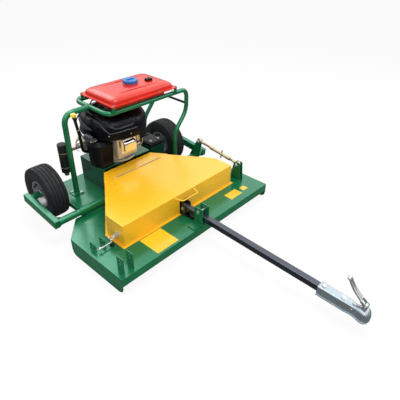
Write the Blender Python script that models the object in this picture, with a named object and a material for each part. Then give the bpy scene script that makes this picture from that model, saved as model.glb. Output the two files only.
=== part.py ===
"""Tow-behind finishing mower, built as an assembly of separate pieces.

Metres, +Z up. The tow bar points along -Y and the width runs along X. The pieces are laid out in
deck coordinates: y = 0 at the deck's front edge, z = 0 on top of the deck plate. One empty, the
datum, then stands the whole machine on its runners and wheels with z = 0 on the ground.
"""

import math

import bmesh
import bpy
from mathutils import Matrix, Vector

# Clearances
TOUCH = 0.0003
WELD_DISTANCE = 0.000004
RUNNING = 0.0008
LOOSE = 0.002

# Deck
DECK_WIDTH = 1.25
DECK_DEPTH = 0.449
DECK_PLATE = 0.004
CORNER_CUT_X = 0.125
CORNER_CUT_Y = 0.142
PLATFORM_WIDTH = 0.86
PLATFORM_LENGTH = 0.414
PLATFORM_CORNER = 0.02
PLATFORM_EDGE = 0.030
SKIRT_PLATE = 0.004
FRONT_SKIRT = 0.053
SIDE_SKIRT = 0.105
RUNNER_NOSE = 0.032
BAFFLE_DEPTH = 0.06

# Lug plates at the left of the deck
LUG_PLATE = 0.005
LUG_WIDTH = 0.052
LUG_FRONT_HEIGHT = 0.095
LUG_REAR_HEIGHT = 0.045
LUG_SPACING = 0.060
LUG_EDGE = 0.037
LUG_FRONT_Y = 0.050
LUG_REAR_Y = 0.287
LUG_HOLE = 0.006

# Height gear
PIPE_Y = 0.597
PIPE_RADIUS = 0.0212
PIPE_WALL = 0.0035
PIPE_SIDES = 16
SLEEVE_WALL = 0.0045
SLEEVE_LENGTH = 0.92
ARM_THICK = 0.035
ARM_HEIGHT = 0.052
ARM_RISE = 0.008
ARM_NOSE = 0.026
ARM_TAIL = 0.028
ARM_TYRE_GAP = 0.043
WEB_REACH = 0.034
WHEEL_TRAIL = 0.288
AXLE_RADIUS = 0.0125
AXLE_BOSS_RADIUS = 0.020

# Wheels
WHEEL_CENTRE_X = 0.502
TYRE_RADIUS = 0.168
TYRE_WIDTH = 0.120
TYRE_WALL = 0.009
RIM_RADIUS = 0.076
RIM_WIDTH = 0.092
RIM_SHEET = 0.003
RIM_FLANGE = 0.009
RIM_WELL = 0.016
HUB_RADIUS = 0.027
HUB_LENGTH = 0.096
WHEEL_SIDES = 24
AXLE_NUT_WIDTH = 0.010

# Turnbuckle and its crank
LINK_X = 0.540
LINK_FRONT_Y = 0.190
LINK_FRONT_Z = 0.115
CRANK_FORWARD = 0.049
CRANK_HEIGHT = 0.138
CRANK_PLATE = 0.006
LINK_PIN_RADIUS = 0.007
LINK_EYE_RADIUS = 0.019
LINK_EYE_WIDTH = 0.018
LINK_ROD_RADIUS = 0.008
LINK_SLEEVE_RADIUS = 0.0125
LINK_SLEEVE_LENGTH = 0.180
LINK_SLEEVE_START = 0.075
LINK_EYE_PLAY = 0.0035
LINK_SOCKET = 0.060
FORK_PLATE = 0.006
FORK_BASE = 0.090
FORK_TOP = 0.050

# Belt cover
COVER_FRONT_Y = 0.185
COVER_WIDTH = 0.916
COVER_SIDE = 0.145
COVER_REAR_Y = 0.700
COVER_REAR_WIDTH = 0.386
COVER_HEIGHT = 0.140
COVER_SHEET = 0.003
COVER_FLANGE = 0.015
SEAM_Y = 0.600
SEAM_GAP = 0.0015
LID_NOTCH_WIDTH = 0.078
LID_NOTCH_HEIGHT = 0.088
HINGE_PIN_RADIUS = 0.003
HINGE_LENGTH = 0.400
HANDLE_SPAN = 0.155
HANDLE_REACH = 0.040
HANDLE_RADIUS = 0.0035
HANDLE_CENTRE_X = 0.012
HANDLE_DROP = 0.016

# Swing bolts that hold the lid
SWING_BOLT_Y = 0.245
SWING_BOLT_PIVOT_X = 0.497
SWING_BOLT_Z = 0.022
SWING_BOLT_LENGTH = 0.086
SWING_BOLT_RADIUS = 0.004
KEEPER_HEIGHT = 0.050

# Tow bar
TOW_PIVOT_Y = 0.165
TOW_PIVOT_Z = 0.046
TOW_DROOP_DEGREES = 1.9
BAR_SIZE = 0.036
BAR_WALL = 0.003
BAR_CORNER = 0.004
BAR_TAIL = 0.022
BAR_LENGTH = 1.070
TOW_PIN_RADIUS = 0.006
TOW_PLATE = 0.006
TOW_PLATE_GAP = 0.048
TOW_PLATE_WIDTH = 0.065
TOW_PLATE_HEIGHT = 0.112
TOW_PLATE_Y = 0.004
TOW_BASE_THICK = 0.006
TOW_BASE_REACH = 0.092
STOP_BOLT_Y = 0.035
STOP_BOLT_Z = 0.084
TOW_HOLE_RADIUS = 0.0055
TOW_HOLE_PITCH = 0.022
TOW_HOLE_ROWS = 4

# Ball coupling
COUPLING_LENGTH = 0.262
COUPLING_OVERLAP = 0.145
COUPLING_WALL = 0.004
COUPLING_WIDTH = 0.049
COUPLING_DROP = 0.048
COUPLING_HEAD_RADIUS = 0.033
BALL_RADIUS = 0.025
COUPLING_BOLT_PITCH = 0.100
COUPLING_BOLT = 0.006
COUPLING_BOLT_HEAD = 0.0075
LEVER_LENGTH = 0.152
LEVER_ANGLE_DEGREES = 43.0
LEVER_THICK = 0.012
LEVER_POST = 0.030
LEVER_PIVOT_FORWARD = 0.004
LEVER_PIN = 0.004

# Spindles and blades
SPINDLE_SPREAD = 0.395
SPINDLE_Y = 0.285
SPINDLE_STAGGER = 0.130
SHAFT_RADIUS = 0.0125
SHAFT_SIDES = 12
HOUSING_RADIUS = 0.034
HOUSING_FLANGE = 0.056
HOUSING_FLANGE_THICK = 0.008
HOUSING_TOP = 0.058
HOUSING_BELOW = 0.030
BLADE_LENGTH = 0.400
BLADE_WIDTH = 0.055
BLADE_THICK = 0.005
BLADE_DEPTH = 0.060

# Belts and pulleys
BELT_HIGH = 0.110
BELT_LOW = 0.078
BELT_INSIDE = 0.005
BELT_OUTSIDE = 0.003
BELT_HALF_TOP = 0.0062
BELT_HALF_BOTTOM = 0.0045
PULLEY_RADIUS = 0.050
MAIN_PULLEY_RADIUS = 0.055
PULLEY_HALF = 0.0105
PULLEY_LIP = 0.005
IDLER_X = -0.045
IDLER_Y = 0.610
IDLER_RADIUS = 0.030
IDLER_PIVOT_X = -0.120
IDLER_PIVOT_Y = 0.500
IDLER_ARM_Z = 0.083
IDLER_ARM_THICK = 0.005
IDLER_PIN = 0.006
POST_RADIUS = 0.011
SPRING_Y = 0.555
SPRING_END_X = -0.196
SPRING_RADIUS = 0.0065
SPRING_WIRE = 0.0011
SPRING_CURLS = 8
SPRING_POINTS = 8

# Engine
ENGINE_Y = 0.820
PLINTH_WIDTH = 0.384
PLINTH_BEHIND = 0.1423
PLINTH_HEIGHT = 0.165
PLINTH_PLATE = 0.005
CRANK_SHAFT_RADIUS = 0.0125
CASE_RADIUS = 0.135
CASE_HEIGHT = 0.205
CASE_SIDES = 24
COWL_RADIUS = 0.216
COWL_HEIGHT = 0.115
HEAD_WIDTH = 0.155
HEAD_DEPTH = 0.080
HEAD_HEIGHT = 0.125
HEAD_FRONT_Y = 0.664
HEAD_X = -0.022
HEAD_BASE = 0.050
HEAD_FINS = 7
VALVE_COVER_DEPTH = 0.030
AIR_BOX_X = -0.169
AIR_BOX_WIDTH = 0.126
AIR_BOX_DEPTH = 0.112
AIR_BOX_HEIGHT = 0.160
AIR_BOX_BASE = 0.190
AIR_BOX_FRONT_Y = 0.690
SILENCER_X = -0.337
SILENCER_Y = 0.905
SILENCER_RADIUS = 0.030
SILENCER_LOW = 0.125
SILENCER_LENGTH = 0.200
EXHAUST_RADIUS = 0.012
EXHAUST_Z = 0.255
CARB_X = -0.200
CARB_Y = 0.856
CARB_Z = 0.300
HOSE_Y = 0.875
HOSE_END = (CARB_X - 0.020, CARB_Y - 0.012)
HOSE_RADIUS = 0.004
DIPSTICK_TOP = (-0.298, 0.775, 0.525)
DIPSTICK_BEND = (-0.277, 0.778, 0.395)
DIPSTICK_ELBOW = (-0.250, 0.814, 0.262)
DIPSTICK_TUBE = 0.009
DIPSTICK_ROD = 0.003
DIPSTICK_DEPTH = 0.100

# Battery
BATTERY_X = 0.302
BATTERY_Y = 0.825
BATTERY_WIDTH = 0.118
BATTERY_LENGTH = 0.165
BATTERY_HEIGHT = 0.172
BATTERY_BOX_HEIGHT = 0.145
BATTERY_BOX_WALL = 0.003

# Guard frame
FRAME_TUBE = 0.0145
POST_TUBE = 0.017
RING_Z = 0.535
RING_FRONT_Y = 0.645
RING_REAR_Y = 0.972
LEG_OUT_X = 0.500
LEG_IN_X = 0.385
LEG_TOP_Z = 0.385
LEG_LOW_Z = 0.250
LEG_SHIFT = 0.010
POST_X = -0.335
POST_Y = 0.825
FOOT_SIZE = 0.072
FOOT_THICK = 0.006
FOOT_BOLT_EDGE = 0.014
BOLT_HOLE = 0.0045
BOLT_RADIUS = 0.004
BOLT_HEAD = 0.0055
BOLT_LENGTH = 0.016
RING_BEND = 0.055
BRACE_RADIUS = 0.008
BRACE_Z = 0.435

# Fuel tank
TANK_X = 0.128
TANK_Y = 0.785
TANK_LENGTH = 0.525
RING_TO_TANK = 0.0205
RING_LEFT_X = TANK_X - TANK_LENGTH / 2 - RING_TO_TANK
TANK_WIDTH = 0.338
TANK_FLANGE = 0.015
TANK_FLANGE_THICK = 0.003
TANK_CROWN = 0.047
TANK_BELLY = 0.055
TANK_CORNER = 0.045
TANK_WALL = 0.003
TANK_INSET = 0.046
TANK_BOLT_EDGE = 0.012
TANK_TAB = 0.0255
CAP_X = 0.140
CAP_Y = 0.790
CAP_RADIUS = 0.042
CAP_HEIGHT = 0.022
GAUGE_X = 0.258
GAUGE_Y = 0.752

# Values that follow from the driving sizes
GROUND = -SIDE_SKIRT
BAY_REAR_Y = DECK_DEPTH + CORNER_CUT_Y
PLATFORM_REAR_Y = BAY_REAR_Y + PLATFORM_LENGTH
SLEEVE_RADIUS = PIPE_RADIUS + RUNNING + SLEEVE_WALL
PIPE_Z = SLEEVE_RADIUS + TOUCH
AXLE_Y = PIPE_Y + WHEEL_TRAIL
AXLE_Z = GROUND + TYRE_RADIUS
ARM_INNER_X = WHEEL_CENTRE_X + TYRE_WIDTH / 2 + ARM_TYRE_GAP
PLINTH_FRONT_Y = COVER_REAR_Y + TOUCH
ENGINE_BASE = PLINTH_HEIGHT + TOUCH
CASE_TOP = ENGINE_BASE + CASE_HEIGHT
COWL_BASE = CASE_TOP + TOUCH
LINK_REAR = Vector((LINK_X, PIPE_Y - CRANK_FORWARD, PIPE_Z + CRANK_HEIGHT))
LINK_FRONT = Vector((LINK_X, LINK_FRONT_Y, LINK_FRONT_Z))
NOSE_REACH = BAR_LENGTH - BAR_TAIL - COUPLING_OVERLAP + COUPLING_LENGTH
TAIL_Y = AXLE_Y + TYRE_RADIUS
NOSE_Y = TOW_PIVOT_Y - NOSE_REACH * math.cos(math.radians(TOW_DROOP_DEGREES))
CENTRE_Y = (TAIL_Y + NOSE_Y) / 2
TANK_SEAT = RING_Z + FRAME_TUBE + TANK_TAB

# Colours: base colour, roughness, metallic
GREEN = ((0.015, 0.150, 0.058), 0.35, 0.0)
DARK_GREEN = ((0.008, 0.075, 0.035), 0.45, 0.0)
YELLOW = ((0.90, 0.56, 0.035), 0.35, 0.0)
RED = ((0.75, 0.035, 0.018), 0.30, 0.0)
BLUE = ((0.05, 0.18, 0.60), 0.40, 0.0)
BLACK = ((0.010, 0.011, 0.013), 0.45, 0.0)
RUBBER = ((0.018, 0.020, 0.022), 0.80, 0.0)
STEEL = ((0.55, 0.56, 0.57), 0.35, 1.0)
ZINC = ((0.62, 0.64, 0.64), 0.42, 0.9)
BRASSY = ((0.62, 0.58, 0.42), 0.40, 0.8)
ALLOY = ((0.66, 0.64, 0.60), 0.45, 0.7)


def clear_scene():
    for item in list(bpy.data.objects):
        bpy.data.objects.remove(item, do_unlink=True)


def shape(bm):
    """A temporary mesh object from a bmesh, with its faces turned outwards."""
    bmesh.ops.recalc_face_normals(bm, faces=bm.faces)
    mesh = bpy.data.meshes.new("shape")
    bm.to_mesh(mesh)
    bm.free()
    item = bpy.data.objects.new("shape", mesh)
    bpy.context.scene.collection.objects.link(item)
    return item


def prism(points, low, high, axis="Z"):
    """A straight prism: points are (x, y), (y, z) or (x, z) for the axes Z, X and Y."""
    place = {
        "Z": lambda a, b, c: (a, b, c),
        "X": lambda a, b, c: (c, a, b),
        "Y": lambda a, b, c: (a, c, b),
    }[axis]
    bm = bmesh.new()
    rings = []
    for height in (low, high):
        rings.append([bm.verts.new(place(a, b, height)) for a, b in points])
    count = len(points)
    bm.faces.new(rings[0])
    bm.faces.new(rings[1])
    for i in range(count):
        j = (i + 1) % count
        bm.faces.new((rings[0][i], rings[0][j], rings[1][j], rings[1][i]))
    return shape(bm)


def block(x, y, z):
    """A box from three (low, high) pairs."""
    return prism([(x[0], y[0]), (x[1], y[0]), (x[1], y[1]), (x[0], y[1])], z[0], z[1])


def centred(middle, size):
    return (middle - size / 2, middle + size / 2)


def rounded(x, y, radius, steps=4):
    """A rectangle's outline with round corners, from two (low, high) pairs."""
    corners = [
        (x[1] - radius, y[1] - radius, 0),
        (x[0] + radius, y[1] - radius, 90),
        (x[0] + radius, y[0] + radius, 180),
        (x[1] - radius, y[0] + radius, 270),
    ]
    points = []
    for cx, cy, start in corners:
        for i in range(steps + 1):
            angle = math.radians(start + 90 * i / steps)
            points.append((cx + radius * math.cos(angle), cy + radius * math.sin(angle)))
    return points


def turned(profile, origin, direction, sides=32):
    """Turns (distance along the axis, radius) points round a line; a closed profile makes a ring."""
    bm = bmesh.new()
    turn = Vector((0, 0, 1)).rotation_difference(Vector(direction).normalized()).to_matrix()
    on_axis = [radius < 1e-7 for _, radius in profile]
    rings = []
    for (along, radius), point in zip(profile, on_axis):
        if point:
            rings.append([bm.verts.new(turn @ Vector((0, 0, along)) + Vector(origin))])
            continue
        ring = []
        for i in range(sides):
            angle = 2 * math.pi * i / sides
            spot = Vector((radius * math.cos(angle), radius * math.sin(angle), along))
            ring.append(bm.verts.new(turn @ spot + Vector(origin)))
        rings.append(ring)
    count = len(profile)
    for k in range(count):
        a = rings[k]
        b = rings[(k + 1) % count]
        if len(a) == 1 and len(b) == 1:
            continue
        for i in range(sides):
            j = (i + 1) % sides
            corners = [a[i % len(a)], a[j % len(a)], b[j % len(b)], b[i % len(b)]]
            face = list(dict.fromkeys(corners))
            bm.faces.new(face)
    return shape(bm)


def rod(start, end, radius, sides=12):
    start = Vector(start)
    length = (Vector(end) - start).length
    profile = [(0, 0), (0, radius), (length, radius), (length, 0)]
    return turned(profile, start, Vector(end) - start, sides)


def pipe(start, end, outer, inner, sides=32):
    start = Vector(start)
    length = (Vector(end) - start).length
    profile = [(0, inner), (0, outer), (length, outer), (length, inner)]
    return turned(profile, start, Vector(end) - start, sides)


def hexagon(start, end, flats):
    return rod(start, end, flats / math.sqrt(3), 6)


def bent(points, radius, steps=6):
    """Points along straight runs whose corners are bent round arcs of one radius."""
    points = [Vector(p) for p in points]
    path = [points[0]]
    for before, corner, after in zip(points, points[1:], points[2:]):
        back = (before - corner).normalized()
        ahead = (after - corner).normalized()
        half = back.angle(ahead) / 2
        shorter = min((before - corner).length, (after - corner).length)
        reach = min(radius / math.tan(half), shorter * 0.49)
        bend = reach * math.tan(half)
        middle = corner + (back + ahead).normalized() * (bend / math.sin(half))
        first = corner + back * reach - middle
        last = corner + ahead * reach - middle
        sweep = first.angle(last)
        for i in range(steps + 1):
            t = i / steps
            spot = (first * math.sin((1 - t) * sweep) + last * math.sin(t * sweep)) / math.sin(sweep)
            path.append(middle + spot)
    path.append(points[-1])
    return path


def swept(path, radius, sides=10):
    """A round tube along a path, with filled ends."""
    curve = bpy.data.curves.new("path", "CURVE")
    curve.dimensions = "3D"
    curve.bevel_depth = radius
    curve.bevel_resolution = max(0, sides // 2 - 2)
    curve.use_fill_caps = True
    spline = curve.splines.new("POLY")
    spline.points.add(len(path) - 1)
    for point, spot in zip(spline.points, path):
        point.co = (*spot, 1)
    item = bpy.data.objects.new("shape", curve)
    bpy.context.scene.collection.objects.link(item)
    mesh = evaluated_mesh(item)
    bpy.data.objects.remove(item, do_unlink=True)
    bm = bmesh.new()
    bm.from_mesh(mesh)
    bmesh.ops.remove_doubles(bm, verts=bm.verts, dist=1e-6)
    bpy.data.meshes.remove(mesh)
    return shape(bm)


def evaluated_mesh(item):
    depsgraph = bpy.context.evaluated_depsgraph_get()
    return bpy.data.meshes.new_from_object(item.evaluated_get(depsgraph))


def weld(mesh):
    """Merges the doubled corners that a Boolean can leave."""
    bm = bmesh.new()
    bm.from_mesh(mesh)
    bmesh.ops.remove_doubles(bm, verts=bm.verts, dist=WELD_DISTANCE)
    bmesh.ops.dissolve_degenerate(bm, edges=bm.edges, dist=WELD_DISTANCE)
    bm.to_mesh(mesh)
    bm.free()


def combine(base, others, operation):
    for other in others:
        modifier = base.modifiers.new("combine", "BOOLEAN")
        modifier.operation = operation
        modifier.solver = "EXACT"
        modifier.object = other
        result = evaluated_mesh(base)
        weld(result)
        base.modifiers.clear()
        old = base.data
        base.data = result
        bpy.data.meshes.remove(old)
        bpy.data.objects.remove(other, do_unlink=True)
    return base


def cut(base, *cutters):
    return combine(base, cutters, "DIFFERENCE")


def fuse(base, *others):
    return combine(base, others, "UNION")


def gather(*items):
    """Separate solids in one object."""
    bm = bmesh.new()
    for item in items:
        bm.from_mesh(item.data)
        bpy.data.objects.remove(item, do_unlink=True)
    return shape(bm)


def eased(item, width, segments=2, angle=40):
    """Rounds the sharp edges of a shape."""
    modifier = item.modifiers.new("ease", "BEVEL")
    modifier.width = width
    modifier.segments = segments
    modifier.limit_method = "ANGLE"
    modifier.angle_limit = math.radians(angle)
    result = evaluated_mesh(item)
    item.modifiers.clear()
    old = item.data
    item.data = result
    bpy.data.meshes.remove(old)
    return item


def paint(name, finish):
    colour, roughness, metallic = finish
    material = bpy.data.materials.new(name)
    material.use_nodes = True
    shader = material.node_tree.nodes["Principled BSDF"]
    shader.inputs["Base Color"].default_value = (*colour, 1)
    shader.inputs["Roughness"].default_value = roughness
    shader.inputs["Metallic"].default_value = metallic
    return material


def finish(item, name, look, parent, origin=(0, 0, 0), smooth=True):
    """Names a shape, paints it, puts its origin on its axis and hangs it on its parent."""
    origin = Vector(origin)
    item.name = name
    item.data.name = name
    item.data.transform(Matrix.Translation(-origin))
    item.location = origin
    item.parent = parent
    item.data.materials.clear()
    item.data.materials.append(paint(name, look))
    if smooth:
        item.data.shade_smooth()
        item.data.set_sharp_from_angle(angle=math.radians(35))
    return item


def datum_empty(name, location, parent=None, tilt=0.0):
    empty = bpy.data.objects.new(name, None)
    bpy.context.scene.collection.objects.link(empty)
    empty.location = location
    empty.rotation_euler = (tilt, 0, 0)
    empty.parent = parent
    return empty


def spindle_places():
    return {
        "left": (-SPINDLE_SPREAD, SPINDLE_Y),
        "centre": (0.0, SPINDLE_Y + SPINDLE_STAGGER),
        "right": (SPINDLE_SPREAD, SPINDLE_Y),
    }


def inset(points, distance):
    """A convex outline, anticlockwise, moved inwards by a distance."""
    moved = []
    count = len(points)
    for i in range(count):
        before = Vector(points[i - 1])
        here = Vector(points[i])
        after = Vector(points[(i + 1) % count])
        first = (here - before).normalized()
        second = (after - here).normalized()
        normal_a = Vector((-first.y, first.x))
        normal_b = Vector((-second.y, second.x))
        spread = 1 + normal_a.dot(normal_b)
        moved.append(tuple(here + (normal_a + normal_b) * (distance / spread)))
    return moved


def hull_outline(circles, step=12.0, offset=0.0):
    """The loop of a belt round circles (x, y, radius) given anticlockwise."""
    count = len(circles)
    normals = []
    for i in range(count):
        ax, ay, ar = circles[i]
        bx, by, br = circles[(i + 1) % count]
        heading = math.atan2(by - ay, bx - ax)
        span = math.hypot(bx - ax, by - ay)
        normals.append(heading - math.acos((ar - br) / span))
    points = []
    for i in range(count):
        x, y, radius = circles[i]
        first = normals[i - 1]
        sweep = (normals[i] - first) % (2 * math.pi)
        parts = max(1, round(math.degrees(sweep) / step))
        for k in range(parts + 1):
            angle = first + sweep * k / parts
            reach = radius + offset
            points.append((x + reach * math.cos(angle), y + reach * math.sin(angle)))
    return points


def ring_shell(outer, inner):
    """An open shell from two stacks of outlines, bottom to top; each outline is (points, z)."""
    bm = bmesh.new()
    stacks = []
    for stack in (outer, inner):
        rings = [[bm.verts.new((x, y, z)) for x, y in points] for points, z in stack]
        for low, high in zip(rings, rings[1:]):
            for i in range(len(low)):
                j = (i + 1) % len(low)
                bm.faces.new((low[i], low[j], high[j], high[i]))
        bm.faces.new(rings[-1])
        stacks.append(rings)
    low_out = stacks[0][0]
    low_in = stacks[1][0]
    for i in range(len(low_out)):
        j = (i + 1) % len(low_out)
        bm.faces.new((low_out[i], low_out[j], low_in[j], low_in[i]))
    bmesh.ops.triangulate(bm, faces=bm.faces)
    return shape(bm)


def hex_bolt(x, y, top, length):
    """A bolt's shank, reaching down from a face at height top, and its head on that face."""
    shank = rod((x, y, top - length), (x, y, top + BOLT_HEAD / 2), BOLT_RADIUS, 6)
    head = hexagon((x, y, top - 0.001), (x, y, top + BOLT_HEAD), BOLT_RADIUS * 3.2)
    return [shank, head]


def foot_places():
    """Centres of the guard frame's three foot plates."""
    front_y = PIPE_Y + SLEEVE_RADIUS + LOOSE + FOOT_SIZE / 2
    leg_x = LEG_IN_X - LEG_SHIFT
    return [(POST_X, POST_Y), (leg_x, front_y), (leg_x, RING_REAR_Y - LEG_SHIFT)]


def foot_bolt_places():
    reach = FOOT_SIZE / 2 - FOOT_BOLT_EDGE
    return [(x + s * reach, y - s * reach) for x, y in foot_places() for s in (-1, 1)]


def tank_bolt_places():
    dx = TANK_LENGTH / 2 - TANK_BOLT_EDGE
    dy = TANK_WIDTH / 2 - TANK_BOLT_EDGE
    return [(TANK_X + i * dx, TANK_Y + j * dy) for i in (-1, 1) for j in (-1, 1)]


def deck_outline():
    half = DECK_WIDTH / 2
    back = PLATFORM_WIDTH / 2
    side = [
        (half, 0),
        (half, DECK_DEPTH),
        (half - CORNER_CUT_X, BAY_REAR_Y),
        (back, BAY_REAR_Y),
        (back, PLATFORM_REAR_Y - PLATFORM_CORNER),
        (back - PLATFORM_CORNER, PLATFORM_REAR_Y),
    ]
    return side + [(-x, y) for x, y in reversed(side)]


def strip(points, width):
    """A bent strip of plate: outer corners in order, its width added on their left."""
    inner = []
    for i in range(len(points)):
        here = Vector(points[i])
        before = Vector(points[max(i - 1, 0)])
        after = Vector(points[min(i + 1, len(points) - 1)])
        first = (here - before).normalized() if i else (after - here).normalized()
        second = (after - here).normalized() if i < len(points) - 1 else first
        normal_a = Vector((-first.y, first.x))
        normal_b = Vector((-second.y, second.x))
        inner.append(tuple(here + (normal_a + normal_b) * (width / (1 + normal_a.dot(normal_b)))))
    return list(points) + inner[::-1]


def build_deck(datum):
    """The deck plate with its welded lugs, turnbuckle bracket and idler posts; then the skirts."""
    plate = prism(deck_outline(), -DECK_PLATE, 0)
    cutters = []
    for x, y in spindle_places().values():
        cutters.append(rod((x, y, -0.1), (x, y, 0.1), HOUSING_RADIUS + LOOSE))
    for x, y in foot_bolt_places():
        cutters.append(rod((x, y, -0.1), (x, y, 0.1), BOLT_HOLE, 7))
    cut(plate, *cutters)
    outer = DECK_WIDTH / 2 - LUG_EDGE
    welded = [link_bracket(), *idler_posts()]
    for x in (-outer, LUG_SPACING - outer):
        welded.append(lug(x, LUG_FRONT_Y, LUG_FRONT_HEIGHT))
        welded.append(lug(x, LUG_REAR_Y, LUG_REAR_HEIGHT))
    finish(fuse(plate, *welded), "deck_plate", GREEN, datum, smooth=False)

    low = -DECK_PLATE - TOUCH
    half = DECK_WIDTH / 2
    reach = half - SKIRT_PLATE / 2
    front = block((-reach, reach), (0.0002, SKIRT_PLATE), (-FRONT_SKIRT, low - 0.0002))
    holes = []
    for side in (-1, 1):
        for step in (0.029, 0.096):
            x = side * (half - step)
            holes.append(rod((x, -0.01, -0.024), (x, 0.02, -0.024), LUG_HOLE, 6))
    runner = [
        (0, low),
        (0, -SIDE_SKIRT + RUNNER_NOSE),
        (RUNNER_NOSE * 0.3, -SIDE_SKIRT + RUNNER_NOSE * 0.3),
        (RUNNER_NOSE, -SIDE_SKIRT),
        (DECK_DEPTH - RUNNER_NOSE, -SIDE_SKIRT),
        (DECK_DEPTH, -SIDE_SKIRT + RUNNER_NOSE),
        (DECK_DEPTH, low),
    ]
    left = prism(runner, -half, -half + SKIRT_PLATE, "X")
    right = prism(runner, half - SKIRT_PLATE, half, "X")
    bay_rear = [
        (half, DECK_DEPTH - SKIRT_PLATE / 2),
        (half, DECK_DEPTH),
        (half - CORNER_CUT_X, BAY_REAR_Y),
        (-half + CORNER_CUT_X, BAY_REAR_Y),
        (-half, DECK_DEPTH),
        (-half, DECK_DEPTH - SKIRT_PLATE / 2),
    ]
    baffle = prism(strip(bay_rear, SKIRT_PLATE), -BAFFLE_DEPTH, low - 0.0001)
    back = PLATFORM_WIDTH / 2
    edge = [
        (back, BAY_REAR_Y - SKIRT_PLATE / 2),
        (back, PLATFORM_REAR_Y - PLATFORM_CORNER),
        (back - PLATFORM_CORNER, PLATFORM_REAR_Y),
        (-back + PLATFORM_CORNER, PLATFORM_REAR_Y),
        (-back, PLATFORM_REAR_Y - PLATFORM_CORNER),
        (-back, BAY_REAR_Y - SKIRT_PLATE / 2),
    ]
    rim = prism(strip(edge, SKIRT_PLATE), low - PLATFORM_EDGE, low - 0.0003)
    skirts = fuse(left, right, front, baffle, rim)
    finish(cut(skirts, *holes), "deck_skirts", GREEN, datum, smooth=False)


def lug(x, y, height):
    plate = block(centred(x, LUG_PLATE), centred(y, LUG_WIDTH), (-DECK_PLATE / 2, height))
    hole_z = height - 2.6 * LUG_HOLE
    return cut(plate, rod((x - 0.02, y, hole_z), (x + 0.02, y, hole_z), LUG_HOLE, 6))


def idler_posts():
    low = -DECK_PLATE / 2
    pivot_top = IDLER_ARM_Z - IDLER_ARM_THICK / 2 - TOUCH
    steps = [
        (low, 0),
        (low, POST_RADIUS),
        (pivot_top, POST_RADIUS),
        (pivot_top, IDLER_PIN),
        (BELT_HIGH, IDLER_PIN),
        (BELT_HIGH, 0),
    ]
    pivot = turned(steps, (IDLER_PIVOT_X, IDLER_PIVOT_Y, 0), (0, 0, 1), 12)
    anchor_top = IDLER_ARM_Z + SPRING_RADIUS + LOOSE
    anchor = rod((SPRING_END_X, SPRING_Y, low), (SPRING_END_X, SPRING_Y, anchor_top), IDLER_PIN, 8)
    return [pivot, anchor]


def build_sleeve(datum):
    half = SLEEVE_LENGTH / 2
    profile = [
        (-half, PIPE_RADIUS + RUNNING),
        (-half, SLEEVE_RADIUS),
        (half, SLEEVE_RADIUS),
        (half, PIPE_RADIUS + RUNNING),
    ]
    sleeve = turned(profile, (0, PIPE_Y, PIPE_Z), (1, 0, 0), PIPE_SIDES)
    finish(sleeve, "axle_sleeve", GREEN, datum)


def lozenge(start, start_radius, end, end_radius, step=30.0):
    circles = [(*start, start_radius), (*end, end_radius)]
    return hull_outline(circles, step)


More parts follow.
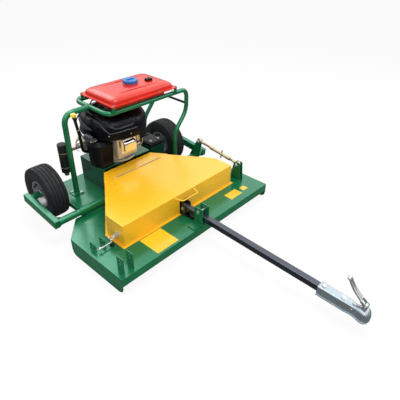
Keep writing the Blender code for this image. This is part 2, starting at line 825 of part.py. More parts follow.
def build_height_gear(arms):
    """Torsion pipe, wheel arms with stub axles, and the crank: all turn about the pipe."""
    pivot = (0, PIPE_Y, PIPE_Z)
    inner = ARM_INNER_X - TOUCH
    ends = ((-inner, PIPE_Y, PIPE_Z), (inner, PIPE_Y, PIPE_Z))
    tube = pipe(*ends, PIPE_RADIUS, PIPE_RADIUS - PIPE_WALL, PIPE_SIDES)
    finish(tube, "torsion_pipe", GREEN, arms, pivot)

    nose = Vector((PIPE_Y, PIPE_Z + ARM_RISE))
    tail = Vector((AXLE_Y, AXLE_Z))
    along = (tail - nose).normalized()
    up = Vector((-along.y, along.x)) * (ARM_HEIGHT / 2)
    outline = [
        nose - along * ARM_NOSE - up,
        tail + along * ARM_TAIL - up,
        tail + along * ARM_TAIL + up,
        nose - along * ARM_NOSE + up,
    ]
    for side, name in ((-1, "left"), (1, "right")):
        x = sorted((side * ARM_INNER_X, side * (ARM_INNER_X + ARM_THICK)))
        arm = eased(prism([tuple(p) for p in outline], *x, "X"), 0.004, 1)
        boss_end = side * (WHEEL_CENTRE_X + HUB_LENGTH / 2 + RUNNING)
        root = side * (ARM_INNER_X + ARM_THICK / 2)
        axle_end = side * (WHEEL_CENTRE_X - HUB_LENGTH / 2 - AXLE_NUT_WIDTH - 2 * RUNNING)
        steps = [
            (0, 0),
            (0, AXLE_BOSS_RADIUS),
            (abs(root - boss_end), AXLE_BOSS_RADIUS),
            (abs(root - boss_end), AXLE_RADIUS),
            (abs(root - axle_end), AXLE_RADIUS),
            (abs(root - axle_end), 0),
        ]
        axle = turned(steps, (root, AXLE_Y, AXLE_Z), (-side, 0, 0), 14)
        web_y = PIPE_Y + PIPE_RADIUS + TOUCH
        web = prism(
            [
                (side * (ARM_INNER_X + 0.002), web_y),
                (side * (ARM_INNER_X - WEB_REACH), web_y),
                (side * (ARM_INNER_X + 0.002), web_y + WEB_REACH),
            ],
            *centred(PIPE_Z + ARM_RISE, LUG_PLATE),
        )
        nut_start = side * (WHEEL_CENTRE_X - HUB_LENGTH / 2 - RUNNING)
        nut_end = nut_start - side * AXLE_NUT_WIDTH
        nut = hexagon((nut_start, AXLE_Y, AXLE_Z), (nut_end, AXLE_Y, AXLE_Z), AXLE_RADIUS * 2.9)
        finish(fuse(arm, axle, nut, web), "wheel_arm_" + name, GREEN, arms, pivot)

    base = (PIPE_Y, PIPE_Z)
    top = (LINK_REAR.y, LINK_REAR.z)
    plates = []
    reach = LINK_EYE_WIDTH / 2 + RUNNING + CRANK_PLATE / 2
    for side in (-1, 1):
        outline = lozenge(base, PIPE_RADIUS + 0.012, top, LINK_PIN_RADIUS * 2)
        plates.append(prism(outline, *centred(LINK_X + side * reach, CRANK_PLATE), "X"))
    collar_x = (LINK_X - reach - 0.001, LINK_X + reach + 0.001)
    collar = rod((collar_x[0], *base), (collar_x[1], *base), PIPE_RADIUS + 0.008, PIPE_SIDES)
    pin = rod((LINK_X - reach - 0.012, *top), (LINK_X + reach + 0.012, *top), LINK_PIN_RADIUS)
    head = hexagon((LINK_X + reach + 0.004, *top), (LINK_X + reach + 0.013, *top), LINK_PIN_RADIUS * 3)
    nut = hexagon((LINK_X - reach - 0.004, *top), (LINK_X - reach - 0.013, *top), LINK_PIN_RADIUS * 3)
    crank = fuse(plates[0], plates[1], collar, pin, head, nut)
    cut(crank, rod((LINK_X - 0.05, *base), (LINK_X + 0.05, *base), PIPE_RADIUS + TOUCH, PIPE_SIDES))
    finish(crank, "height_crank", GREEN, arms, pivot)


def tyre_profile():
    """One closed loop of (distance from the wheel's middle, radius)."""
    half = TYRE_WIDTH / 2
    tread = TYRE_RADIUS
    bead = RIM_WIDTH / 2 - TOUCH
    seat = RIM_RADIUS + TOUCH
    flange = RIM_RADIUS + RIM_FLANGE + 0.0006
    side = [
        (half * 0.70, tread),
        (half * 0.93, tread - 0.015),
        (half, tread - 0.044),
        (bead - 0.001, flange),
        (bead - 0.001, seat),
        (bead - TYRE_WALL * 1.3, seat),
        (half - TYRE_WALL * 1.1, tread - 0.050),
        (half - TYRE_WALL * 1.5, tread - 0.020),
    ]
    return side + [(-a, r) for a, r in reversed(side)]


def rim_profile():
    """Rim barrel, disc and hub as one closed loop."""
    half = RIM_WIDTH / 2
    lip = half + RIM_SHEET
    top = RIM_RADIUS + RIM_FLANGE
    well = RIM_RADIUS - RIM_WELL
    disc = 0.002
    side = [
        (half, RIM_RADIUS),
        (half, top),
        (lip, top),
        (lip, RIM_RADIUS - RIM_SHEET),
        (disc, well - RIM_SHEET),
        (disc, HUB_RADIUS),
        (HUB_LENGTH / 2, HUB_RADIUS),
        (HUB_LENGTH / 2, AXLE_RADIUS + RUNNING),
    ]
    return side + [(-a, r) for a, r in reversed(side)]


def build_wheel(side, name, wheel):
    centre = (side * WHEEL_CENTRE_X, AXLE_Y, AXLE_Z)
    tyre = turned(tyre_profile(), centre, (1, 0, 0), WHEEL_SIDES)
    finish(tyre, "tyre_" + name, RUBBER, wheel, centre)
    rim = turned(rim_profile(), centre, (1, 0, 0), WHEEL_SIDES)
    finish(rim, "rim_" + name, ZINC, wheel, centre)


def link_point(distance):
    """A point on the turnbuckle's line, measured from its front pin."""
    return LINK_FRONT + (LINK_REAR - LINK_FRONT).normalized() * distance


def link_eye(centre, bore):
    x = centred(LINK_X, LINK_EYE_WIDTH)
    return pipe((x[0], centre.y, centre.z), (x[1], centre.y, centre.z), LINK_EYE_RADIUS, bore, 16)


def link_bracket():
    """Two plates on the deck with the turnbuckle's front pin through them."""
    low = -DECK_PLATE / 2
    reach = LINK_EYE_WIDTH / 2 + RUNNING + FORK_PLATE / 2
    plates = []
    for side in (-1, 1):
        outline = [
            (LINK_FRONT_Y - FORK_BASE * 0.42, low),
            (LINK_FRONT_Y + FORK_BASE * 0.58, low),
            (LINK_FRONT_Y + FORK_TOP * 0.5, LINK_FRONT_Z + 0.010),
            (LINK_FRONT_Y + FORK_TOP * 0.3, LINK_FRONT_Z + 0.018),
            (LINK_FRONT_Y - FORK_TOP * 0.5, LINK_FRONT_Z + 0.018),
        ]
        plate = prism(outline, *centred(LINK_X + side * reach, FORK_PLATE), "X")
        plates.append(plate)
    brace_x = centred(LINK_X, 2 * reach + FORK_PLATE / 2)
    brace = block(brace_x, centred(LINK_FRONT_Y + 0.005, 0.006), (low, LINK_FRONT_Z - 0.035))
    spread = reach + FORK_PLATE / 2
    line = (LINK_FRONT_Y, LINK_FRONT_Z)
    pin = rod((LINK_X - spread - 0.012, *line), (LINK_X + spread + 0.012, *line), LINK_PIN_RADIUS)
    head = hexagon((LINK_X - spread + 0.001, *line), (LINK_X - spread - 0.009, *line), LINK_PIN_RADIUS * 3)
    nut = hexagon((LINK_X + spread - 0.001, *line), (LINK_X + spread + 0.009, *line), LINK_PIN_RADIUS * 3)
    return fuse(plates[0], plates[1], brace, pin, head, nut)


def build_turnbuckle(front, sleeve, rear):
    length = (LINK_REAR - LINK_FRONT).length
    socket_end = LINK_SLEEVE_START + LINK_SOCKET
    eye = link_eye(LINK_FRONT, LINK_PIN_RADIUS + RUNNING / 2)
    stud = rod(link_point(LINK_EYE_RADIUS * 0.8), link_point(socket_end), LINK_ROD_RADIUS)
    finish(fuse(eye, stud), "link_front_end", BRASSY, front, LINK_FRONT)

    start = link_point(LINK_SLEEVE_START)
    end = link_point(LINK_SLEEVE_START + LINK_SLEEVE_LENGTH)
    barrel = pipe(start, end, LINK_SLEEVE_RADIUS, LINK_ROD_RADIUS + RUNNING, 16)
    middle = link_point(LINK_SLEEVE_START + LINK_SLEEVE_LENGTH * 0.42)
    across = (LINK_REAR - LINK_FRONT).normalized().cross(Vector((1, 0, 0)))
    bars = []
    for side in (-1, 1):
        foot = middle + across * side * (LINK_SLEEVE_RADIUS - 0.002)
        bars.append(rod(foot, foot + across * side * 0.022, 0.0045, 8))
    finish(fuse(barrel, *bars), "link_sleeve", BRASSY, sleeve, start)

    eye = link_eye(LINK_REAR, LINK_PIN_RADIUS + LINK_EYE_PLAY)
    screw_end = length - LINK_EYE_RADIUS * 0.8
    screw = rod(link_point(socket_end + 0.015), link_point(screw_end), LINK_ROD_RADIUS)
    finish(fuse(eye, screw), "link_rear_end", BRASSY, rear, LINK_REAR)


def build_tow_bracket(datum):
    spread = TOW_PLATE_GAP / 2 + TOW_PLATE / 2
    y = (TOW_PLATE_Y, TOW_PLATE_Y + TOW_PLATE_WIDTH)
    low = TOUCH + TOW_BASE_THICK / 2
    pieces = [block((-TOW_BASE_REACH, spread + TOW_PLATE), y, (TOUCH, TOUCH + TOW_BASE_THICK))]
    holes = []
    for side in (-1, 1):
        x = side * spread
        pieces.append(block(centred(x, TOW_PLATE), y, (low, TOW_PLATE_HEIGHT)))
        for row in range(TOW_HOLE_ROWS):
            hole_y = y[0] + TOW_PLATE_WIDTH * (0.3 if row % 2 else 0.48)
            hole_z = STOP_BOLT_Z - TOW_HOLE_PITCH * 2 + TOW_HOLE_PITCH * 0.75 * row
            holes.append(rod((x - 0.01, hole_y, hole_z), (x + 0.01, hole_y, hole_z), TOW_HOLE_RADIUS, 6))
    saddle = bar_underside(y[0]) - TOUCH
    pieces.append(block((-spread, spread), (y[0] + 0.001, y[0] + 0.02), (saddle - 0.004, saddle)))
    bracket = fuse(*pieces)
    stop = (STOP_BOLT_Y, STOP_BOLT_Z)
    holes.append(rod((-0.06, *stop), (0.06, *stop), TOW_PIN_RADIUS + TOUCH))
    cut(bracket, *holes)

    ear_x = BAR_SIZE / 2 + RUNNING + TOW_PLATE / 2
    ear_y = (TOW_PIVOT_Y - 0.019, TOW_PIVOT_Y + 0.019)
    foot_y = (TOW_PLATE_Y + TOW_PLATE_WIDTH / 2, ear_y[1] + 0.003)
    foot_x = (-ear_x - TOW_PLATE, ear_x + TOW_PLATE)
    ears = [block(foot_x, foot_y, (TOUCH + 0.0002, TOUCH + TOW_BASE_THICK - 0.0002))]
    for side in (-1, 1):
        ears.append(block(centred(side * ear_x, TOW_PLATE), ear_y, (low, TOW_PIVOT_Z + 0.036)))
    fuse(bracket, *ears)
    pivot = (TOW_PIVOT_Y, TOW_PIVOT_Z)
    cut(bracket, rod((-0.06, *pivot), (0.06, *pivot), TOW_PIN_RADIUS + TOUCH))
    finish(bracket, "tow_bracket", GREEN, datum, smooth=False)

    rows = (
        ("tow_stop_bolt", stop, spread + TOW_PLATE / 2),
        ("tow_pivot_bolt", pivot, ear_x + TOW_PLATE / 2),
    )
    for name, place, half in rows:
        grip = half + TOUCH
        shank = rod((-grip - 0.004, *place), (spread + 0.016, *place), TOW_PIN_RADIUS)
        head = hexagon((-grip, *place), (-grip - 0.0075, *place), TOW_PIN_RADIUS * 3)
        nut = hexagon((grip, *place), (grip + 0.0095, *place), TOW_PIN_RADIUS * 3)
        finish(fuse(shank, head, nut), name, ZINC, datum)


def bar_underside(y):
    """Height of the tilted bar's lower face over a point of the deck."""
    tilt = math.radians(TOW_DROOP_DEGREES)
    reach = TOW_PIVOT_Y - y
    return TOW_PIVOT_Z - reach * math.tan(tilt) - BAR_SIZE / 2 / math.cos(tilt)


def coupling_bolt_places():
    rear = -BAR_LENGTH + BAR_TAIL + COUPLING_OVERLAP
    return [rear - 0.022, rear - 0.022 - COUPLING_BOLT_PITCH]


def build_tow_bar(bar):
    """Laid out level from its pivot, pointing along -Y; the bar's parent gives it its droop."""
    half = BAR_SIZE / 2
    front = -BAR_LENGTH + BAR_TAIL
    tube = prism(rounded((-half, half), (-half, half), BAR_CORNER, 2), front, BAR_TAIL, "Y")
    hollow = half - BAR_WALL
    core = prism([(-hollow, -hollow), (hollow, -hollow), (hollow, hollow), (-hollow, hollow)], -2, 1, "Y")
    cutters = [core, rod((-0.05, 0, 0), (0.05, 0, 0), TOW_PIN_RADIUS + RUNNING / 2)]
    for y in coupling_bolt_places():
        cutters.append(rod((0, y, -0.05), (0, y, 0.05), COUPLING_BOLT + TOUCH))
    cut(tube, *cutters)
    finish(tube, "tow_bar", BLACK, bar)

    rear = front + COUPLING_OVERLAP
    nose = rear - COUPLING_LENGTH
    ball_y = nose + COUPLING_HEAD_RADIUS
    top = half + TOUCH + COUPLING_WALL
    bottom = top - COUPLING_DROP
    width = COUPLING_WIDTH / 2
    outline = [
        (width + 0.004, rear),
        (width + 0.004, rear - 0.006),
        (width, rear - 0.012),
        (width, front - 0.004),
        (width * 0.82, ball_y + 0.030),
        (width * 0.82, ball_y),
    ]
    outline = outline + [(-x, y) for x, y in reversed(outline)]
    body = eased(prism(outline, bottom, top), 0.0015, 1)
    head = rod((0, ball_y, bottom), (0, ball_y, top + 0.008), COUPLING_HEAD_RADIUS, 18)
    body = fuse(body, eased(head, 0.005, 1))
    inside = width - COUPLING_WALL
    channel = block((-inside, inside), (front - 0.002, rear + 0.05), (bottom - 0.05, half + TOUCH))
    socket_z = bottom + BALL_RADIUS * 0.85
    socket = turned(socket_profile(BALL_RADIUS + TOUCH, 0.02), (0, ball_y, socket_z), (0, 0, 1), 14)
    cut(body, channel, socket)
    lever_z = top + LEVER_POST
    lever_y = ball_y + LEVER_PIVOT_FORWARD
    post = block((-0.0105, 0.0105), centred(lever_y, 0.018), (top + 0.002, lever_z + 0.0085))
    eased(post, 0.002, 1)
    pin = rod((-0.019, lever_y, lever_z), (0.019, lever_y, lever_z), LEVER_PIN, 10)
    fuse(body, post, pin)
    for y in coupling_bolt_places():
        head = hexagon((0, y, top - 0.001), (0, y, top + COUPLING_BOLT_HEAD), COUPLING_BOLT * 3.2)
        shank = rod((0, y, top - 0.002), (0, y, -half - 0.014), COUPLING_BOLT)
        nut = hexagon((0, y, -half - TOUCH), (0, y, -half - 0.010), COUPLING_BOLT * 3.2)
        fuse(body, head, shank, nut)
    finish(body, "coupling_body", ZINC, bar)
    return Vector((0, lever_y, lever_z))


def socket_profile(radius, depth, steps=4):
    """A round cutter with a domed top, its dome springing at height 0."""
    points = [(-depth - radius, 0.0), (-depth - radius, radius)]
    for i in range(steps):
        angle = math.radians(90 * i / steps)
        points.append((radius * 0.9 * math.sin(angle), radius * math.cos(angle)))
    return points + [(radius * 0.9, 0.0)]


def build_coupling_lever(lever, pivot):
    """Fork, handle and hooked tip in one side outline, built round its pin."""
    slope = math.radians(LEVER_ANGLE_DEGREES)
    end = (LEVER_LENGTH * math.cos(slope), LEVER_LENGTH * math.sin(slope))
    knee = (end[0] * 0.62, end[1] * 0.52)
    slab_a = prism(lozenge((0, 0), 0.010, knee, LEVER_THICK / 2, 40), -0.0155, 0.0155, "X")
    slab_b = prism(lozenge(knee, LEVER_THICK / 2, end, LEVER_THICK * 0.55, 40), -0.0155, 0.0155, "X")
    body = fuse(slab_a, slab_b)
    relief = block((-0.012, 0.012), (-0.03, 0.034), (-0.03, 0.05))
    cut(body, relief, rod((-0.03, 0, 0), (0.03, 0, 0), LEVER_PIN + RUNNING / 2))
    body.data.transform(Matrix.Translation(pivot))
    finish(body, "coupling_lever", ZINC, lever, pivot)


def cover_outline():
    half = COVER_WIDTH / 2
    rear = COVER_REAR_WIDTH / 2
    side_end = COVER_FRONT_Y + COVER_SIDE
    return [
        (-half, COVER_FRONT_Y),
        (half, COVER_FRONT_Y),
        (half, side_end),
        (rear, COVER_REAR_Y),
        (-rear, COVER_REAR_Y),
        (-half, side_end),
    ]


def cover_part(front):
    outline = cover_outline()
    skin = prism(outline, TOUCH, COVER_HEIGHT)
    if front:
        skin = fuse(skin, prism(inset(outline, -COVER_FLANGE), TOUCH, TOUCH + COVER_SHEET))
    core = prism(inset(outline, COVER_SHEET), -0.05, COVER_HEIGHT - COVER_SHEET)
    rear_x = COVER_REAR_WIDTH / 2 - COVER_SHEET
    exit_y = (COVER_REAR_Y - 0.02, COVER_REAR_Y + 0.05)
    exit_way = block((-rear_x, rear_x), exit_y, (-0.04, COVER_HEIGHT - COVER_SHEET - 0.0001))
    axle = rod((-0.6, PIPE_Y, PIPE_Z), (0.6, PIPE_Y, PIPE_Z), SLEEVE_RADIUS + LOOSE, PIPE_SIDES)
    reach = SLEEVE_RADIUS + LOOSE
    below = block((-0.6, 0.6), (PIPE_Y - reach + 0.0001, PIPE_Y + reach - 0.0001), (-0.05, PIPE_Z))
    if front:
        other = block((-1, 1), (SEAM_Y - SEAM_GAP / 2, 2), (-1, 1))
    else:
        other = block((-1, 1), (-1, SEAM_Y + SEAM_GAP / 2), (-1, 1))
    cut(skin, core, exit_way, axle, below, other)
    return skin


def build_cover(datum, lid):
    hinge = (0, SEAM_Y, COVER_HEIGHT + HINGE_PIN_RADIUS + TOUCH)
    front = cover_part(True)
    notch_x = centred(HANDLE_CENTRE_X / 2, LID_NOTCH_WIDTH)
    cut(front, block(notch_x, (0, COVER_FRONT_Y + 0.02), (-0.01, LID_NOTCH_HEIGHT)))
    fuse(front, *keepers())
    finish(front, "belt_cover_lid", YELLOW, lid, hinge, smooth=False)
    half = HINGE_LENGTH / 2
    pin = rod((-half, *hinge[1:]), (half, *hinge[1:]), HINGE_PIN_RADIUS, 8)
    rear = cover_part(False)
    for x in (-half + 0.012, 0.0, half - 0.012):
        foot_y = (SEAM_Y + SEAM_GAP / 2 + 0.0002, SEAM_Y + 0.016)
        foot = block(centred(x, 0.020), foot_y, (COVER_HEIGHT - 0.001, COVER_HEIGHT + 0.0025))
        knuckle_z = (COVER_HEIGHT + 0.0023, hinge[2] - 0.0005)
        knuckle = block(centred(x, 0.019), (SEAM_Y - 0.0005, SEAM_Y + 0.010), knuckle_z)
        fuse(rear, foot, knuckle)
    finish(fuse(rear, pin), "belt_cover_rear", YELLOW, datum, smooth=False)

    x = centred(HANDLE_CENTRE_X, HANDLE_SPAN)
    z = COVER_HEIGHT - HANDLE_DROP
    face = COVER_FRONT_Y - TOUCH
    out = COVER_FRONT_Y - HANDLE_REACH
    root = face - 0.0022
    route = [
        (x[0], root, z),
        (x[0] + 0.022, out, z - 0.006),
        (x[1] - 0.004, out, z - 0.006),
        (x[1], root, z),
    ]
    handle = swept(bent(route, 0.010, 3), HANDLE_RADIUS, 6)
    pads = [rod((px, face, z), (px, face - 0.003, z), HANDLE_RADIUS * 2, 10) for px in x]
    finish(fuse(handle, *pads), "lid_handle", YELLOW, lid, hinge)


def keepers():
    """Slotted tabs on the lid's sides, which the swing bolts close on."""
    tabs = []
    for side in (-1, 1):
        wall = side * (COVER_WIDTH / 2 - COVER_SHEET / 2)
        plate_x = sorted((wall, wall + side * 0.0045))
        plate = block(plate_x, centred(SWING_BOLT_Y, 0.030), centred(KEEPER_HEIGHT + 0.006, 0.034))
        tab_x = sorted((wall + side * 0.001, side * (SWING_BOLT_PIVOT_X + 0.012)))
        tab = block(tab_x, centred(SWING_BOLT_Y, 0.026), centred(KEEPER_HEIGHT, 0.004))
        slot_x = sorted((side * (SWING_BOLT_PIVOT_X - 0.008), side * (SWING_BOLT_PIVOT_X + 0.03)))
        slot_y = centred(SWING_BOLT_Y, 2 * SWING_BOLT_RADIUS + 0.003)
        slot = block(slot_x, slot_y, centred(KEEPER_HEIGHT, 0.02))
        tabs.append(cut(fuse(plate, tab), slot))
    return tabs


def build_swing_bolt(side, name, body):
    pivot = Vector((side * SWING_BOLT_PIVOT_X, SWING_BOLT_Y, SWING_BOLT_Z))
    out = Vector((side, 0, 0))
    eye = pipe(pivot - Vector((0, 0.0045, 0)), pivot + Vector((0, 0.0045, 0)), 0.0075, 0.0036, 12)
    shank = rod(pivot + out * 0.0055, pivot + out * SWING_BOLT_LENGTH, SWING_BOLT_RADIUS, 8)
    start = SWING_BOLT_LENGTH - 0.016
    nut = hexagon(pivot + out * start, pivot + out * (start + 0.008), 0.013)
    bolt = fuse(eye, shank, nut)
    finish(bolt, "swing_bolt_" + name, ZINC, body, pivot)


def build_clevises(datum):
    for side, name in ((-1, "left"), (1, "right")):
        x = side * SWING_BOLT_PIVOT_X
        foot = block(centred(x, 0.018), centred(SWING_BOLT_Y, 0.026), (TOUCH, 0.006))
        ears = []
        for end in (-1, 1):
            y = SWING_BOLT_Y + end * 0.0085
            outline = lozenge((x, 0.008), 0.007, (x, SWING_BOLT_Z), 0.0065)
            ears.append(prism(outline, *centred(y, 0.006), "Y"))
        pin_y = (SWING_BOLT_Y - 0.010, SWING_BOLT_Y + 0.010)
        pin = rod((x, pin_y[0], SWING_BOLT_Z), (x, pin_y[1], SWING_BOLT_Z), 0.003, 10)
        finish(fuse(foot, *ears, pin), "bolt_clevis_" + name, BLACK, datum, smooth=False)


def pulley_points(middle, radius, hub):
    """Half of a V pulley's section, from its lower face to its upper one."""
    flank = (BELT_HALF_TOP - BELT_HALF_BOTTOM) / (BELT_OUTSIDE + BELT_INSIDE)
    rim = radius + PULLEY_LIP
    floor = radius - BELT_INSIDE - LOOSE
    at_rim = BELT_HALF_TOP + TOUCH + flank * (PULLEY_LIP - BELT_OUTSIDE)
    at_floor = BELT_HALF_BOTTOM + TOUCH - flank * LOOSE
    return [
        (middle - PULLEY_HALF, hub),
        (middle - PULLEY_HALF, rim),
        (middle - at_rim, rim),
        (middle - at_floor, floor),
        (middle + at_floor, floor),
        (middle + at_rim, rim),
        (middle + PULLEY_HALF, rim),
        (middle + PULLEY_HALF, hub),
    ]


def build_housings(datum):
    for name, (x, y) in spindle_places().items():
        bore = SHAFT_RADIUS + RUNNING
        profile = [
            (-HOUSING_BELOW, bore),
            (-HOUSING_BELOW, HOUSING_RADIUS),
            (TOUCH, HOUSING_RADIUS),
            (TOUCH, HOUSING_FLANGE),
            (TOUCH + HOUSING_FLANGE_THICK, HOUSING_FLANGE),
            (TOUCH + HOUSING_FLANGE_THICK, HOUSING_RADIUS),
            (HOUSING_TOP, HOUSING_RADIUS * 0.75),
            (HOUSING_TOP, bore),
        ]
        housing = turned(profile, (x, y, 0), (0, 0, 1), SHAFT_SIDES)
        finish(housing, "housing_" + name, DARK_GREEN, datum)


def build_spindle(name, spindle):
    x, y = spindle_places()[name]
    bottom = -BLADE_DEPTH - BLADE_THICK
    seat = -BLADE_DEPTH + TOUCH
    profile = [
        (bottom - 0.006, 0),
        (bottom - 0.006, SHAFT_RADIUS),
        (seat, SHAFT_RADIUS),
        (seat, SHAFT_RADIUS * 1.7),
        (-HOUSING_BELOW - RUNNING, SHAFT_RADIUS * 1.7),
        (-HOUSING_BELOW - RUNNING, SHAFT_RADIUS),
    ]
    profile += pulley_points(BELT_LOW, PULLEY_RADIUS, SHAFT_RADIUS)
    top = BELT_LOW + PULLEY_HALF
    if name == "centre":
        profile += pulley_points(BELT_HIGH, MAIN_PULLEY_RADIUS, SHAFT_RADIUS)
        top = BELT_HIGH + PULLEY_HALF
    profile += [(top + 0.010, SHAFT_RADIUS), (top + 0.010, 0)]
    body = turned(profile, (x, y, 0), (0, 0, 1), SHAFT_SIDES)
    nut = hexagon((x, y, bottom - TOUCH), (x, y, bottom - 0.012), SHAFT_RADIUS * 2.9)
    finish(fuse(body, nut), "spindle_" + name, STEEL, spindle, (x, y, 0))

    half = BLADE_LENGTH / 2
    wide = BLADE_WIDTH / 2
    outline = [
        (-half, -wide * 0.6),
        (-half + 0.006, -wide),
        (half - 0.006, -wide),
        (half, -wide * 0.6),
        (half, wide * 0.6),
        (half - 0.006, wide),
        (-half + 0.006, wide),
        (-half, wide * 0.6),
    ]
    blade = prism([(x + a, y + b) for a, b in outline], bottom, -BLADE_DEPTH)
    cut(blade, rod((x, y, -0.2), (x, y, 0), SHAFT_RADIUS + TOUCH, SHAFT_SIDES))
    finish(blade, "blade_" + name, STEEL, spindle, (x, y, 0), smooth=False)


def belt(circles, height):
    """A V belt: four outlines of one loop, joined into a ring."""
    rims = [
        (-BELT_INSIDE, -BELT_HALF_BOTTOM),
        (BELT_OUTSIDE, -BELT_HALF_TOP),
        (BELT_OUTSIDE, BELT_HALF_TOP),
        (-BELT_INSIDE, BELT_HALF_BOTTOM),
    ]
    bm = bmesh.new()
    loops = []
    for offset, rise in rims:
        points = hull_outline(circles, 22.5, offset)
        loops.append([bm.verts.new((x, y, height + rise)) for x, y in points])
    for k in range(4):
        a = loops[k]
        b = loops[(k + 1) % 4]
        for i in range(len(a)):
            j = (i + 1) % len(a)
            bm.faces.new((a[i], a[j], b[j], b[i]))
    return shape(bm)


def build_belts(datum):
    places = spindle_places()
    main_loop = [
        (0, ENGINE_Y, MAIN_PULLEY_RADIUS),
        (IDLER_X, IDLER_Y, IDLER_RADIUS),
        (*places["centre"], MAIN_PULLEY_RADIUS),
    ]
    finish(belt(main_loop, BELT_HIGH), "main_belt", RUBBER, datum)
    blade_loop = [(*places[name], PULLEY_RADIUS) for name in ("left", "right", "centre")]
    finish(belt(blade_loop, BELT_LOW), "blade_belt", RUBBER, datum)


def build_idler(arm, pulley):
    pivot = (IDLER_PIVOT_X, IDLER_PIVOT_Y, IDLER_ARM_Z)
    plate_z = centred(IDLER_ARM_Z, IDLER_ARM_THICK)
    outline = lozenge((IDLER_PIVOT_X, IDLER_PIVOT_Y), 0.016, (IDLER_X, IDLER_Y), 0.014)
    plate = prism(outline, *plate_z)
    share = (SPRING_Y - IDLER_PIVOT_Y) / (IDLER_Y - IDLER_PIVOT_Y)
    hook_x = IDLER_PIVOT_X + share * (IDLER_X - IDLER_PIVOT_X) - 0.012
    hook = rod((hook_x, SPRING_Y, plate_z[0]), (hook_x, SPRING_Y, plate_z[1] + 0.008), IDLER_PIN * 0.7, 12)
    stud_top = BELT_HIGH + PULLEY_HALF + 0.008
    stud = rod((IDLER_X, IDLER_Y, plate_z[0] + 0.001), (IDLER_X, IDLER_Y, stud_top), IDLER_PIN)
    body = fuse(plate, hook, stud)
    bore = rod((IDLER_PIVOT_X, IDLER_PIVOT_Y, 0), (IDLER_PIVOT_X, IDLER_PIVOT_Y, 0.2), IDLER_PIN + TOUCH)
    cut(body, bore)
    finish(body, "idler_arm", STEEL, arm, pivot)
    profile = pulley_points(BELT_HIGH, IDLER_RADIUS, IDLER_PIN + RUNNING / 2)
    wheel = turned(profile, (IDLER_X, IDLER_Y, 0), (0, 0, 1), 14)
    finish(wheel, "idler_pulley", BLACK, pulley, (IDLER_X, IDLER_Y, BELT_HIGH))
    return hook_x


def build_idler_spring(datum, hook_x):
    """One helix along X, its ends straight up to the hook and the post."""
    start = hook_x - IDLER_PIN * 0.7 - TOUCH
    end = SPRING_END_X + IDLER_PIN + TOUCH
    lead = 4 * SPRING_WIRE
    z = IDLER_ARM_Z + IDLER_ARM_THICK / 2 + SPRING_RADIUS + SPRING_WIRE + TOUCH
    coil_start = start - lead
    coil_length = coil_start - (end + lead)
    path = [(start, SPRING_Y, z)]
    count = SPRING_CURLS * SPRING_POINTS
    for i in range(count + 1):
        share = i / count
        grow = min(1.0, share * SPRING_CURLS, (1 - share) * SPRING_CURLS)
        angle = 2 * math.pi * i / SPRING_POINTS
        radius = SPRING_RADIUS * grow
        x = coil_start - coil_length * share
        path.append((x, SPRING_Y + radius * math.cos(angle), z + radius * math.sin(angle)))
    path.append((end, SPRING_Y, z))
    print("idler spring gap", round(coil_length / SPRING_CURLS - 2 * SPRING_WIRE, 5))
    finish(swept(path, SPRING_WIRE, 6), "idler_spring", STEEL, datum)


def build_engine_mount(datum):
    half = PLINTH_WIDTH / 2
    y = (PLINTH_FRONT_Y, ENGINE_Y + PLINTH_BEHIND)
    box = block((-half, half), y, (TOUCH, PLINTH_HEIGHT))
    wall = PLINTH_PLATE
    inside = block((-half + wall, half - wall), (y[0] - 0.05, y[1] - wall), (-0.05, PLINTH_HEIGHT - wall))
    cut(eased(box, 0.002, 1), inside, rod((0, ENGINE_Y, 0.1), (0, ENGINE_Y, 0.3), CRANK_SHAFT_RADIUS * 2))
    finish(box, "engine_plinth", DARK_GREEN, datum, smooth=False)


def case_clearance():
    """Cutter for what bolts against the round crankcase."""
    low = (0, ENGINE_Y, ENGINE_BASE - 0.05)
    high = (0, ENGINE_Y, CASE_TOP + 0.05)
    return rod(low, high, CASE_RADIUS + TOUCH, CASE_SIDES)


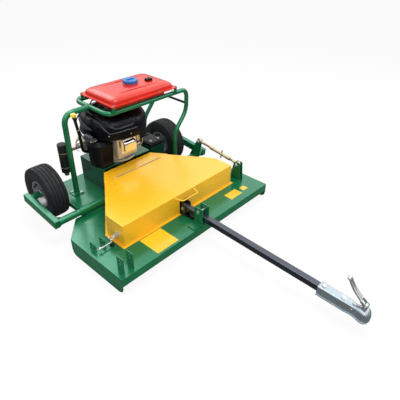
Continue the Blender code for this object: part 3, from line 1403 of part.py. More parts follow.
def build_engine(datum):
    bore = CRANK_SHAFT_RADIUS + RUNNING
    profile = [
        (0, bore),
        (0, CASE_RADIUS * 0.97),
        (0.012, CASE_RADIUS * 0.97),
        (0.016, CASE_RADIUS * 0.86),
        (0.050, CASE_RADIUS * 0.86),
        (0.060, CASE_RADIUS),
        (CASE_HEIGHT - 0.006, CASE_RADIUS),
        (CASE_HEIGHT - 0.006, COWL_RADIUS - 0.002),
        (CASE_HEIGHT, COWL_RADIUS - 0.002),
        (CASE_HEIGHT, bore),
    ]
    case = turned(profile, (0, ENGINE_Y, ENGINE_BASE), (0, 0, 1), CASE_SIDES)
    tube_end = Vector(DIPSTICK_TOP)
    elbow = DIPSTICK_ELBOW
    route = [(-CASE_RADIUS * 0.7, elbow[1], elbow[2] - 0.01), elbow, DIPSTICK_BEND, tuple(tube_end)]
    tube = swept(bent(route, 0.04, 3), DIPSTICK_TUBE, 8)
    case = fuse(case, tube)
    way = dipstick_way()
    cut(case, rod(tube_end - way * DIPSTICK_DEPTH, tube_end + way * 0.02, DIPSTICK_ROD + RUNNING, 8))
    finish(case, "crankcase", ALLOY, datum)

    width = HEAD_WIDTH / 2
    z = (ENGINE_BASE + HEAD_BASE, ENGINE_BASE + HEAD_BASE + HEAD_HEIGHT)
    y = (HEAD_FRONT_Y, HEAD_FRONT_Y + HEAD_DEPTH)
    head = block((HEAD_X - width, HEAD_X + width), y, z)
    slots = []
    pitch = HEAD_HEIGHT / (HEAD_FINS + 1)
    for i in range(HEAD_FINS):
        level = centred(z[0] + pitch * (i + 1), pitch * 0.45)
        for side in (-1, 1):
            edge = HEAD_X + side * width
            slots.append(block(centred(edge, 0.024), (y[0] + 0.012, y[1] + 0.02), level))
    cut(head, gather(*slots), case_clearance())
    finish(head, "cylinder_head", ALLOY, datum, smooth=False)

    lid_y = (HEAD_FRONT_Y - VALVE_COVER_DEPTH, HEAD_FRONT_Y - TOUCH)
    lid = block(centred(HEAD_X + 0.010, HEAD_WIDTH * 0.75), lid_y, (z[0] + 0.022, z[1] - 0.004))
    finish(eased(lid, 0.007, 2), "valve_cover", STEEL, datum)

    cowl = [
        (0, COWL_RADIUS - 0.003),
        (0, COWL_RADIUS),
        (COWL_HEIGHT * 0.60, COWL_RADIUS - 0.004),
        (COWL_HEIGHT * 0.86, COWL_RADIUS * 0.90),
        (COWL_HEIGHT, COWL_RADIUS * 0.72),
        (COWL_HEIGHT, 0),
        (COWL_HEIGHT - 0.003, 0),
        (COWL_HEIGHT - 0.003, COWL_RADIUS * 0.71),
        (COWL_HEIGHT * 0.85, COWL_RADIUS * 0.88),
        (COWL_HEIGHT * 0.59, COWL_RADIUS - 0.007),
    ]
    body = turned(cowl, (0, ENGINE_Y, COWL_BASE), (0, 0, 1), CASE_SIDES)
    finish(body, "engine_cowl", BLACK, datum)

    x = centred(AIR_BOX_X, AIR_BOX_WIDTH)
    y = (AIR_BOX_FRONT_Y, AIR_BOX_FRONT_Y + AIR_BOX_DEPTH)
    z = (AIR_BOX_BASE, AIR_BOX_BASE + AIR_BOX_HEIGHT)
    box = eased(prism(rounded(x, y, 0.015, 3), *z), 0.008, 2, 60)
    finish(cut(box, case_clearance()), "air_box", BLACK, datum)


def build_intake_and_exhaust(datum):
    low = CARB_Z - 0.030
    body = block(centred(CARB_X, 0.055), centred(CARB_Y, 0.045), (low, CARB_Z + 0.022))
    bowl = rod((CARB_X, CARB_Y, low - 0.028), (CARB_X, CARB_Y, low + 0.004), 0.021, 14)
    throat = rod((CARB_X, CARB_Y, CARB_Z), (0, CARB_Y, CARB_Z), 0.017, 14)
    spigot = rod((*HOSE_END, CARB_Z + 0.01), (*HOSE_END, CARB_Z + 0.032), 0.0035, 8)
    carburettor = fuse(eased(body, 0.004, 1), bowl, throat, spigot)
    finish(cut(carburettor, case_clearance()), "carburettor", ALLOY, datum)

    top = SILENCER_LOW + SILENCER_LENGTH
    shell = [
        (0, 0),
        (0, SILENCER_RADIUS - 0.006),
        (0.006, SILENCER_RADIUS),
        (SILENCER_LENGTH - 0.006, SILENCER_RADIUS),
        (SILENCER_LENGTH, SILENCER_RADIUS - 0.006),
        (SILENCER_LENGTH, 0),
    ]
    can = turned(shell, (SILENCER_X, SILENCER_Y, SILENCER_LOW), (0, 0, 1), 16)
    mouth_low = (SILENCER_X, SILENCER_Y, SILENCER_LOW - 0.022)
    mouth_high = (SILENCER_X, SILENCER_Y, SILENCER_LOW + 0.004)
    mouth = pipe(mouth_low, mouth_high, 0.015, 0.012, 14)
    route = [
        (-CASE_RADIUS * 0.5, ENGINE_Y + 0.06, EXHAUST_Z),
        (-CASE_RADIUS - 0.07, ENGINE_Y + 0.10, EXHAUST_Z),
        (SILENCER_X + 0.01, SILENCER_Y, top - 0.06),
    ]
    feed = swept(bent(route, 0.05, 3), EXHAUST_RADIUS, 8)
    silencer = fuse(can, mouth, feed)
    finish(cut(silencer, case_clearance()), "silencer", BLACK, datum)

    outlet = TANK_X - TANK_LENGTH / 2 + TANK_INSET + 0.0008
    route = [
        (outlet, HOSE_Y, 0.548),
        (outlet - 0.012, HOSE_Y, 0.547),
        (RING_LEFT_X + 0.033, HOSE_Y, 0.528),
        (RING_LEFT_X - 0.003, HOSE_Y, 0.509),
        (RING_LEFT_X - 0.050, HOSE_Y, 0.486),
        (-0.236, HOSE_Y - 0.006, 0.440),
        (HOSE_END[0] - 0.008, HOSE_END[1] + 0.008, 0.380),
        (*HOSE_END, CARB_Z + 0.050),
        (*HOSE_END, CARB_Z + 0.032 + 2 * TOUCH),
    ]
    finish(swept(smooth_route(route), HOSE_RADIUS, 6), "fuel_hose", BLACK, datum)


def smooth_route(points, steps=3):
    """Points of a smooth curve through the route's own points."""
    points = [Vector(p) for p in points]
    ends = [points[0] * 2 - points[1], *points, points[-1] * 2 - points[-2]]
    path = []
    for a, b, c, d in zip(ends, ends[1:], ends[2:], ends[3:]):
        for k in range(steps):
            t = k / steps
            square = (2 * a - 5 * b + 4 * c - d) * t * t
            cube = (3 * b - a - 3 * c + d) * t**3
            path.append(b + ((c - a) * t + square + cube) / 2)
    path.append(points[-1])
    return path


def build_crankshaft(crank):
    top = COWL_BASE + 0.035
    low = BELT_HIGH - PULLEY_HALF - 0.012
    profile = [(low, 0), (low, CRANK_SHAFT_RADIUS)]
    profile += pulley_points(BELT_HIGH, MAIN_PULLEY_RADIUS, CRANK_SHAFT_RADIUS)
    profile += [(top, CRANK_SHAFT_RADIUS), (top, 0)]
    shaft = turned(profile, (0, ENGINE_Y, 0), (0, 0, 1), SHAFT_SIDES)
    finish(shaft, "engine_pulley", STEEL, crank, (0, ENGINE_Y, 0))


def dipstick_way():
    return (Vector(DIPSTICK_TOP) - Vector(DIPSTICK_BEND)).normalized()


def build_dipstick(body):
    top = Vector(DIPSTICK_TOP)
    way = dipstick_way()
    profile = [(0, 0), (0, 0.0115), (0.014, 0.0135), (0.022, 0.010), (0.022, 0)]
    cap = turned(profile, top + way * TOUCH, way, 14)
    blade = rod(top - way * (DIPSTICK_DEPTH - 0.008), top + way * 0.004, DIPSTICK_ROD, 8)
    finish(fuse(cap, blade), "dipstick", YELLOW, body, top)


def build_throttle(body):
    pivot = Vector((CARB_X + 0.012, CARB_Y, CARB_Z + 0.022))
    low = pivot.z + TOUCH
    outline = lozenge((pivot.x, pivot.y), 0.007, (pivot.x - 0.048, pivot.y + 0.018), 0.005)
    plate = prism(outline, low, low + 0.003)
    knob = rod((pivot.x, pivot.y, low), (pivot.x, pivot.y, low + 0.010), 0.005, 8)
    finish(fuse(plate, knob), "throttle_lever", STEEL, body, pivot)


def build_battery(datum):
    x = centred(BATTERY_X, BATTERY_WIDTH)
    y = centred(BATTERY_Y, BATTERY_LENGTH)
    wall = BATTERY_BOX_WALL + TOUCH
    tray = block((x[0] - wall, x[1] + wall), (y[0] - wall, y[1] + wall), (TOUCH, BATTERY_BOX_HEIGHT))
    low = TOUCH + BATTERY_BOX_WALL
    inside = block((x[0] - TOUCH, x[1] + TOUCH), (y[0] - TOUCH, y[1] + TOUCH), (low, 1))
    finish(cut(tray, inside), "battery_box", DARK_GREEN, datum, smooth=False)
    base = low + TOUCH
    case = eased(block(x, y, (base, base + BATTERY_HEIGHT)), 0.004, 1)
    posts = []
    for side in (-1, 1):
        px = BATTERY_X + side * BATTERY_WIDTH * 0.3
        py = y[0] + 0.025
        lid = base + BATTERY_HEIGHT
        posts.append(rod((px, py, lid - 0.002), (px, py, lid + 0.012), 0.008))
    finish(fuse(case, *posts), "battery", BLACK, datum)


def build_guard_frame(datum):
    ground = TOUCH + FOOT_THICK / 2
    ring = [
        (LEG_IN_X, RING_FRONT_Y, ground),
        (LEG_IN_X, RING_FRONT_Y, LEG_LOW_Z),
        (LEG_OUT_X, RING_FRONT_Y, LEG_TOP_Z),
        (LEG_OUT_X, RING_FRONT_Y, RING_Z),
        (RING_LEFT_X, RING_FRONT_Y, RING_Z),
        (RING_LEFT_X, RING_REAR_Y, RING_Z),
        (LEG_OUT_X, RING_REAR_Y, RING_Z),
        (LEG_OUT_X, RING_REAR_Y, LEG_TOP_Z),
        (LEG_IN_X, RING_REAR_Y, LEG_LOW_Z),
        (LEG_IN_X, RING_REAR_Y, ground),
    ]
    frame = swept(bent(ring, RING_BEND, 3), FRAME_TUBE, 8)
    post = [(POST_X, POST_Y, ground), (POST_X, POST_Y, RING_Z), (RING_LEFT_X, POST_Y, RING_Z)]
    pieces = [swept(bent(post, 0.070, 4), POST_TUBE, 8)]
    for x, y in foot_places():
        pieces.append(block(centred(x, FOOT_SIZE), centred(y, FOOT_SIZE), (TOUCH, TOUCH + FOOT_THICK)))
    shelf = RING_Z + FRAME_TUBE
    for x, y in tank_bolt_places():
        tab_y = centred(y, 0.030) if abs(y - RING_FRONT_Y) < 0.02 else centred(y, 0.036)
        tab_x = (RING_LEFT_X, x + 0.014) if x < TANK_X else centred(x, 0.030)
        rail = RING_FRONT_Y if y < TANK_Y else RING_REAR_Y
        low_y = min(rail, tab_y[0])
        high_y = max(rail, tab_y[1])
        pieces.append(block(tab_x, (low_y, high_y), (shelf - 0.005, TANK_SEAT)))
    fuse(frame, *pieces)
    hole = (TANK_SEAT - 0.012, TANK_SEAT + 0.02)
    cut(frame, *[rod((x, y, hole[0]), (x, y, hole[1]), BOLT_HOLE, 7) for x, y in tank_bolt_places()])
    bar = rod((LEG_OUT_X, RING_FRONT_Y, BRACE_Z), (LEG_OUT_X, RING_REAR_Y, BRACE_Z), BRACE_RADIUS, 10)
    for x, y in foot_bolt_places():
        fuse(frame, *hex_bolt(x, y, TOUCH + FOOT_THICK, BOLT_LENGTH))
    finish(fuse(frame, bar), "guard_frame", GREEN, datum)


def tank_ring(step, height):
    """The tank's outline, stepped in from its flange."""
    x = (TANK_X - TANK_LENGTH / 2 + step, TANK_X + TANK_LENGTH / 2 - step)
    y = (TANK_Y - TANK_WIDTH / 2 + step, TANK_Y + TANK_WIDTH / 2 - step)
    return rounded(x, y, TANK_CORNER if step else TANK_FLANGE, 2), height


def build_tank(datum, cap):
    low = TANK_SEAT + TOUCH
    joint = low + TANK_FLANGE_THICK
    belly = TANK_BELLY - TANK_FLANGE_THICK
    outer = [
        tank_ring(0, joint),
        tank_ring(0, low),
        tank_ring(TANK_INSET, low),
        tank_ring(TANK_INSET + 0.004, joint - belly * 0.7),
        tank_ring(TANK_INSET + 0.016, joint - TANK_BELLY),
    ]
    wall = TANK_WALL
    inner = [
        tank_ring(TANK_INSET + wall, joint),
        tank_ring(TANK_INSET + wall + 0.004, joint - belly * 0.7),
        tank_ring(TANK_INSET + wall + 0.015, joint - TANK_BELLY + wall),
    ]
    bottom = ring_shell(outer, inner)
    cut(bottom, *[rod((x, y, low - 0.05), (x, y, low + 0.05), BOLT_HOLE, 7) for x, y in tank_bolt_places()])
    finish(bottom, "fuel_tank_lower", RED, datum)

    base = joint + TOUCH
    top = base + TANK_CROWN
    outer = [
        tank_ring(0, base),
        tank_ring(0, base + TANK_FLANGE_THICK),
        tank_ring(TANK_FLANGE, base + TANK_FLANGE_THICK),
        tank_ring(TANK_FLANGE + 0.004, base + TANK_CROWN * 0.55),
        tank_ring(TANK_FLANGE + 0.012, base + TANK_CROWN * 0.80),
        tank_ring(TANK_FLANGE + 0.034, base + TANK_CROWN * 0.93),
        tank_ring(TANK_FLANGE + 0.075, top),
    ]
    inner = [
        tank_ring(TANK_FLANGE + wall, base),
        tank_ring(TANK_FLANGE + wall + 0.004, base + TANK_CROWN * 0.55 - wall),
        tank_ring(TANK_FLANGE + wall + 0.022, base + TANK_CROWN * 0.80 - wall),
        tank_ring(TANK_FLANGE + wall + 0.075, top - wall),
    ]
    upper = ring_shell(outer, inner)
    for x, y in tank_bolt_places():
        fuse(upper, *hex_bolt(x, y, base + TANK_FLANGE_THICK, BOLT_LENGTH))
    neck_top = top + 0.006
    fuse(upper, rod((CAP_X, CAP_Y, top - 0.008), (CAP_X, CAP_Y, neck_top), CAP_RADIUS * 0.86, 18))
    cut(upper, rod((CAP_X, CAP_Y, top - 0.02), (CAP_X, CAP_Y, top + 0.02), CAP_RADIUS * 0.72, 14))
    gauge_plan = rounded(centred(GAUGE_X, 0.046), centred(GAUGE_Y, 0.034), 0.008, 2)
    gauge = eased(prism(gauge_plan, top - 0.002, top + 0.010), 0.003, 1)
    finish(fuse(upper, gauge), "fuel_tank_upper", RED, datum)

    skirt = CAP_RADIUS * 0.86 + RUNNING
    profile = [
        (-0.005, skirt),
        (-0.005, CAP_RADIUS * 0.98),
        (0.004, CAP_RADIUS),
        (CAP_HEIGHT - 0.006, CAP_RADIUS * 0.98),
        (CAP_HEIGHT, CAP_RADIUS * 0.86),
        (CAP_HEIGHT, 0),
        (TOUCH, 0),
        (TOUCH, skirt),
    ]
    lid = turned(profile, (CAP_X, CAP_Y, neck_top), (0, 0, 1), 18)
    ridge_z = (neck_top + 0.010, neck_top + CAP_HEIGHT + 0.006)
    ridge = block(centred(CAP_X, CAP_RADIUS * 1.3), centred(CAP_Y, 0.012), ridge_z)
    finish(fuse(lid, ridge), "fuel_cap", BLUE, cap, (CAP_X, CAP_Y, neck_top))


def main():
    clear_scene()
    datum = datum_empty("datum", (0, -CENTRE_Y, -GROUND))
    build_deck(datum)
    build_sleeve(datum)
    build_height_gear(datum)
    for side, name in ((-1, "left"), (1, "right")):
        build_wheel(side, name, datum)
        build_swing_bolt(side, name, datum)
    build_turnbuckle(datum, datum, datum)
    build_tow_bracket(datum)
    droop = math.radians(TOW_DROOP_DEGREES)
    tilt = datum_empty("tow_pivot", (0, TOW_PIVOT_Y, TOW_PIVOT_Z), datum, droop)
    lever_pivot = build_tow_bar(tilt)
    build_coupling_lever(tilt, lever_pivot)
    build_cover(datum, datum)
    build_clevises(datum)
    build_housings(datum)
    for name in spindle_places():
        build_spindle(name, datum)
    build_belts(datum)
    hook_x = build_idler(datum, datum)
    build_idler_spring(datum, hook_x)
    build_engine_mount(datum)
    build_engine(datum)
    build_intake_and_exhaust(datum)
    build_crankshaft(datum)
    build_dipstick(datum)
    build_throttle(datum)
    build_battery(datum)
    build_guard_frame(datum)
    build_tank(datum, datum)


main()
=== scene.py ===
import math

import bmesh
import bpy
from mathutils import Matrix, Vector


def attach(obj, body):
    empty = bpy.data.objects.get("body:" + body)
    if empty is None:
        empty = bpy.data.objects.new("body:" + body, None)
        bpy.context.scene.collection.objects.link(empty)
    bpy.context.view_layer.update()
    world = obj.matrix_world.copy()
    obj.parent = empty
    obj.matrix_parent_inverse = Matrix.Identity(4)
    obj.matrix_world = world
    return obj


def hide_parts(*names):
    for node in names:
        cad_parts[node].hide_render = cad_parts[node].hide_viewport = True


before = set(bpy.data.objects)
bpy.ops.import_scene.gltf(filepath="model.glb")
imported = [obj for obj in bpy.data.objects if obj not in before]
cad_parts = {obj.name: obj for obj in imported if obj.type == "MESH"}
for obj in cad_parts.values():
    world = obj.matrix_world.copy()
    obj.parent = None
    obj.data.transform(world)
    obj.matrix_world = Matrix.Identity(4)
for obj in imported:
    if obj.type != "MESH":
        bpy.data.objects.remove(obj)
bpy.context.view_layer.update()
print("stage: frame loaded,", len(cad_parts), "nodes")

deckOrigin = Vector((0.0, -0.02682, 0.105))  # front edge and top of the deck plate, in the shared frame
gap = 0.0003
axisTurns = {  # local plan of a plate to the plane it lies in
    "Z": Matrix.Identity(3),
    "X": Matrix(((0, 0, 1), (1, 0, 0), (0, 1, 0))),
    "Y": Matrix(((1, 0, 0), (0, 0, -1), (0, 1, 0))),
}
bothSides = ((-1, "left"), (1, "right"))
up, forward = (0, 0, 1), (0, -1, 0)


def around(middle, size):
    return (middle - size / 2, middle + size / 2)


def rectangle(x, y):
    return [(x[0], y[0]), (x[1], y[0]), (x[1], y[1]), (x[0], y[1])]


def angles(count, first=0):
    # evenly spaced round a full turn
    return [2 * math.pi * (k + first) / count for k in range(count)]


def onCircle(x, y, radius, turn, *rest):
    return (x + radius * math.cos(turn), y + radius * math.sin(turn), *rest)


def mirrored(points):
    # the points and their mirror image, as one loop
    return points + [(-a, b) for a, b in reversed(points)]


def easedEdges(bm, width, segments=2, sharpest=40.0):
    bmesh.ops.recalc_face_normals(bm, faces=bm.faces)
    edges = [e for e in bm.edges if e.is_manifold and e.calc_face_angle() > math.radians(sharpest)]
    bmesh.ops.bevel(
        bm, geom=edges, offset=width, segments=segments, profile=0.5, affect="EDGES", clamp_overlap=True)
    return bm


def loft(rings, closed=False, capped=True):
    # rings of equal length, or single points, joined in order
    bm = bmesh.new()
    made = [[bm.verts.new(p) for p in ring] for ring in rings]
    pairs = list(zip(made, made[1:]))
    if closed:
        pairs.append((made[-1], made[0]))
    for a, b in pairs:
        count = max(len(a), len(b))
        for i in range(count):
            j = (i + 1) % count
            if len(a) == 1 and len(b) == 1:
                continue
            if len(a) == 1:
                bm.faces.new((a[0], b[j], b[i]))
            elif len(b) == 1:
                bm.faces.new((a[i], a[j], b[0]))
            else:
                bm.faces.new((a[i], a[j], b[j], b[i]))
    if capped and not closed:
        for ring in (made[0], made[-1]):
            if len(ring) > 2:
                bm.faces.new(ring)
    bmesh.ops.recalc_face_normals(bm, faces=bm.faces)
    return bm


def slab(x, y, z, ease=0.0007, segments=2):
    bm = loft([[(a, b, level) for a, b in rectangle(x, y)] for level in z])
    return easedEdges(bm, ease, segments) if ease else bm


def extruded(outline, low, high, axis="Z", ease=0.0, segments=2, sharpest=40.0):
    bm = loft([[(a, b, level) for a, b in outline] for level in (low, high)])
    bm.transform(axisTurns[axis].to_4x4())
    if axis == "Y":  # that turn points the plate's normal along -Y
        bm.transform(Matrix.Translation((0, low + high, 0)))
    bmesh.ops.recalc_face_normals(bm, faces=bm.faces)
    return easedEdges(bm, ease, segments, sharpest) if ease else bm


def turned(profile, centre=(0, 0, 0), direction=up, steps=48):
    # profile of (distance along, radius); it closes on itself unless it ends on the axis
    rings = []
    for along, radius in profile:
        ring = [onCircle(0, 0, radius, a, along) for a in angles(steps)]
        rings.append(ring if radius > 1e-6 else [(0, 0, along)])
    bm = loft(rings, closed=len(rings[0]) > 1, capped=False)
    spin = Vector(direction).to_track_quat("Z", "Y").to_matrix().to_4x4()
    bm.transform(Matrix.Translation(centre) @ spin)
    return bm


def band(low, high, inner, outer, centre, direction, steps, ease=0.0):
    # a washer, collar or eye
    profile = [(low, inner), (low, outer), (high, outer), (high, inner)]
    if ease:
        profile[1:3] = [
            (low, outer - ease), (low + ease, outer), (high - ease, outer), (high, outer - ease)]
    return turned(profile, centre, direction, steps)


def filleted(points, radius, steps, closed=False):
    # a path or loop with its corners rounded
    points = [Vector(p) for p in points]
    count = len(points)
    path = []
    for i, here in enumerate(points):
        if not closed and i in (0, count - 1):
            path.append(here)
            continue
        toBefore = points[i - 1] - here
        toAfter = points[(i + 1) % count] - here
        reach = min(radius, toBefore.length * 0.45, toAfter.length * 0.45)
        start = here + toBefore.normalized() * reach
        end = here + toAfter.normalized() * reach
        for k in range(steps + 1):
            t = k / steps
            path.append(start * (1 - t) ** 2 + here * 2 * t * (1 - t) + end * t**2)
    return path


def smoothed(points, steps):
    # a smooth curve through the points
    points = [Vector(p) for p in points]
    ends = [points[0] * 2 - points[1], *points, points[-1] * 2 - points[-2]]
    path = []
    for a, b, c, d in zip(ends, ends[1:], ends[2:], ends[3:]):
        for k in range(steps):
            t = k / steps
            bend = (c - a) * t + (2 * a - 5 * b + 4 * c - d) * t * t + (3 * b - a - 3 * c + d) * t**3
            path.append(b + bend / 2)
    return [*path, points[-1]]


def tube(points, radius, sides, inner=0.0):
    # a round bar along a path, or a pipe if it has an inner radius
    points = [Vector(p) for p in points]
    last = len(points) - 1
    ways = [(points[min(i + 1, last)] - points[max(i - 1, 0)]).normalized() for i in range(last + 1)]
    side = ways[0].orthogonal().normalized()
    frames = []
    for way in ways:
        side = (side - way * side.dot(way)).normalized()
        frames.append((side, way.cross(side)))

    def ring(i, size):
        a, b = frames[i]
        return [points[i] + (a * math.cos(t) + b * math.sin(t)) * size for t in angles(sides)]

    outer = [ring(i, radius) for i in range(last + 1)]
    if not inner:
        return loft(outer)
    return loft(outer + [ring(i, inner) for i in range(last, -1, -1)], closed=True)


def rod(points, radius, sides, steps=6):
    return tube(smoothed(points, steps), radius, sides)


def bar(start, end, radius, sides=24, ease=0.0):
    start, end = Vector(start), Vector(end)
    length = (end - start).length
    cut = ease or min(radius, length) * 0.08
    profile = [
        (0, 0), (0, radius - cut), (cut, radius), (length - cut, radius), (length, radius - cut),
        (length, 0)]
    return turned(profile, start, end - start, sides)


def hexagon(start, end, width):
    # nut or bolt head, chamfered at its far end
    start, end = Vector(start), Vector(end)
    length = (end - start).length
    corner = width / math.sqrt(3)
    profile = [(0, 0), (0, corner), (length * 0.82, corner), (length, corner * 0.86), (length, 0)]
    return turned(profile, start, end - start, 6)


def springWire(start, end, radius, wire, curls, points):
    # a helix whose ends come back to the middle line
    start, end = Vector(start), Vector(end)
    way = (end - start).normalized()
    side = way.orthogonal().normalized()
    other = way.cross(side)
    path = [start]
    count = curls * points
    for i in range(count + 1):
        share = i / count
        size = radius * min(1.0, share * curls, (1 - share) * curls)
        turn = 2 * math.pi * i / points
        along = start + (end - start) * (0.06 + 0.88 * share)
        path.append(along + (side * math.cos(turn) + other * math.sin(turn)) * size)
    return tube([*path, end], wire, 8)


def circlesOutline(circles, step):
    # the outline round a few circles of (x, y, radius)
    points = []
    for x, y, radius in circles:
        points += [onCircle(x, y, radius, math.radians(step * k)) for k in range(int(360 / step))]
    points = sorted(set(points))

    def half(some):
        kept = []
        for p in some:
            while len(kept) > 1:
                (ax, ay), (bx, by) = kept[-2:]
                if (bx - ax) * (p[1] - ay) - (by - ay) * (p[0] - ax) > 1e-12:
                    break
                kept.pop()
            kept.append(p)
        return kept[:-1]

    return half(points) + half(points[::-1])


def plate(outline, low, high, axis="Z", holes=(), ease=0.0006, corner=0.0):
    # a flat plate with round holes of (x, y, radius) and eased edges
    if corner:
        outline = [tuple(p)[:2] for p in filleted([(x, y, 0) for x, y in outline], corner, 3, True)]
    curve = bpy.data.curves.new("plan", "CURVE")
    curve.dimensions = "2D"
    curve.fill_mode = "BOTH"
    curve.extrude = (high - low) / 2 - ease
    curve.bevel_depth = ease
    curve.bevel_resolution = 1
    curve.offset = -ease
    for loop in [outline] + [[onCircle(*hole, turn) for turn in angles(28)] for hole in holes]:
        spline = curve.splines.new("POLY")
        spline.points.add(len(loop) - 1)
        for point, (x, y) in zip(spline.points, loop):
            point.co = (x, y, 0, 1)
        spline.use_cyclic_u = True
    bm = shapeFrom(evaluatedMesh(held("plan", curve)))
    bpy.data.curves.remove(curve)
    bmesh.ops.remove_doubles(bm, verts=bm.verts, dist=1e-6)
    middle = (low + high) / 2
    place = {"Z": (0, 0, middle), "X": (middle, 0, 0), "Y": (0, middle, 0)}[axis]
    bm.transform(Matrix.Translation(place) @ axisTurns[axis].to_4x4())
    return bm


def evaluatedMesh(holder):
    # the object's final mesh; the object itself is removed
    mesh = bpy.data.meshes.new_from_object(holder.evaluated_get(bpy.context.evaluated_depsgraph_get()))
    bpy.data.objects.remove(holder)
    return mesh


def held(name, data):
    holder = bpy.data.objects.new(name, data)
    bpy.context.scene.collection.objects.link(holder)
    return holder


def heldShape(name, bm):
    mesh = bpy.data.meshes.new(name)
    bm.to_mesh(mesh)
    bm.free()
    return held(name, mesh)


def shapeFrom(mesh):
    bm = bmesh.new()
    bm.from_mesh(mesh)
    bpy.data.meshes.remove(mesh)
    return bm


def thickened(bm, sheet, even=False):
    # an open surface given the thickness of its sheet, on the inside
    holder = heldShape("sheet", bm)
    thick = holder.modifiers.new("sheet", "SOLIDIFY")
    thick.thickness, thick.offset, thick.use_even_offset = sheet, -1.0, even
    return shapeFrom(evaluatedMesh(holder))


def moved(shapes, matrix):
    for shape in shapes:
        shape.transform(matrix)
    return shapes


def merged(shapes):
    bm = bmesh.new()
    for shape in shapes:
        part = bpy.data.meshes.new("part")
        shape.to_mesh(part)
        shape.free()
        bm.from_mesh(part)
        bpy.data.meshes.remove(part)
    return bm


def keepPiece(name, mesh, finish, body, nodes="", sharp=35.0):
    # the finished object: smooth faces, sharp corners kept, riding on its body in place of its CAD nodes
    mesh.name = name
    if not mesh.materials:  # what a tree makes has its finish already
        mesh.materials.append(finishes[finish])
    mesh.shade_smooth()
    mesh.set_sharp_from_angle(angle=math.radians(sharp))
    rough = held(name, mesh)
    weigh = rough.modifiers.new("faces", "WEIGHTED_NORMAL")
    weigh.keep_sharp = True
    final = evaluatedMesh(rough)
    final.name = name
    piece = held(name, final)
    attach(piece, body)
    if nodes:
        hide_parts(*nodes.split())


def assemble(name, shapes, finish, body="root", nodes=""):
    # shapes in deck coordinates become one piece in the shared frame
    mesh = bpy.data.meshes.new(name)
    bm = merged(moved(shapes, Matrix.Translation(deckOrigin)))
    bm.to_mesh(mesh)
    bm.free()
    keepPiece(name, mesh, finish, body, nodes)


# node trees for what repeats
def feed(tree, made, links, values):
    # a node's incoming links and fixed values
    for socket, value in (values or {}).items():
        made.inputs[socket].default_value = value
    for socket, source in (links or {}).items():
        tree.links.new(source, made.inputs[socket])
    return made


def node(tree, kind, links=None, values=None, **settings):
    made = tree.nodes.new(kind)
    for key, value in settings.items():
        setattr(made, key, value)
    return feed(tree, made, links, values)


def treeStart(name, sockets):
    tree = bpy.data.node_groups.new(name, "GeometryNodeTree")
    tree.interface.new_socket("Geometry", in_out="INPUT", socket_type="NodeSocketGeometry")
    for label, kind in sockets:
        tree.interface.new_socket(label, in_out="INPUT", socket_type="NodeSocket" + kind)
    tree.interface.new_socket("Finish", in_out="INPUT", socket_type="NodeSocketMaterial")
    tree.interface.new_socket("Geometry", in_out="OUTPUT", socket_type="NodeSocketGeometry")
    return tree, node(tree, "NodeGroupInput").outputs


def treeEnd(tree, given, points, item, way, axis):
    # the item on each point with its axis along the way, made real and given its finish
    align = node(tree, "FunctionNodeAlignRotationToVector", {"Vector": way}, axis=axis)
    placed = node(
        tree, "GeometryNodeInstanceOnPoints",
        {"Points": points, "Instance": item, "Rotation": align.outputs[0]})
    real = node(tree, "GeometryNodeRealizeInstances", {0: placed.outputs[0]})
    paint = node(
        tree, "GeometryNodeSetMaterial", {"Geometry": real.outputs[0], "Material": given["Finish"]})
    node(tree, "NodeGroupOutput", {0: paint.outputs[0]})
    return tree


def givenItem(tree, given):
    return node(
        tree, "GeometryNodeObjectInfo", {"Object": given["Item"]},
        {"As Instance": True}).outputs["Geometry"]


def makeBoltTree():
    # a washer, a chamfered six-sided head and a screw end at each point, along its "aim"
    parts = (("Washer", 20, 1.0), ("Head", 6, 0.93), ("Screw", 12, 0.85))  # name, sides, taper
    tree, given = treeStart(
        "boltRow", [(part + size, "Float") for part, _, _ in parts for size in (" radius", " height")])
    join = node(tree, "GeometryNodeJoinGeometry")
    for part, sides, taper in parts:
        radius, height = given[part + " radius"], given[part + " height"]
        top = node(tree, "ShaderNodeMath", {0: radius}, {1: taper}, operation="MULTIPLY").outputs[0]
        shape = node(
            tree, "GeometryNodeMeshCone", {"Radius Bottom": radius, "Radius Top": top, "Depth": height},
            {"Vertices": sides})
        tree.links.new(shape.outputs["Mesh"], join.inputs[0])
    aim = node(tree, "GeometryNodeInputNamedAttribute", {}, {"Name": "aim"}, data_type="FLOAT_VECTOR")
    return treeEnd(tree, given, given["Geometry"], join.outputs[0], aim.outputs[0], "Z")


def makeRingTree():
    # an item repeated round the Z axis
    tree, given = treeStart("ringOf", [("Item", "Object"), ("Count", "Int"), ("Radius", "Float")])
    circle = node(tree, "GeometryNodeMeshCircle", {"Vertices": given["Count"], "Radius": given["Radius"]})
    place = node(tree, "GeometryNodeInputPosition")
    return treeEnd(tree, given, circle.outputs[0], givenItem(tree, given), place.outputs[0], "X")


def makePathTree():
    # an item repeated along a path, its X axis on the path
    tree, given = treeStart("alongPath", [("Item", "Object"), ("Pitch", "Float")])
    curve = node(tree, "GeometryNodeMeshToCurve", {0: given["Geometry"]})
    spread = node(
        tree, "GeometryNodeResampleCurve", {"Curve": curve.outputs[0], "Length": given["Pitch"]},
        mode="LENGTH")
    tangent = node(tree, "GeometryNodeInputTangent")
    return treeEnd(tree, given, spread.outputs[0], givenItem(tree, given), tangent.outputs[0], "X")


boltTree, ringTree, pathTree = makeBoltTree(), makeRingTree(), makePathTree()


def runTree(tree, mesh, finish, inputs):
    # the tree's result as a plain mesh; the object that carried it is removed
    holder = held("holder", mesh)
    rule = holder.modifiers.new("rule", "NODES")
    rule.node_group = tree
    inputs = {**inputs, "Finish": finishes[finish]}
    for socket in tree.interface.items_tree:
        if socket.in_out == "INPUT" and socket.name in inputs:
            rule[socket.identifier] = inputs[socket.name]
    bpy.context.view_layer.update()
    return evaluatedMesh(holder)


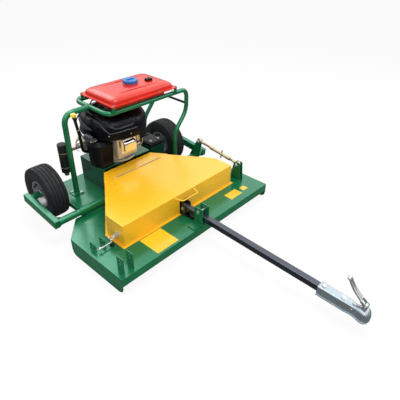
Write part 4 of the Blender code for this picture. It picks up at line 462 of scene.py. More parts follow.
def itemFrom(shapes):
    # a hidden object that a tree repeats
    return heldShape("item", merged(shapes))


def bolts(name, places, settings, body="root", finish="boltZinc"):
    # places are (point, direction) in deck coordinates
    mesh = bpy.data.meshes.new("points")
    mesh.from_pydata([tuple(Vector(p) + deckOrigin) for p, _ in places], [], [])
    aim = mesh.attributes.new("aim", "FLOAT_VECTOR", "POINT")
    for item, (_, way) in zip(aim.data, places):
        item.vector = Vector(way).normalized()
    head, high = settings["head"], settings["high"]
    sizes = {
        "Head radius": head / math.sqrt(3), "Head height": high, "Washer radius": settings["washer"],
        "Washer height": settings.get("thin", 0.0012), "Screw radius": head * 0.3,
        "Screw height": high + settings.get("proud", 0.0),
    }
    made = runTree(boltTree, mesh, finish, sizes)
    keepPiece(name, made, finish, body, sharp=25)


def ringOf(name, shapes, count, centre, direction, finish, body="root"):
    # shapes drawn at their radius on the +X side, repeated about an axis
    item = itemFrom(shapes)
    made = runTree(
        ringTree, bpy.data.meshes.new("empty"), finish, {"Item": item, "Count": count, "Radius": 0.0001})
    bpy.data.objects.remove(item)
    spin = Vector(direction).to_track_quat("Z", "Y").to_matrix().to_4x4()
    made.transform(Matrix.Translation(deckOrigin + Vector(centre)) @ spin)
    keepPiece(name, made, finish, body, sharp=30)


def alongPaths(name, shapes, paths, pitch, finish):
    item = itemFrom(shapes)
    mesh = bpy.data.meshes.new("paths")
    points, edges = [], []
    for path in paths:
        first = len(points)
        points += [tuple(Vector(p) + deckOrigin) for p in path]
        edges += [(first + i, first + i + 1) for i in range(len(path) - 1)]
    mesh.from_pydata(points, edges, [])
    made = runTree(pathTree, mesh, finish, {"Item": item, "Pitch": pitch})
    bpy.data.objects.remove(item)
    keepPiece(name, made, finish, "root", sharp=40)


# finishes
finishSettings = {
    "greenEnamel": {
        "slot": "green_paint", "colour": (0.006, 0.128, 0.047), "shade": (0.005, 0.11, 0.04),
        "rough": (0.17, 0.25), "coat": 0.05, "spec": 0.85, "tint": (0.34, 1.0, 0.72), "grain": 420,
        "bump": 0.03},
    "darkGreen": {
        "slot": "dark_green_paint", "colour": (0.002, 0.04, 0.024), "shade": (0.002, 0.03, 0.018),
        "rough": (0.28, 0.42), "spec": 0.5, "tint": (0.3, 1.0, 0.76), "grain": 420, "bump": 0.08,
        "lift": 0.0004},
    # the deck's green paint darkened as painted shade, for the engine plinth
    "shadedPlinthGreen": {
        "slot": "green_paint", "colour": (0.003, 0.056, 0.026), "shade": (0.002, 0.044, 0.02),
        "rough": (0.18, 0.28), "coat": 0.04, "spec": 0.6, "tint": (0.3, 1.0, 0.72), "grain": 420,
        "bump": 0.04},
    "yellowEnamel": {
        "slot": "yellow_paint", "colour": (0.96, 0.5, 0.014), "shade": (0.955, 0.494, 0.014),
        "rough": (0.27, 0.31), "coat": 0.12, "spec": 0.9, "tint": (1.0, 0.92, 0.55), "grain": 380,
        "bump": 0.02},
    "redEnamel": {
        "slot": "tank_red", "colour": (0.62, 0.016, 0.005), "shade": (0.56, 0.013, 0.004),
        "rough": (0.2, 0.28), "coat": 0.22, "spec": 0.38, "tint": (1.0, 0.68, 0.6), "grain": 420,
        "bump": 0.02},
    "blackEnamel": {
        "slot": "bar_black", "colour": (0.005, 0.006, 0.009), "shade": (0.004, 0.005, 0.007),
        "rough": (0.24, 0.36), "coat": 0.1, "spec": 0.9, "tint": (0.72, 0.82, 1.0), "grain": 420,
        "bump": 0.05},
    "heatBlack": {
        "slot": "silencer_black", "colour": (0.008, 0.008, 0.009), "shade": (0.014, 0.012, 0.011),
        "rough": (0.5, 0.72), "spec": 0.3, "grain": 900, "bump": 0.25, "lift": 0.0004},
    "satinPlastic": {
        "slot": "black_plastic", "colour": (0.004, 0.004, 0.005), "shade": (0.003, 0.003, 0.004),
        "rough": (0.38, 0.52), "spec": 0.13, "grain": 1400, "bump": 0.2},
    "glossPlastic": {
        "slot": "black_plastic", "colour": (0.003, 0.003, 0.005), "shade": (0.002, 0.002, 0.003),
        "rough": (0.24, 0.36), "spec": 0.13, "tint": (0.9, 0.94, 1.0), "grain": 300, "bump": 0.03},
    "greyPlastic": {
        "slot": "black_plastic", "colour": (0.05, 0.058, 0.072), "shade": (0.036, 0.042, 0.054),
        "rough": (0.3, 0.44), "coat": 0.1, "grain": 1200, "bump": 0.18},
    "bluePlastic": {
        "slot": "cap_blue", "colour": (0.022, 0.17, 0.48), "shade": (0.018, 0.13, 0.4),
        "rough": (0.26, 0.38), "coat": 0.1, "spec": 0.7, "tint": (0.5, 0.8, 1.0), "grain": 900,
        "bump": 0.1},
    "yellowPlastic": {
        "slot": "dipstick_yellow", "colour": (0.86, 0.6, 0.01), "shade": (0.78, 0.52, 0.008),
        "rough": (0.28, 0.4), "coat": 0.2, "grain": 900, "bump": 0.1},
    "tyreRubber": {
        "slot": "tyre", "colour": (0.009, 0.01, 0.012), "shade": (0.014, 0.015, 0.017), "rough": (0.6, 0.8),
        "spec": 0.3, "grain": 260, "bump": 0.35, "lift": 0.0008},
    "beltRubber": {
        "slot": "belt_rubber", "colour": (0.012, 0.012, 0.013), "shade": (0.022, 0.022, 0.023),
        "rough": (0.55, 0.75), "grain": 700, "bump": 0.3, "lift": 0.0004},
    "hoseRubber": {
        "slot": "hose_rubber", "colour": (0.01, 0.01, 0.011), "shade": (0.016, 0.016, 0.017),
        "rough": (0.38, 0.52), "grain": 700, "bump": 0.15},
    "rimSilver": {
        "slot": "wheel_steel", "colour": (0.36, 0.37, 0.39), "shade": (0.28, 0.29, 0.31),
        "rough": (0.24, 0.36), "coat": 0.2, "metal": 0.75, "grain": 600, "bump": 0.06},
    "zinc": {
        "slot": "zinc_steel", "colour": (0.31, 0.36, 0.39), "shade": (0.27, 0.32, 0.35),
        "rough": (0.36, 0.46), "metal": 0.8, "grain": 380, "bump": 0.06, "spangle": 160},
    "boltZinc": {
        "slot": "zinc_steel", "colour": (0.56, 0.56, 0.55), "shade": (0.4, 0.41, 0.42),
        "rough": (0.24, 0.4), "metal": 0.9, "grain": 500, "bump": 0.1},
    "passivated": {
        "slot": "bare_steel", "colour": (0.46, 0.38, 0.23), "shade": (0.38, 0.32, 0.21),
        "rough": (0.3, 0.44), "metal": 0.8, "grain": 500, "bump": 0.1},
    "machined": {
        "slot": "bare_steel", "colour": (0.46, 0.47, 0.48), "shade": (0.36, 0.37, 0.38),
        "rough": (0.26, 0.4), "metal": 1.0, "grain": 300, "bump": 0.12, "stretch": (1, 1, 14)},
    "castAlloy": {
        "slot": "engine_alloy", "colour": (0.52, 0.51, 0.49), "shade": (0.38, 0.37, 0.36),
        "rough": (0.42, 0.6), "metal": 0.7, "grain": 520, "bump": 0.45, "lift": 0.0007},
    "chrome": {
        "slot": "chrome", "colour": (0.8, 0.8, 0.81), "shade": (0.74, 0.74, 0.76), "rough": (0.05, 0.12),
        "metal": 1.0, "grain": 200, "bump": 0.02},
    "creamShield": {
        "slot": "engine_alloy", "colour": (0.5, 0.45, 0.37), "shade": (0.44, 0.39, 0.32),
        "rough": (0.3, 0.42), "metal": 0.55, "grain": 420, "bump": 0.08},
    "castIron": {
        "slot": "cast_housing", "colour": (0.02, 0.03, 0.024), "shade": (0.012, 0.018, 0.014),
        "rough": (0.5, 0.68), "metal": 0.1, "grain": 420, "bump": 0.5, "lift": 0.0008},
    "springSteel": {
        "slot": "bare_steel", "colour": (0.34, 0.34, 0.35), "shade": (0.24, 0.24, 0.25),
        "rough": (0.24, 0.36), "metal": 1.0, "grain": 600, "bump": 0.08, "lift": 0.0002},
    "stickerYellow": {
        "slot": "yellow_paint", "colour": (0.82, 0.52, 0.01), "shade": (0.78, 0.48, 0.008),
        "rough": (0.3, 0.38), "coat": 0.2, "grain": 700, "bump": 0.03, "lift": 0.0002},
    "batteryBlack": {
        "slot": "battery_black", "colour": (0.006, 0.006, 0.008), "shade": (0.005, 0.005, 0.006),
        "rough": (0.34, 0.48), "spec": 0.24, "grain": 1100, "bump": 0.14},
}


def ranged(tree, source, low, high, start=0.35, end=0.65):
    limits = {"From Min": start, "From Max": end, "To Min": low, "To Max": high}
    return node(tree, "ShaderNodeMapRange", {"Value": source}, limits).outputs["Result"]


def makeFinish(name, s):
    # colour drifts between two tones, roughness drifts too, and a fine grain lifts the surface
    finish = bpy.data.materials.new(name)
    finish.use_nodes = True
    tree = finish.node_tree
    place = node(tree, "ShaderNodeTexCoord").outputs["Object"]
    stretch = node(
        tree, "ShaderNodeMapping", {"Vector": place}, {"Scale": s.get("stretch", (1, 1, 1))}).outputs[0]

    def noise(scale, detail, roughness=0.55):
        values = {"Scale": scale, "Detail": detail, "Roughness": roughness}
        return node(tree, "ShaderNodeTexNoise", {"Vector": stretch}, values).outputs["Fac"]

    amount = ranged(tree, noise(9, 4), 0, 1)
    if "spangle" in s:
        crystals = node(tree, "ShaderNodeTexVoronoi", {"Vector": stretch}, {"Scale": s["spangle"]})
        grey = node(tree, "ShaderNodeRGBToBW", {0: crystals.outputs["Color"]})
        amount = ranged(tree, grey.outputs[0], 0, 0.8, 0.2, 0.8)
    tones = {6: (*s["colour"], 1), 7: (*s["shade"], 1)}
    tone = node(tree, "ShaderNodeMix", {0: amount}, tones, data_type="RGBA").outputs[2]
    rough = ranged(tree, noise(34, 5, 0.62), *s["rough"])
    lift = {"Strength": s["bump"], "Distance": s.get("lift", 0.0003)}
    bump = node(tree, "ShaderNodeBump", {"Height": noise(s["grain"], 3)}, lift).outputs[0]
    feed(
        tree, tree.nodes["Principled BSDF"], {"Base Color": tone, "Roughness": rough, "Normal": bump},
        {
            "Metallic": s.get("metal", 0.0), "Specular IOR Level": s.get("spec", 0.5),
            "Specular Tint": (*s.get("tint", (1, 1, 1)), 1), "Coat Weight": s.get("coat", 0.0),
            "Coat Roughness": 0.06})
    finish.diffuse_color = (*s["colour"], 1)
    return finish


finishes = {name: makeFinish(name, s) for name, s in finishSettings.items()}
print("stage: finishes,", len(finishes))


# deck, skirts and what is welded on
deck = {
    "half": 0.625, "depth": 0.449, "cutX": 0.125, "bayRear": 0.591, "platformHalf": 0.43,
    "platformRear": 1.005, "platformCorner": 0.02, "sheet": 0.004,
    "frontSkirt": 0.053, "sideSkirt": 0.105, "nose": 0.032, "baffle": 0.06, "rim": 0.0343,
    "lugX": (0.588, 0.528), "lugPlate": 0.005, "lugWidth": 0.052, "lugHole": 0.006,
    "lugRows": ((0.05, 0.095), (0.287, 0.045)),  # y and height
}
linkPin = (0.54, 0.19, 0.115)  # the turnbuckle's front pin
spindles = {"left": (-0.395, 0.285), "centre": (0.0, 0.415), "right": (0.395, 0.285)}
feet = ((-0.335, 0.825), (0.375, 0.6615), (0.375, 0.962))
footBolts = [(x + s * 0.022, y - s * 0.022) for x, y in feet for s in (-1, 1)]


def deckOutline(s):
    half, back = s["half"], s["platformHalf"]
    side = [
        (half, 0), (half, s["depth"]), (half - s["cutX"], s["bayRear"]), (back, s["bayRear"]),
        (back, s["platformRear"] - s["platformCorner"]), (back - s["platformCorner"], s["platformRear"])]
    return mirrored(side)


def stripOutline(points, width):
    # a bent strip of plate, its thickness on the inside of the path
    inner = []
    last = len(points) - 1
    for i, point in enumerate(points):
        here, before, after = Vector(point), Vector(points[max(i - 1, 0)]), Vector(points[min(i + 1, last)])
        first = (here - before).normalized() if i else (after - here).normalized()
        second = (after - here).normalized() if i < last else first
        a, b = Vector((-first.y, first.x)), Vector((-second.y, second.x))
        inner.append(tuple(here + (a + b) * (width / (1 + a.dot(b)))))
    return list(points) + inner[::-1]


def makeDeck(s):
    holes = [(x, y, 0.0362) for x, y in spindles.values()]
    shapes = [plate(deckOutline(s), -s["sheet"], 0, holes=holes, ease=0.0019)]
    half, low, sheet, top = s["half"], -s["sideSkirt"], s["sheet"], -0.0016
    shapes.append(slab((-half + 0.002, half - 0.002), (0, sheet), (-s["frontSkirt"], top), 0.0008))
    nose, depth = s["nose"], s["depth"]
    runner = [
        (0, top), (0, low + nose), (nose * 0.3, low + nose * 0.3), (nose, low), (depth - nose, low),
        (depth - nose * 0.3, low + nose * 0.3), (depth, low + nose), (depth, top)]
    for x in ((-half, -half + sheet), (half - sheet, half)):
        shapes.append(plate(runner, *x, "X", ease=0.0008, corner=0.012))
    bay = mirrored([(half, depth - 0.002), (half, depth), (half - s["cutX"], s["bayRear"])])
    shapes.append(extruded(stripOutline(bay, sheet), -s["baffle"], top))
    back, corner = s["platformHalf"], s["platformCorner"]
    edge = mirrored([
        (back, s["bayRear"] - 0.002), (back, s["platformRear"] - corner),
        (back - corner, s["platformRear"])])
    shapes.append(extruded(stripOutline(edge, sheet), -s["rim"], top))
    for x in s["lugX"]:  # at the left only
        for y, high in s["lugRows"]:
            plan = rectangle(around(y, s["lugWidth"]), (-0.001, high))
            holes = [(y, high - 2.6 * s["lugHole"], s["lugHole"])]
            if high > 0.06:
                holes.append((y, high - 6.2 * s["lugHole"], s["lugHole"]))
            shapes.append(plate(plan, *around(-x, s["lugPlate"]), "X", holes))
    boltX = [side * (half - step) for side in (-1, 1) for step in (0.029, 0.096)]
    for x in boltX:  # lug bolts through the front skirt
        shapes.append(hexagon((x, 0.0008, -0.024), (x, -0.0002, -0.024), 0.012))
    # posts of the idler arm and of its spring
    for x, y, high, radius in (
        (-0.12, 0.5, 0.0802, 0.011), (-0.12, 0.5, 0.11, 0.006), (-0.196, 0.555, 0.0915, 0.006)
    ):
        shapes.append(bar((x, y, -0.002), (x, y, high), radius))
    assemble("deckShell", shapes + linkBracket(), "greenEnamel", nodes="deck_plate deck_skirts")
    # dark discs at the front skirt's lug bolts: painted shade standing in for holes
    holes = [bar((x, -0.0001, -0.024), (x, 0.0012, -0.024), 0.0052, 20, 0.0002) for x in boltX]
    assemble("skirtHoles", holes, "castIron")


def linkBracket():
    # two plates and a brace that hold the turnbuckle's front pin
    x, y, z = linkPin
    outline = [
        (y - 0.0378, -0.002), (y + 0.0522, -0.002), (y + 0.025, z + 0.01), (y + 0.015, z + 0.018),
        (y - 0.025, z + 0.018)]
    shapes = [plate(outline, *around(x + s * 0.0128, 0.006), "X", corner=0.006) for s in (-1, 1)]
    shapes.append(slab(around(x, 0.0286), around(y + 0.005, 0.006), (-0.002, z - 0.035)))
    return shapes


def weldRows():
    # the beads along what is welded on
    bead = turned(
        [(-0.0022, 0), (-0.0015, 0.002), (0, 0.0027), (0.0015, 0.002), (0.0022, 0)], direction=(1, 0, 0),
        steps=7)
    paths = []
    for x in deck["lugX"]:
        for y, _ in deck["lugRows"]:
            for face in (-0.0028, 0.0028):
                paths.append([(face - x, y - 0.024, 0.0003), (face - x, y + 0.024, 0.0003)])
    for face in (-0.0162, -0.0094, 0.0094, 0.0162):
        paths.append([(linkPin[0] + face, 0.155, 0.0003), (linkPin[0] + face, 0.24, 0.0003)])
    for x, y in feet:
        radius = 0.018 if x < 0 else 0.0156
        ring = [onCircle(x if x < 0 else x + 0.01, y, radius, turn, 0.0068) for turn in angles(24)]
        paths.append([*ring, ring[0]])
    for y in (0.5765, 0.6175):  # the sleeve on the deck
        paths.append([(-0.44, y, 0.0006), (0.44, y, 0.0006)])
    for side in (-1, 1):  # tow bracket plates
        for face in (0.0236, 0.0304):
            paths.append([(side * face, 0.006, 0.0066), (side * face, 0.067, 0.0066)])
    alongPaths("weldBeads", [bead], paths, 0.003, "greenEnamel")


makeDeck(deck)
weldRows()
print("stage: deck")


# plain warning patches, bare
patches = {
    "lift": 0.0004, "corner": 0.003, "left": ((-0.368, -0.211), (0.015, 0.167)),
    "right": ((0.311, 0.421), (0.051, 0.116)), "small": ((0.451, 0.496), (0.061, 0.102)),
}


def makePatches(s):
    shapes = []
    for key in ("left", "right", "small"):
        shapes.append(plate(rectangle(*s[key]), -0.0002, s["lift"], ease=0.00015, corner=s["corner"]))
    assemble("deckPatches", shapes, "stickerYellow")


makePatches(patches)


# guard frame round the tank
guard = {
    "radius": 0.0145, "postRadius": 0.017, "ring": 0.535, "front": 0.645, "rear": 0.972, "left": -0.155,
    "out": 0.5, "in": 0.385, "legTop": 0.385, "legLow": 0.25, "bend": 0.055, "postBend": 0.07,
    "post": (-0.335, 0.825), "foot": 0.072, "footThick": 0.006, "brace": 0.435, "braceRadius": 0.008,
    "seat": 0.575,
}
tank = {"x": 0.128, "y": 0.785, "length": 0.525, "width": 0.338, "bolt": 0.012}
tankBolts = [
    (
        tank["x"] + i * (tank["length"] / 2 - tank["bolt"]),
        tank["y"] + j * (tank["width"] / 2 - tank["bolt"]))
    for i in (-1, 1) for j in (-1, 1)]


def makeGuard(s):
    ground = s["footThick"] / 2
    ring = [
        (s["in"], s["front"], ground), (s["in"], s["front"], s["legLow"]),
        (s["out"], s["front"], s["legTop"]), (s["out"], s["front"], s["ring"]),
        (s["left"], s["front"], s["ring"]), (s["left"], s["rear"], s["ring"]),
        (s["out"], s["rear"], s["ring"]), (s["out"], s["rear"], s["legTop"]),
        (s["in"], s["rear"], s["legLow"]), (s["in"], s["rear"], ground)]
    shapes = [tube(filleted(ring, s["bend"], 9), s["radius"], 24)]
    x, y = s["post"]
    post = [(x, y, ground), (x, y, s["ring"]), (s["left"], y, s["ring"])]
    shapes.append(tube(filleted(post, s["postBend"], 12), s["postRadius"], 26))
    for fx, fy in feet:
        plan = rectangle(around(fx, s["foot"]), around(fy, s["foot"]))
        holes = [(bx, by, 0.0046) for bx, by in footBolts if abs(bx - fx) < 0.03 and abs(by - fy) < 0.03]
        shapes.append(plate(plan, gap, gap + s["footThick"], holes=holes, corner=0.005))
    shelf = s["ring"] + s["radius"]
    for bx, by in tankBolts:
        rail = s["front"] if by < tank["y"] else s["rear"]
        shapes.append(plate(
            circlesOutline([(bx, by, 0.013), (bx, rail, 0.014)], 12), shelf - 0.005, shelf - 0.0005))
        shapes.append(bar((bx, by, shelf - 0.004), (bx, by, s["seat"]), 0.0095, 24, 0.0008))
    assemble("guardFrame", shapes, "greenEnamel", nodes="guard_frame")
    brace = bar((s["out"], s["front"], s["brace"]), (s["out"], s["rear"], s["brace"]), s["braceRadius"], 20)
    assemble("guardBrace", [brace], "satinPlastic")
    places = [((bx, by, gap + s["footThick"]), up) for bx, by in footBolts]
    bolts("footBolts", places, {"head": 0.0125, "high": 0.0052, "washer": 0.0088, "proud": 0.0016})


makeGuard(guard)
print("stage: guard frame")


# height gear: sleeve, torsion pipe, arms, crank
gear = {
    "y": 0.597, "z": 0.0268, "pipe": 0.0212, "wall": 0.0035, "sleeve": 0.0265, "sleeveHalf": 0.46,
    "armX": 0.605, "armThick": 0.035, "armHeight": 0.052, "axle": (0.885, 0.063), "boss": 0.02,
    "stub": 0.0125, "wheelX": 0.502, "crankX": linkPin[0], "crankTop": (0.548, 0.1648), "pin": 0.007,
}


def nuttedPin(centre, radius, half, nut):
    # a pin along X with the same nut at both ends
    x, y, z = centre
    nuts = [hexagon((x + side * nut[0], y, z), (x + side * nut[1], y, z), 0.021) for side in (1, -1)]
    return [bar((x - half, y, z), (x + half, y, z), radius, 24, 0.001), *nuts]


def makeAxle(s):
    y, z = s["y"], s["z"]
    sleeve = tube([(-s["sleeveHalf"], y, z), (s["sleeveHalf"], y, z)], s["sleeve"], 40, s["pipe"] + 0.0008)
    assemble("axleSleeve", [easedEdges(sleeve, 0.0008)], "greenEnamel", nodes="axle_sleeve")
    inner = s["armX"] - gap
    pipe = tube([(-inner, y, z), (inner, y, z)], s["pipe"], 36, s["pipe"] - s["wall"])
    assemble("torsionPipe", [pipe], "greenEnamel", "wheel_arms", nodes="torsion_pipe")


def makeWheelArms(s):
    y, z = s["y"], s["z"]
    nose, tail = Vector((y, z + 0.008)), Vector(s["axle"])
    way = (tail - nose).normalized()
    rise = Vector((-way.y, way.x)) * (s["armHeight"] / 2)
    outline = [
        nose - way * 0.026 - rise, tail + way * 0.028 - rise, tail + way * 0.028 + rise,
        nose - way * 0.026 + rise]
    hub = 0.0488  # half the wheel's hub with its play
    for side, name in bothSides:
        x = sorted((side * s["armX"], side * (s["armX"] + s["armThick"])))
        arm = extruded([tuple(p) for p in outline], *x, "X", ease=0.0045, segments=4)
        root = side * (s["armX"] + s["armThick"] / 2)
        boss = side * (s["wheelX"] + hub)
        end = side * (s["wheelX"] - 0.048 - 0.01 - 0.0016)
        shapes = [arm, bar((root, *s["axle"]), (boss, *s["axle"]), s["boss"], 32, 0.0015)]
        web = [
            (side * (s["armX"] + 0.002), y + 0.0215), (side * (s["armX"] - 0.034), y + 0.0215),
            (side * (s["armX"] + 0.002), y + 0.0555)]
        shapes.append(plate(web if side > 0 else web[::-1], *around(z + 0.008, 0.005)))
        shapes.append(turned(
            [(0, 0.0235), (0, 0.026), (0.004, 0.0245), (0.004, 0.0225)],
            (side * (s["armX"] - 0.0001), y, z), (-side, 0, 0), 32))
        assemble("wheelArm" + name.title(), shapes, "greenEnamel", "wheel_arms", nodes="wheel_arm_" + name)
        nut = side * (s["wheelX"] - hub)
        steel = [
            bar((boss, *s["axle"]), (end, *s["axle"]), s["stub"], 28, 0.001),
            hexagon((nut, *s["axle"]), (nut - side * 0.01, *s["axle"]), 0.036)]
        assemble("stubAxle" + name.title(), steel, "boltZinc", "wheel_arms")


def makeHeightCrank(s):
    y, z = s["y"], s["z"]
    top, x = s["crankTop"], s["crankX"]
    outline = circlesOutline([(y, z, s["pipe"] + 0.012), (*top, 0.014)], 10)
    holes = [(y, z, s["pipe"] + 0.0004)]
    shapes = [plate(outline, *around(x + side * 0.0128, 0.006), "X", holes) for side in (-1, 1)]
    shapes.append(tube([(x - 0.0138, y, z), (x + 0.0138, y, z)], s["pipe"] + 0.008, 36, s["pipe"] + gap))
    assemble("heightCrank", shapes, "greenEnamel", "wheel_arms", nodes="height_crank")
    pin = nuttedPin((x, *top), s["pin"], 0.0248, (0.0168, 0.0258))
    assemble("crankPin", pin, "boltZinc", "wheel_arms")


makeAxle(gear)
makeWheelArms(gear)
makeHeightCrank(gear)
print("stage: height gear")


# turnbuckle
link = {
    "front": linkPin, "rear": (gear["crankX"], *gear["crankTop"]), "eye": 0.019, "width": 0.018,
    "rod": 0.008, "sleeve": 0.0125, "sleeveStart": 0.075, "sleeveLong": 0.18, "socket": 0.06,
    "thread": 0.0018,
}


def threaded(start, end, radius, pitch):
    # a screw: rings of root and crest along the rod
    start, end = Vector(start), Vector(end)
    length = (end - start).length
    profile = [(0, 0), (0, radius * 0.88)]
    steps = int(length / pitch)
    for k in range(steps):
        profile += [
            ((k + 0.25) * pitch, radius * 0.88), ((k + 0.5) * pitch, radius), ((k + 0.75) * pitch, radius)]
    return turned(profile + [(length, radius * 0.88), (length, 0)], start, end - start, 20)


def makeLink(s):
    front, rear = Vector(s["front"]), Vector(s["rear"])
    way = (rear - front).normalized()
    total = (rear - front).length
    across = way.cross(Vector((1, 0, 0)))

    def at(distance):
        return front + way * distance

    def eye(centre, bore):
        return band(*around(0, s["width"]), bore, s["eye"], centre, (1, 0, 0), 36, 0.001)

    socketEnd = s["sleeveStart"] + s["socket"]
    shapes = [
        eye(front, 0.0074), bar(at(0.0165), at(0.048), s["rod"] * 1.15, 20),
        threaded(at(0.046), at(socketEnd), s["rod"], s["thread"])]
    assemble(
        "turnbuckleFrontEnd", shapes, "passivated", "turnbuckle_front",
        nodes="link_front_end")
    start, end = at(s["sleeveStart"]), at(s["sleeveStart"] + s["sleeveLong"])
    shapes = [tube([start, end], s["sleeve"] - 0.0015, 28, s["rod"] + 0.0008)]
    for a, b in ((0, 0.03), (s["sleeveLong"] - 0.03, s["sleeveLong"])):
        shapes.append(easedEdges(
            tube([start + way * a, start + way * b], s["sleeve"], 28, s["rod"] + 0.0009), 0.0007))
    middle = start + way * (s["sleeveLong"] * 0.42)
    for side in (-1, 1):
        foot = middle + across * side * (s["sleeve"] - 0.0025)
        shapes.append(bar(foot, foot + across * side * 0.0225, 0.0045, 18, 0.001))
    assemble(
        "turnbuckleSleeve", shapes, "passivated", "turnbuckle_sleeve",
        nodes="link_sleeve")
    shapes = [
        eye(rear, 0.0105), bar(at(total - 0.0165), at(total - 0.046), s["rod"] * 1.15, 20),
        threaded(at(socketEnd + 0.015), at(total - 0.044), s["rod"], s["thread"])]
    assemble(
        "turnbuckleRearEnd", shapes, "passivated", "turnbuckle_rear",
        nodes="link_rear_end")
    pin = nuttedPin(s["front"], gear["pin"], 0.0278, (0.0148, 0.0248))
    assemble("turnbuckleFrontPin", pin, "boltZinc")


makeLink(link)
print("stage: turnbuckle")


# wheels
wheel = {
    "x": 0.502, "y": 0.885, "z": 0.063, "radius": 0.168, "half": 0.06, "groove": 0.0052, "blocks": 84,
    "rim": 0.076, "rimHalf": 0.046, "flange": 0.009, "sheet": 0.003, "well": 0.016, "hub": 0.027,
    "hubHalf": 0.048, "boltCircle": 0.041,
}


def tyreShapes(s):
    # carcass with rounded shoulders, sidewall rings and a bead, as one closed loop
    tread, half, base = s["radius"], s["half"], s["radius"] - s["groove"]
    bead, seat = s["rimHalf"] - gap, s["rim"] + gap
    side = [
        (half * 0.76, base), (half * 0.9, base - 0.006), (half * 0.965, base - 0.016),
        (half * 0.995, base - 0.028), (half, base - 0.038), (half * 0.992, base - 0.046),
        (half * 0.975, base - 0.052), (half * 0.985, base - 0.0535), (half * 0.955, base - 0.06),
        (half * 0.9, base - 0.068), (bead + 0.003, s["rim"] + s["flange"] + 0.0015),
        (bead - 0.0008, s["rim"] + s["flange"] + 0.0006), (bead - 0.0008, seat), (bead - 0.012, seat),
        (half - 0.011, tread - 0.052), (half - 0.015, tread - 0.02)]
    return [turned(mirrored(side), direction=(1, 0, 0), steps=84)]


def treadBlocks(s):
    # five ribs of slanted blocks, drawn at the top of the tyre for the ring tree (axis Z, radius along X)
    shapes = []
    top, low = s["radius"], s["radius"] - s["groove"] - 0.0012
    step = 2 * math.pi * s["radius"] / s["blocks"]
    ribs = (
        (-0.0505, -0.0345, 0.55), (-0.03, -0.0135, -0.4), (-0.0092, 0.0092, 0.35), (0.0135, 0.03, -0.4),
        (0.0345, 0.0505, 0.55))
    for index, (a, b, slant) in enumerate(ribs):
        share = 0.43 if index in (0, 4) else 0.455
        rings = []
        for radius, trim in ((low, 1.0), (top - 0.0007, 1.0), (top, 0.93)):
            wide = step * share * trim
            inset = 0.0 if trim == 1 else 0.0006
            drop = [0.0, 0.0]
            if index in (0, 4) and radius > low:  # shoulders fall away
                drop[0 if index == 0 else 1] = 0.0034
            corners = []
            for z, q, d in (
                (a + inset, -1, drop[0]), (b - inset, -1, drop[1]), (b - inset, 1, drop[1]),
                (a + inset, 1, drop[0])
            ):
                skew = (z - (a + b) / 2) * slant
                corners.append((radius - d, q * wide + skew, z))
            rings.append(corners)
        shapes.append(loft(rings))
    for side in (-1, 1):  # short shoulder lugs on the sidewall
        rings = []
        for radius, z in (
            (top - 0.005, side * 0.052), (top - 0.0135, side * 0.0566), (top - 0.024, side * 0.0588)
        ):
            rings.append([
                (radius, -step * 0.3, z - side * 0.003), (radius + 0.0016, -step * 0.3, z + side * 0.0006),
                (radius + 0.0016, step * 0.3, z + side * 0.0006), (radius, step * 0.3, z - side * 0.003)])
        shapes.append(loft(rings))
    return shapes


def rimShapes(s):
    half, lip, top = s["rimHalf"], s["rimHalf"] + s["sheet"], s["rim"] + s["flange"]
    well = s["rim"] - s["well"]
    side = [
        (half - 0.01, s["rim"]), (half, s["rim"]), (half, top - 0.001), (half + 0.0006, top),
        (lip - 0.0004, top), (lip, top - 0.0012), (lip, s["rim"] - 0.001),
        (lip - 0.002, s["rim"] - s["sheet"]), (half * 0.72, s["rim"] - s["sheet"] - 0.003),
        (half * 0.5, well - s["sheet"] + 0.003), (half * 0.28, well - s["sheet"]),
        (0.0045, well - s["sheet"] - 0.002), (0.0022, well - s["sheet"] - 0.006), (0.0022, s["hub"] + 0.01),
        (0.006, s["hub"] + 0.004), (0.0075, s["hub"]), (s["hubHalf"] - 0.0015, s["hub"]),
        (s["hubHalf"], s["hub"] - 0.0015), (s["hubHalf"], 0.0133)]
    barrel = turned(mirrored(side), direction=(1, 0, 0), steps=84)
    spots = [onCircle(0, 0, s["boltCircle"], turn) for turn in angles(4, 0.5)]
    bossRing = [bar((0.001, *spot), (0.0042, *spot), 0.0075, 20) for spot in spots]
    return [barrel, *bossRing]


def makeWheel(side, name, s):
    centre = Vector((side * s["x"], s["y"], s["z"]))
    body = name + "_wheel"
    place = Matrix.Translation(centre)
    assemble("tyre" + name.title(), moved(tyreShapes(s), place), "tyreRubber", body, nodes="tyre_" + name)
    ringOf("tread" + name.title(), treadBlocks(s), s["blocks"], centre, (1, 0, 0), "tyreRubber", body)
    assemble("rim" + name.title(), moved(rimShapes(s), place), "rimSilver", body, nodes="rim_" + name)
    places = []
    for turn in angles(4, 0.5):
        for face in (-1, 1):
            places.append((
                centre + Vector((face * 0.004, *onCircle(0, 0, s["boltCircle"], turn))), (face, 0, 0)))
    bolts(
        "rimBolts" + name.title(), places,
        {"head": 0.013, "high": 0.0075, "washer": 0.0085, "proud": 0.003}, body)
    valve = [
        tube([(0.03, 0, 0.066), (0.04, 0, 0.06), (0.052, 0, 0.055)], 0.0042, 14),
        bar((0.05, 0, 0.056), (0.06, 0, 0.052), 0.0034, 14)]
    turn = Matrix.Rotation(math.radians(-50), 4, "X") @ Matrix.Scale(side, 4, (1, 0, 0))
    for shape in moved(valve, place @ turn):
        bmesh.ops.recalc_face_normals(shape, faces=shape.faces)
    assemble("valve" + name.title(), valve, "hoseRubber", body)


for side, name in bothSides:
    makeWheel(side, name, wheel)
print("stage: wheels")


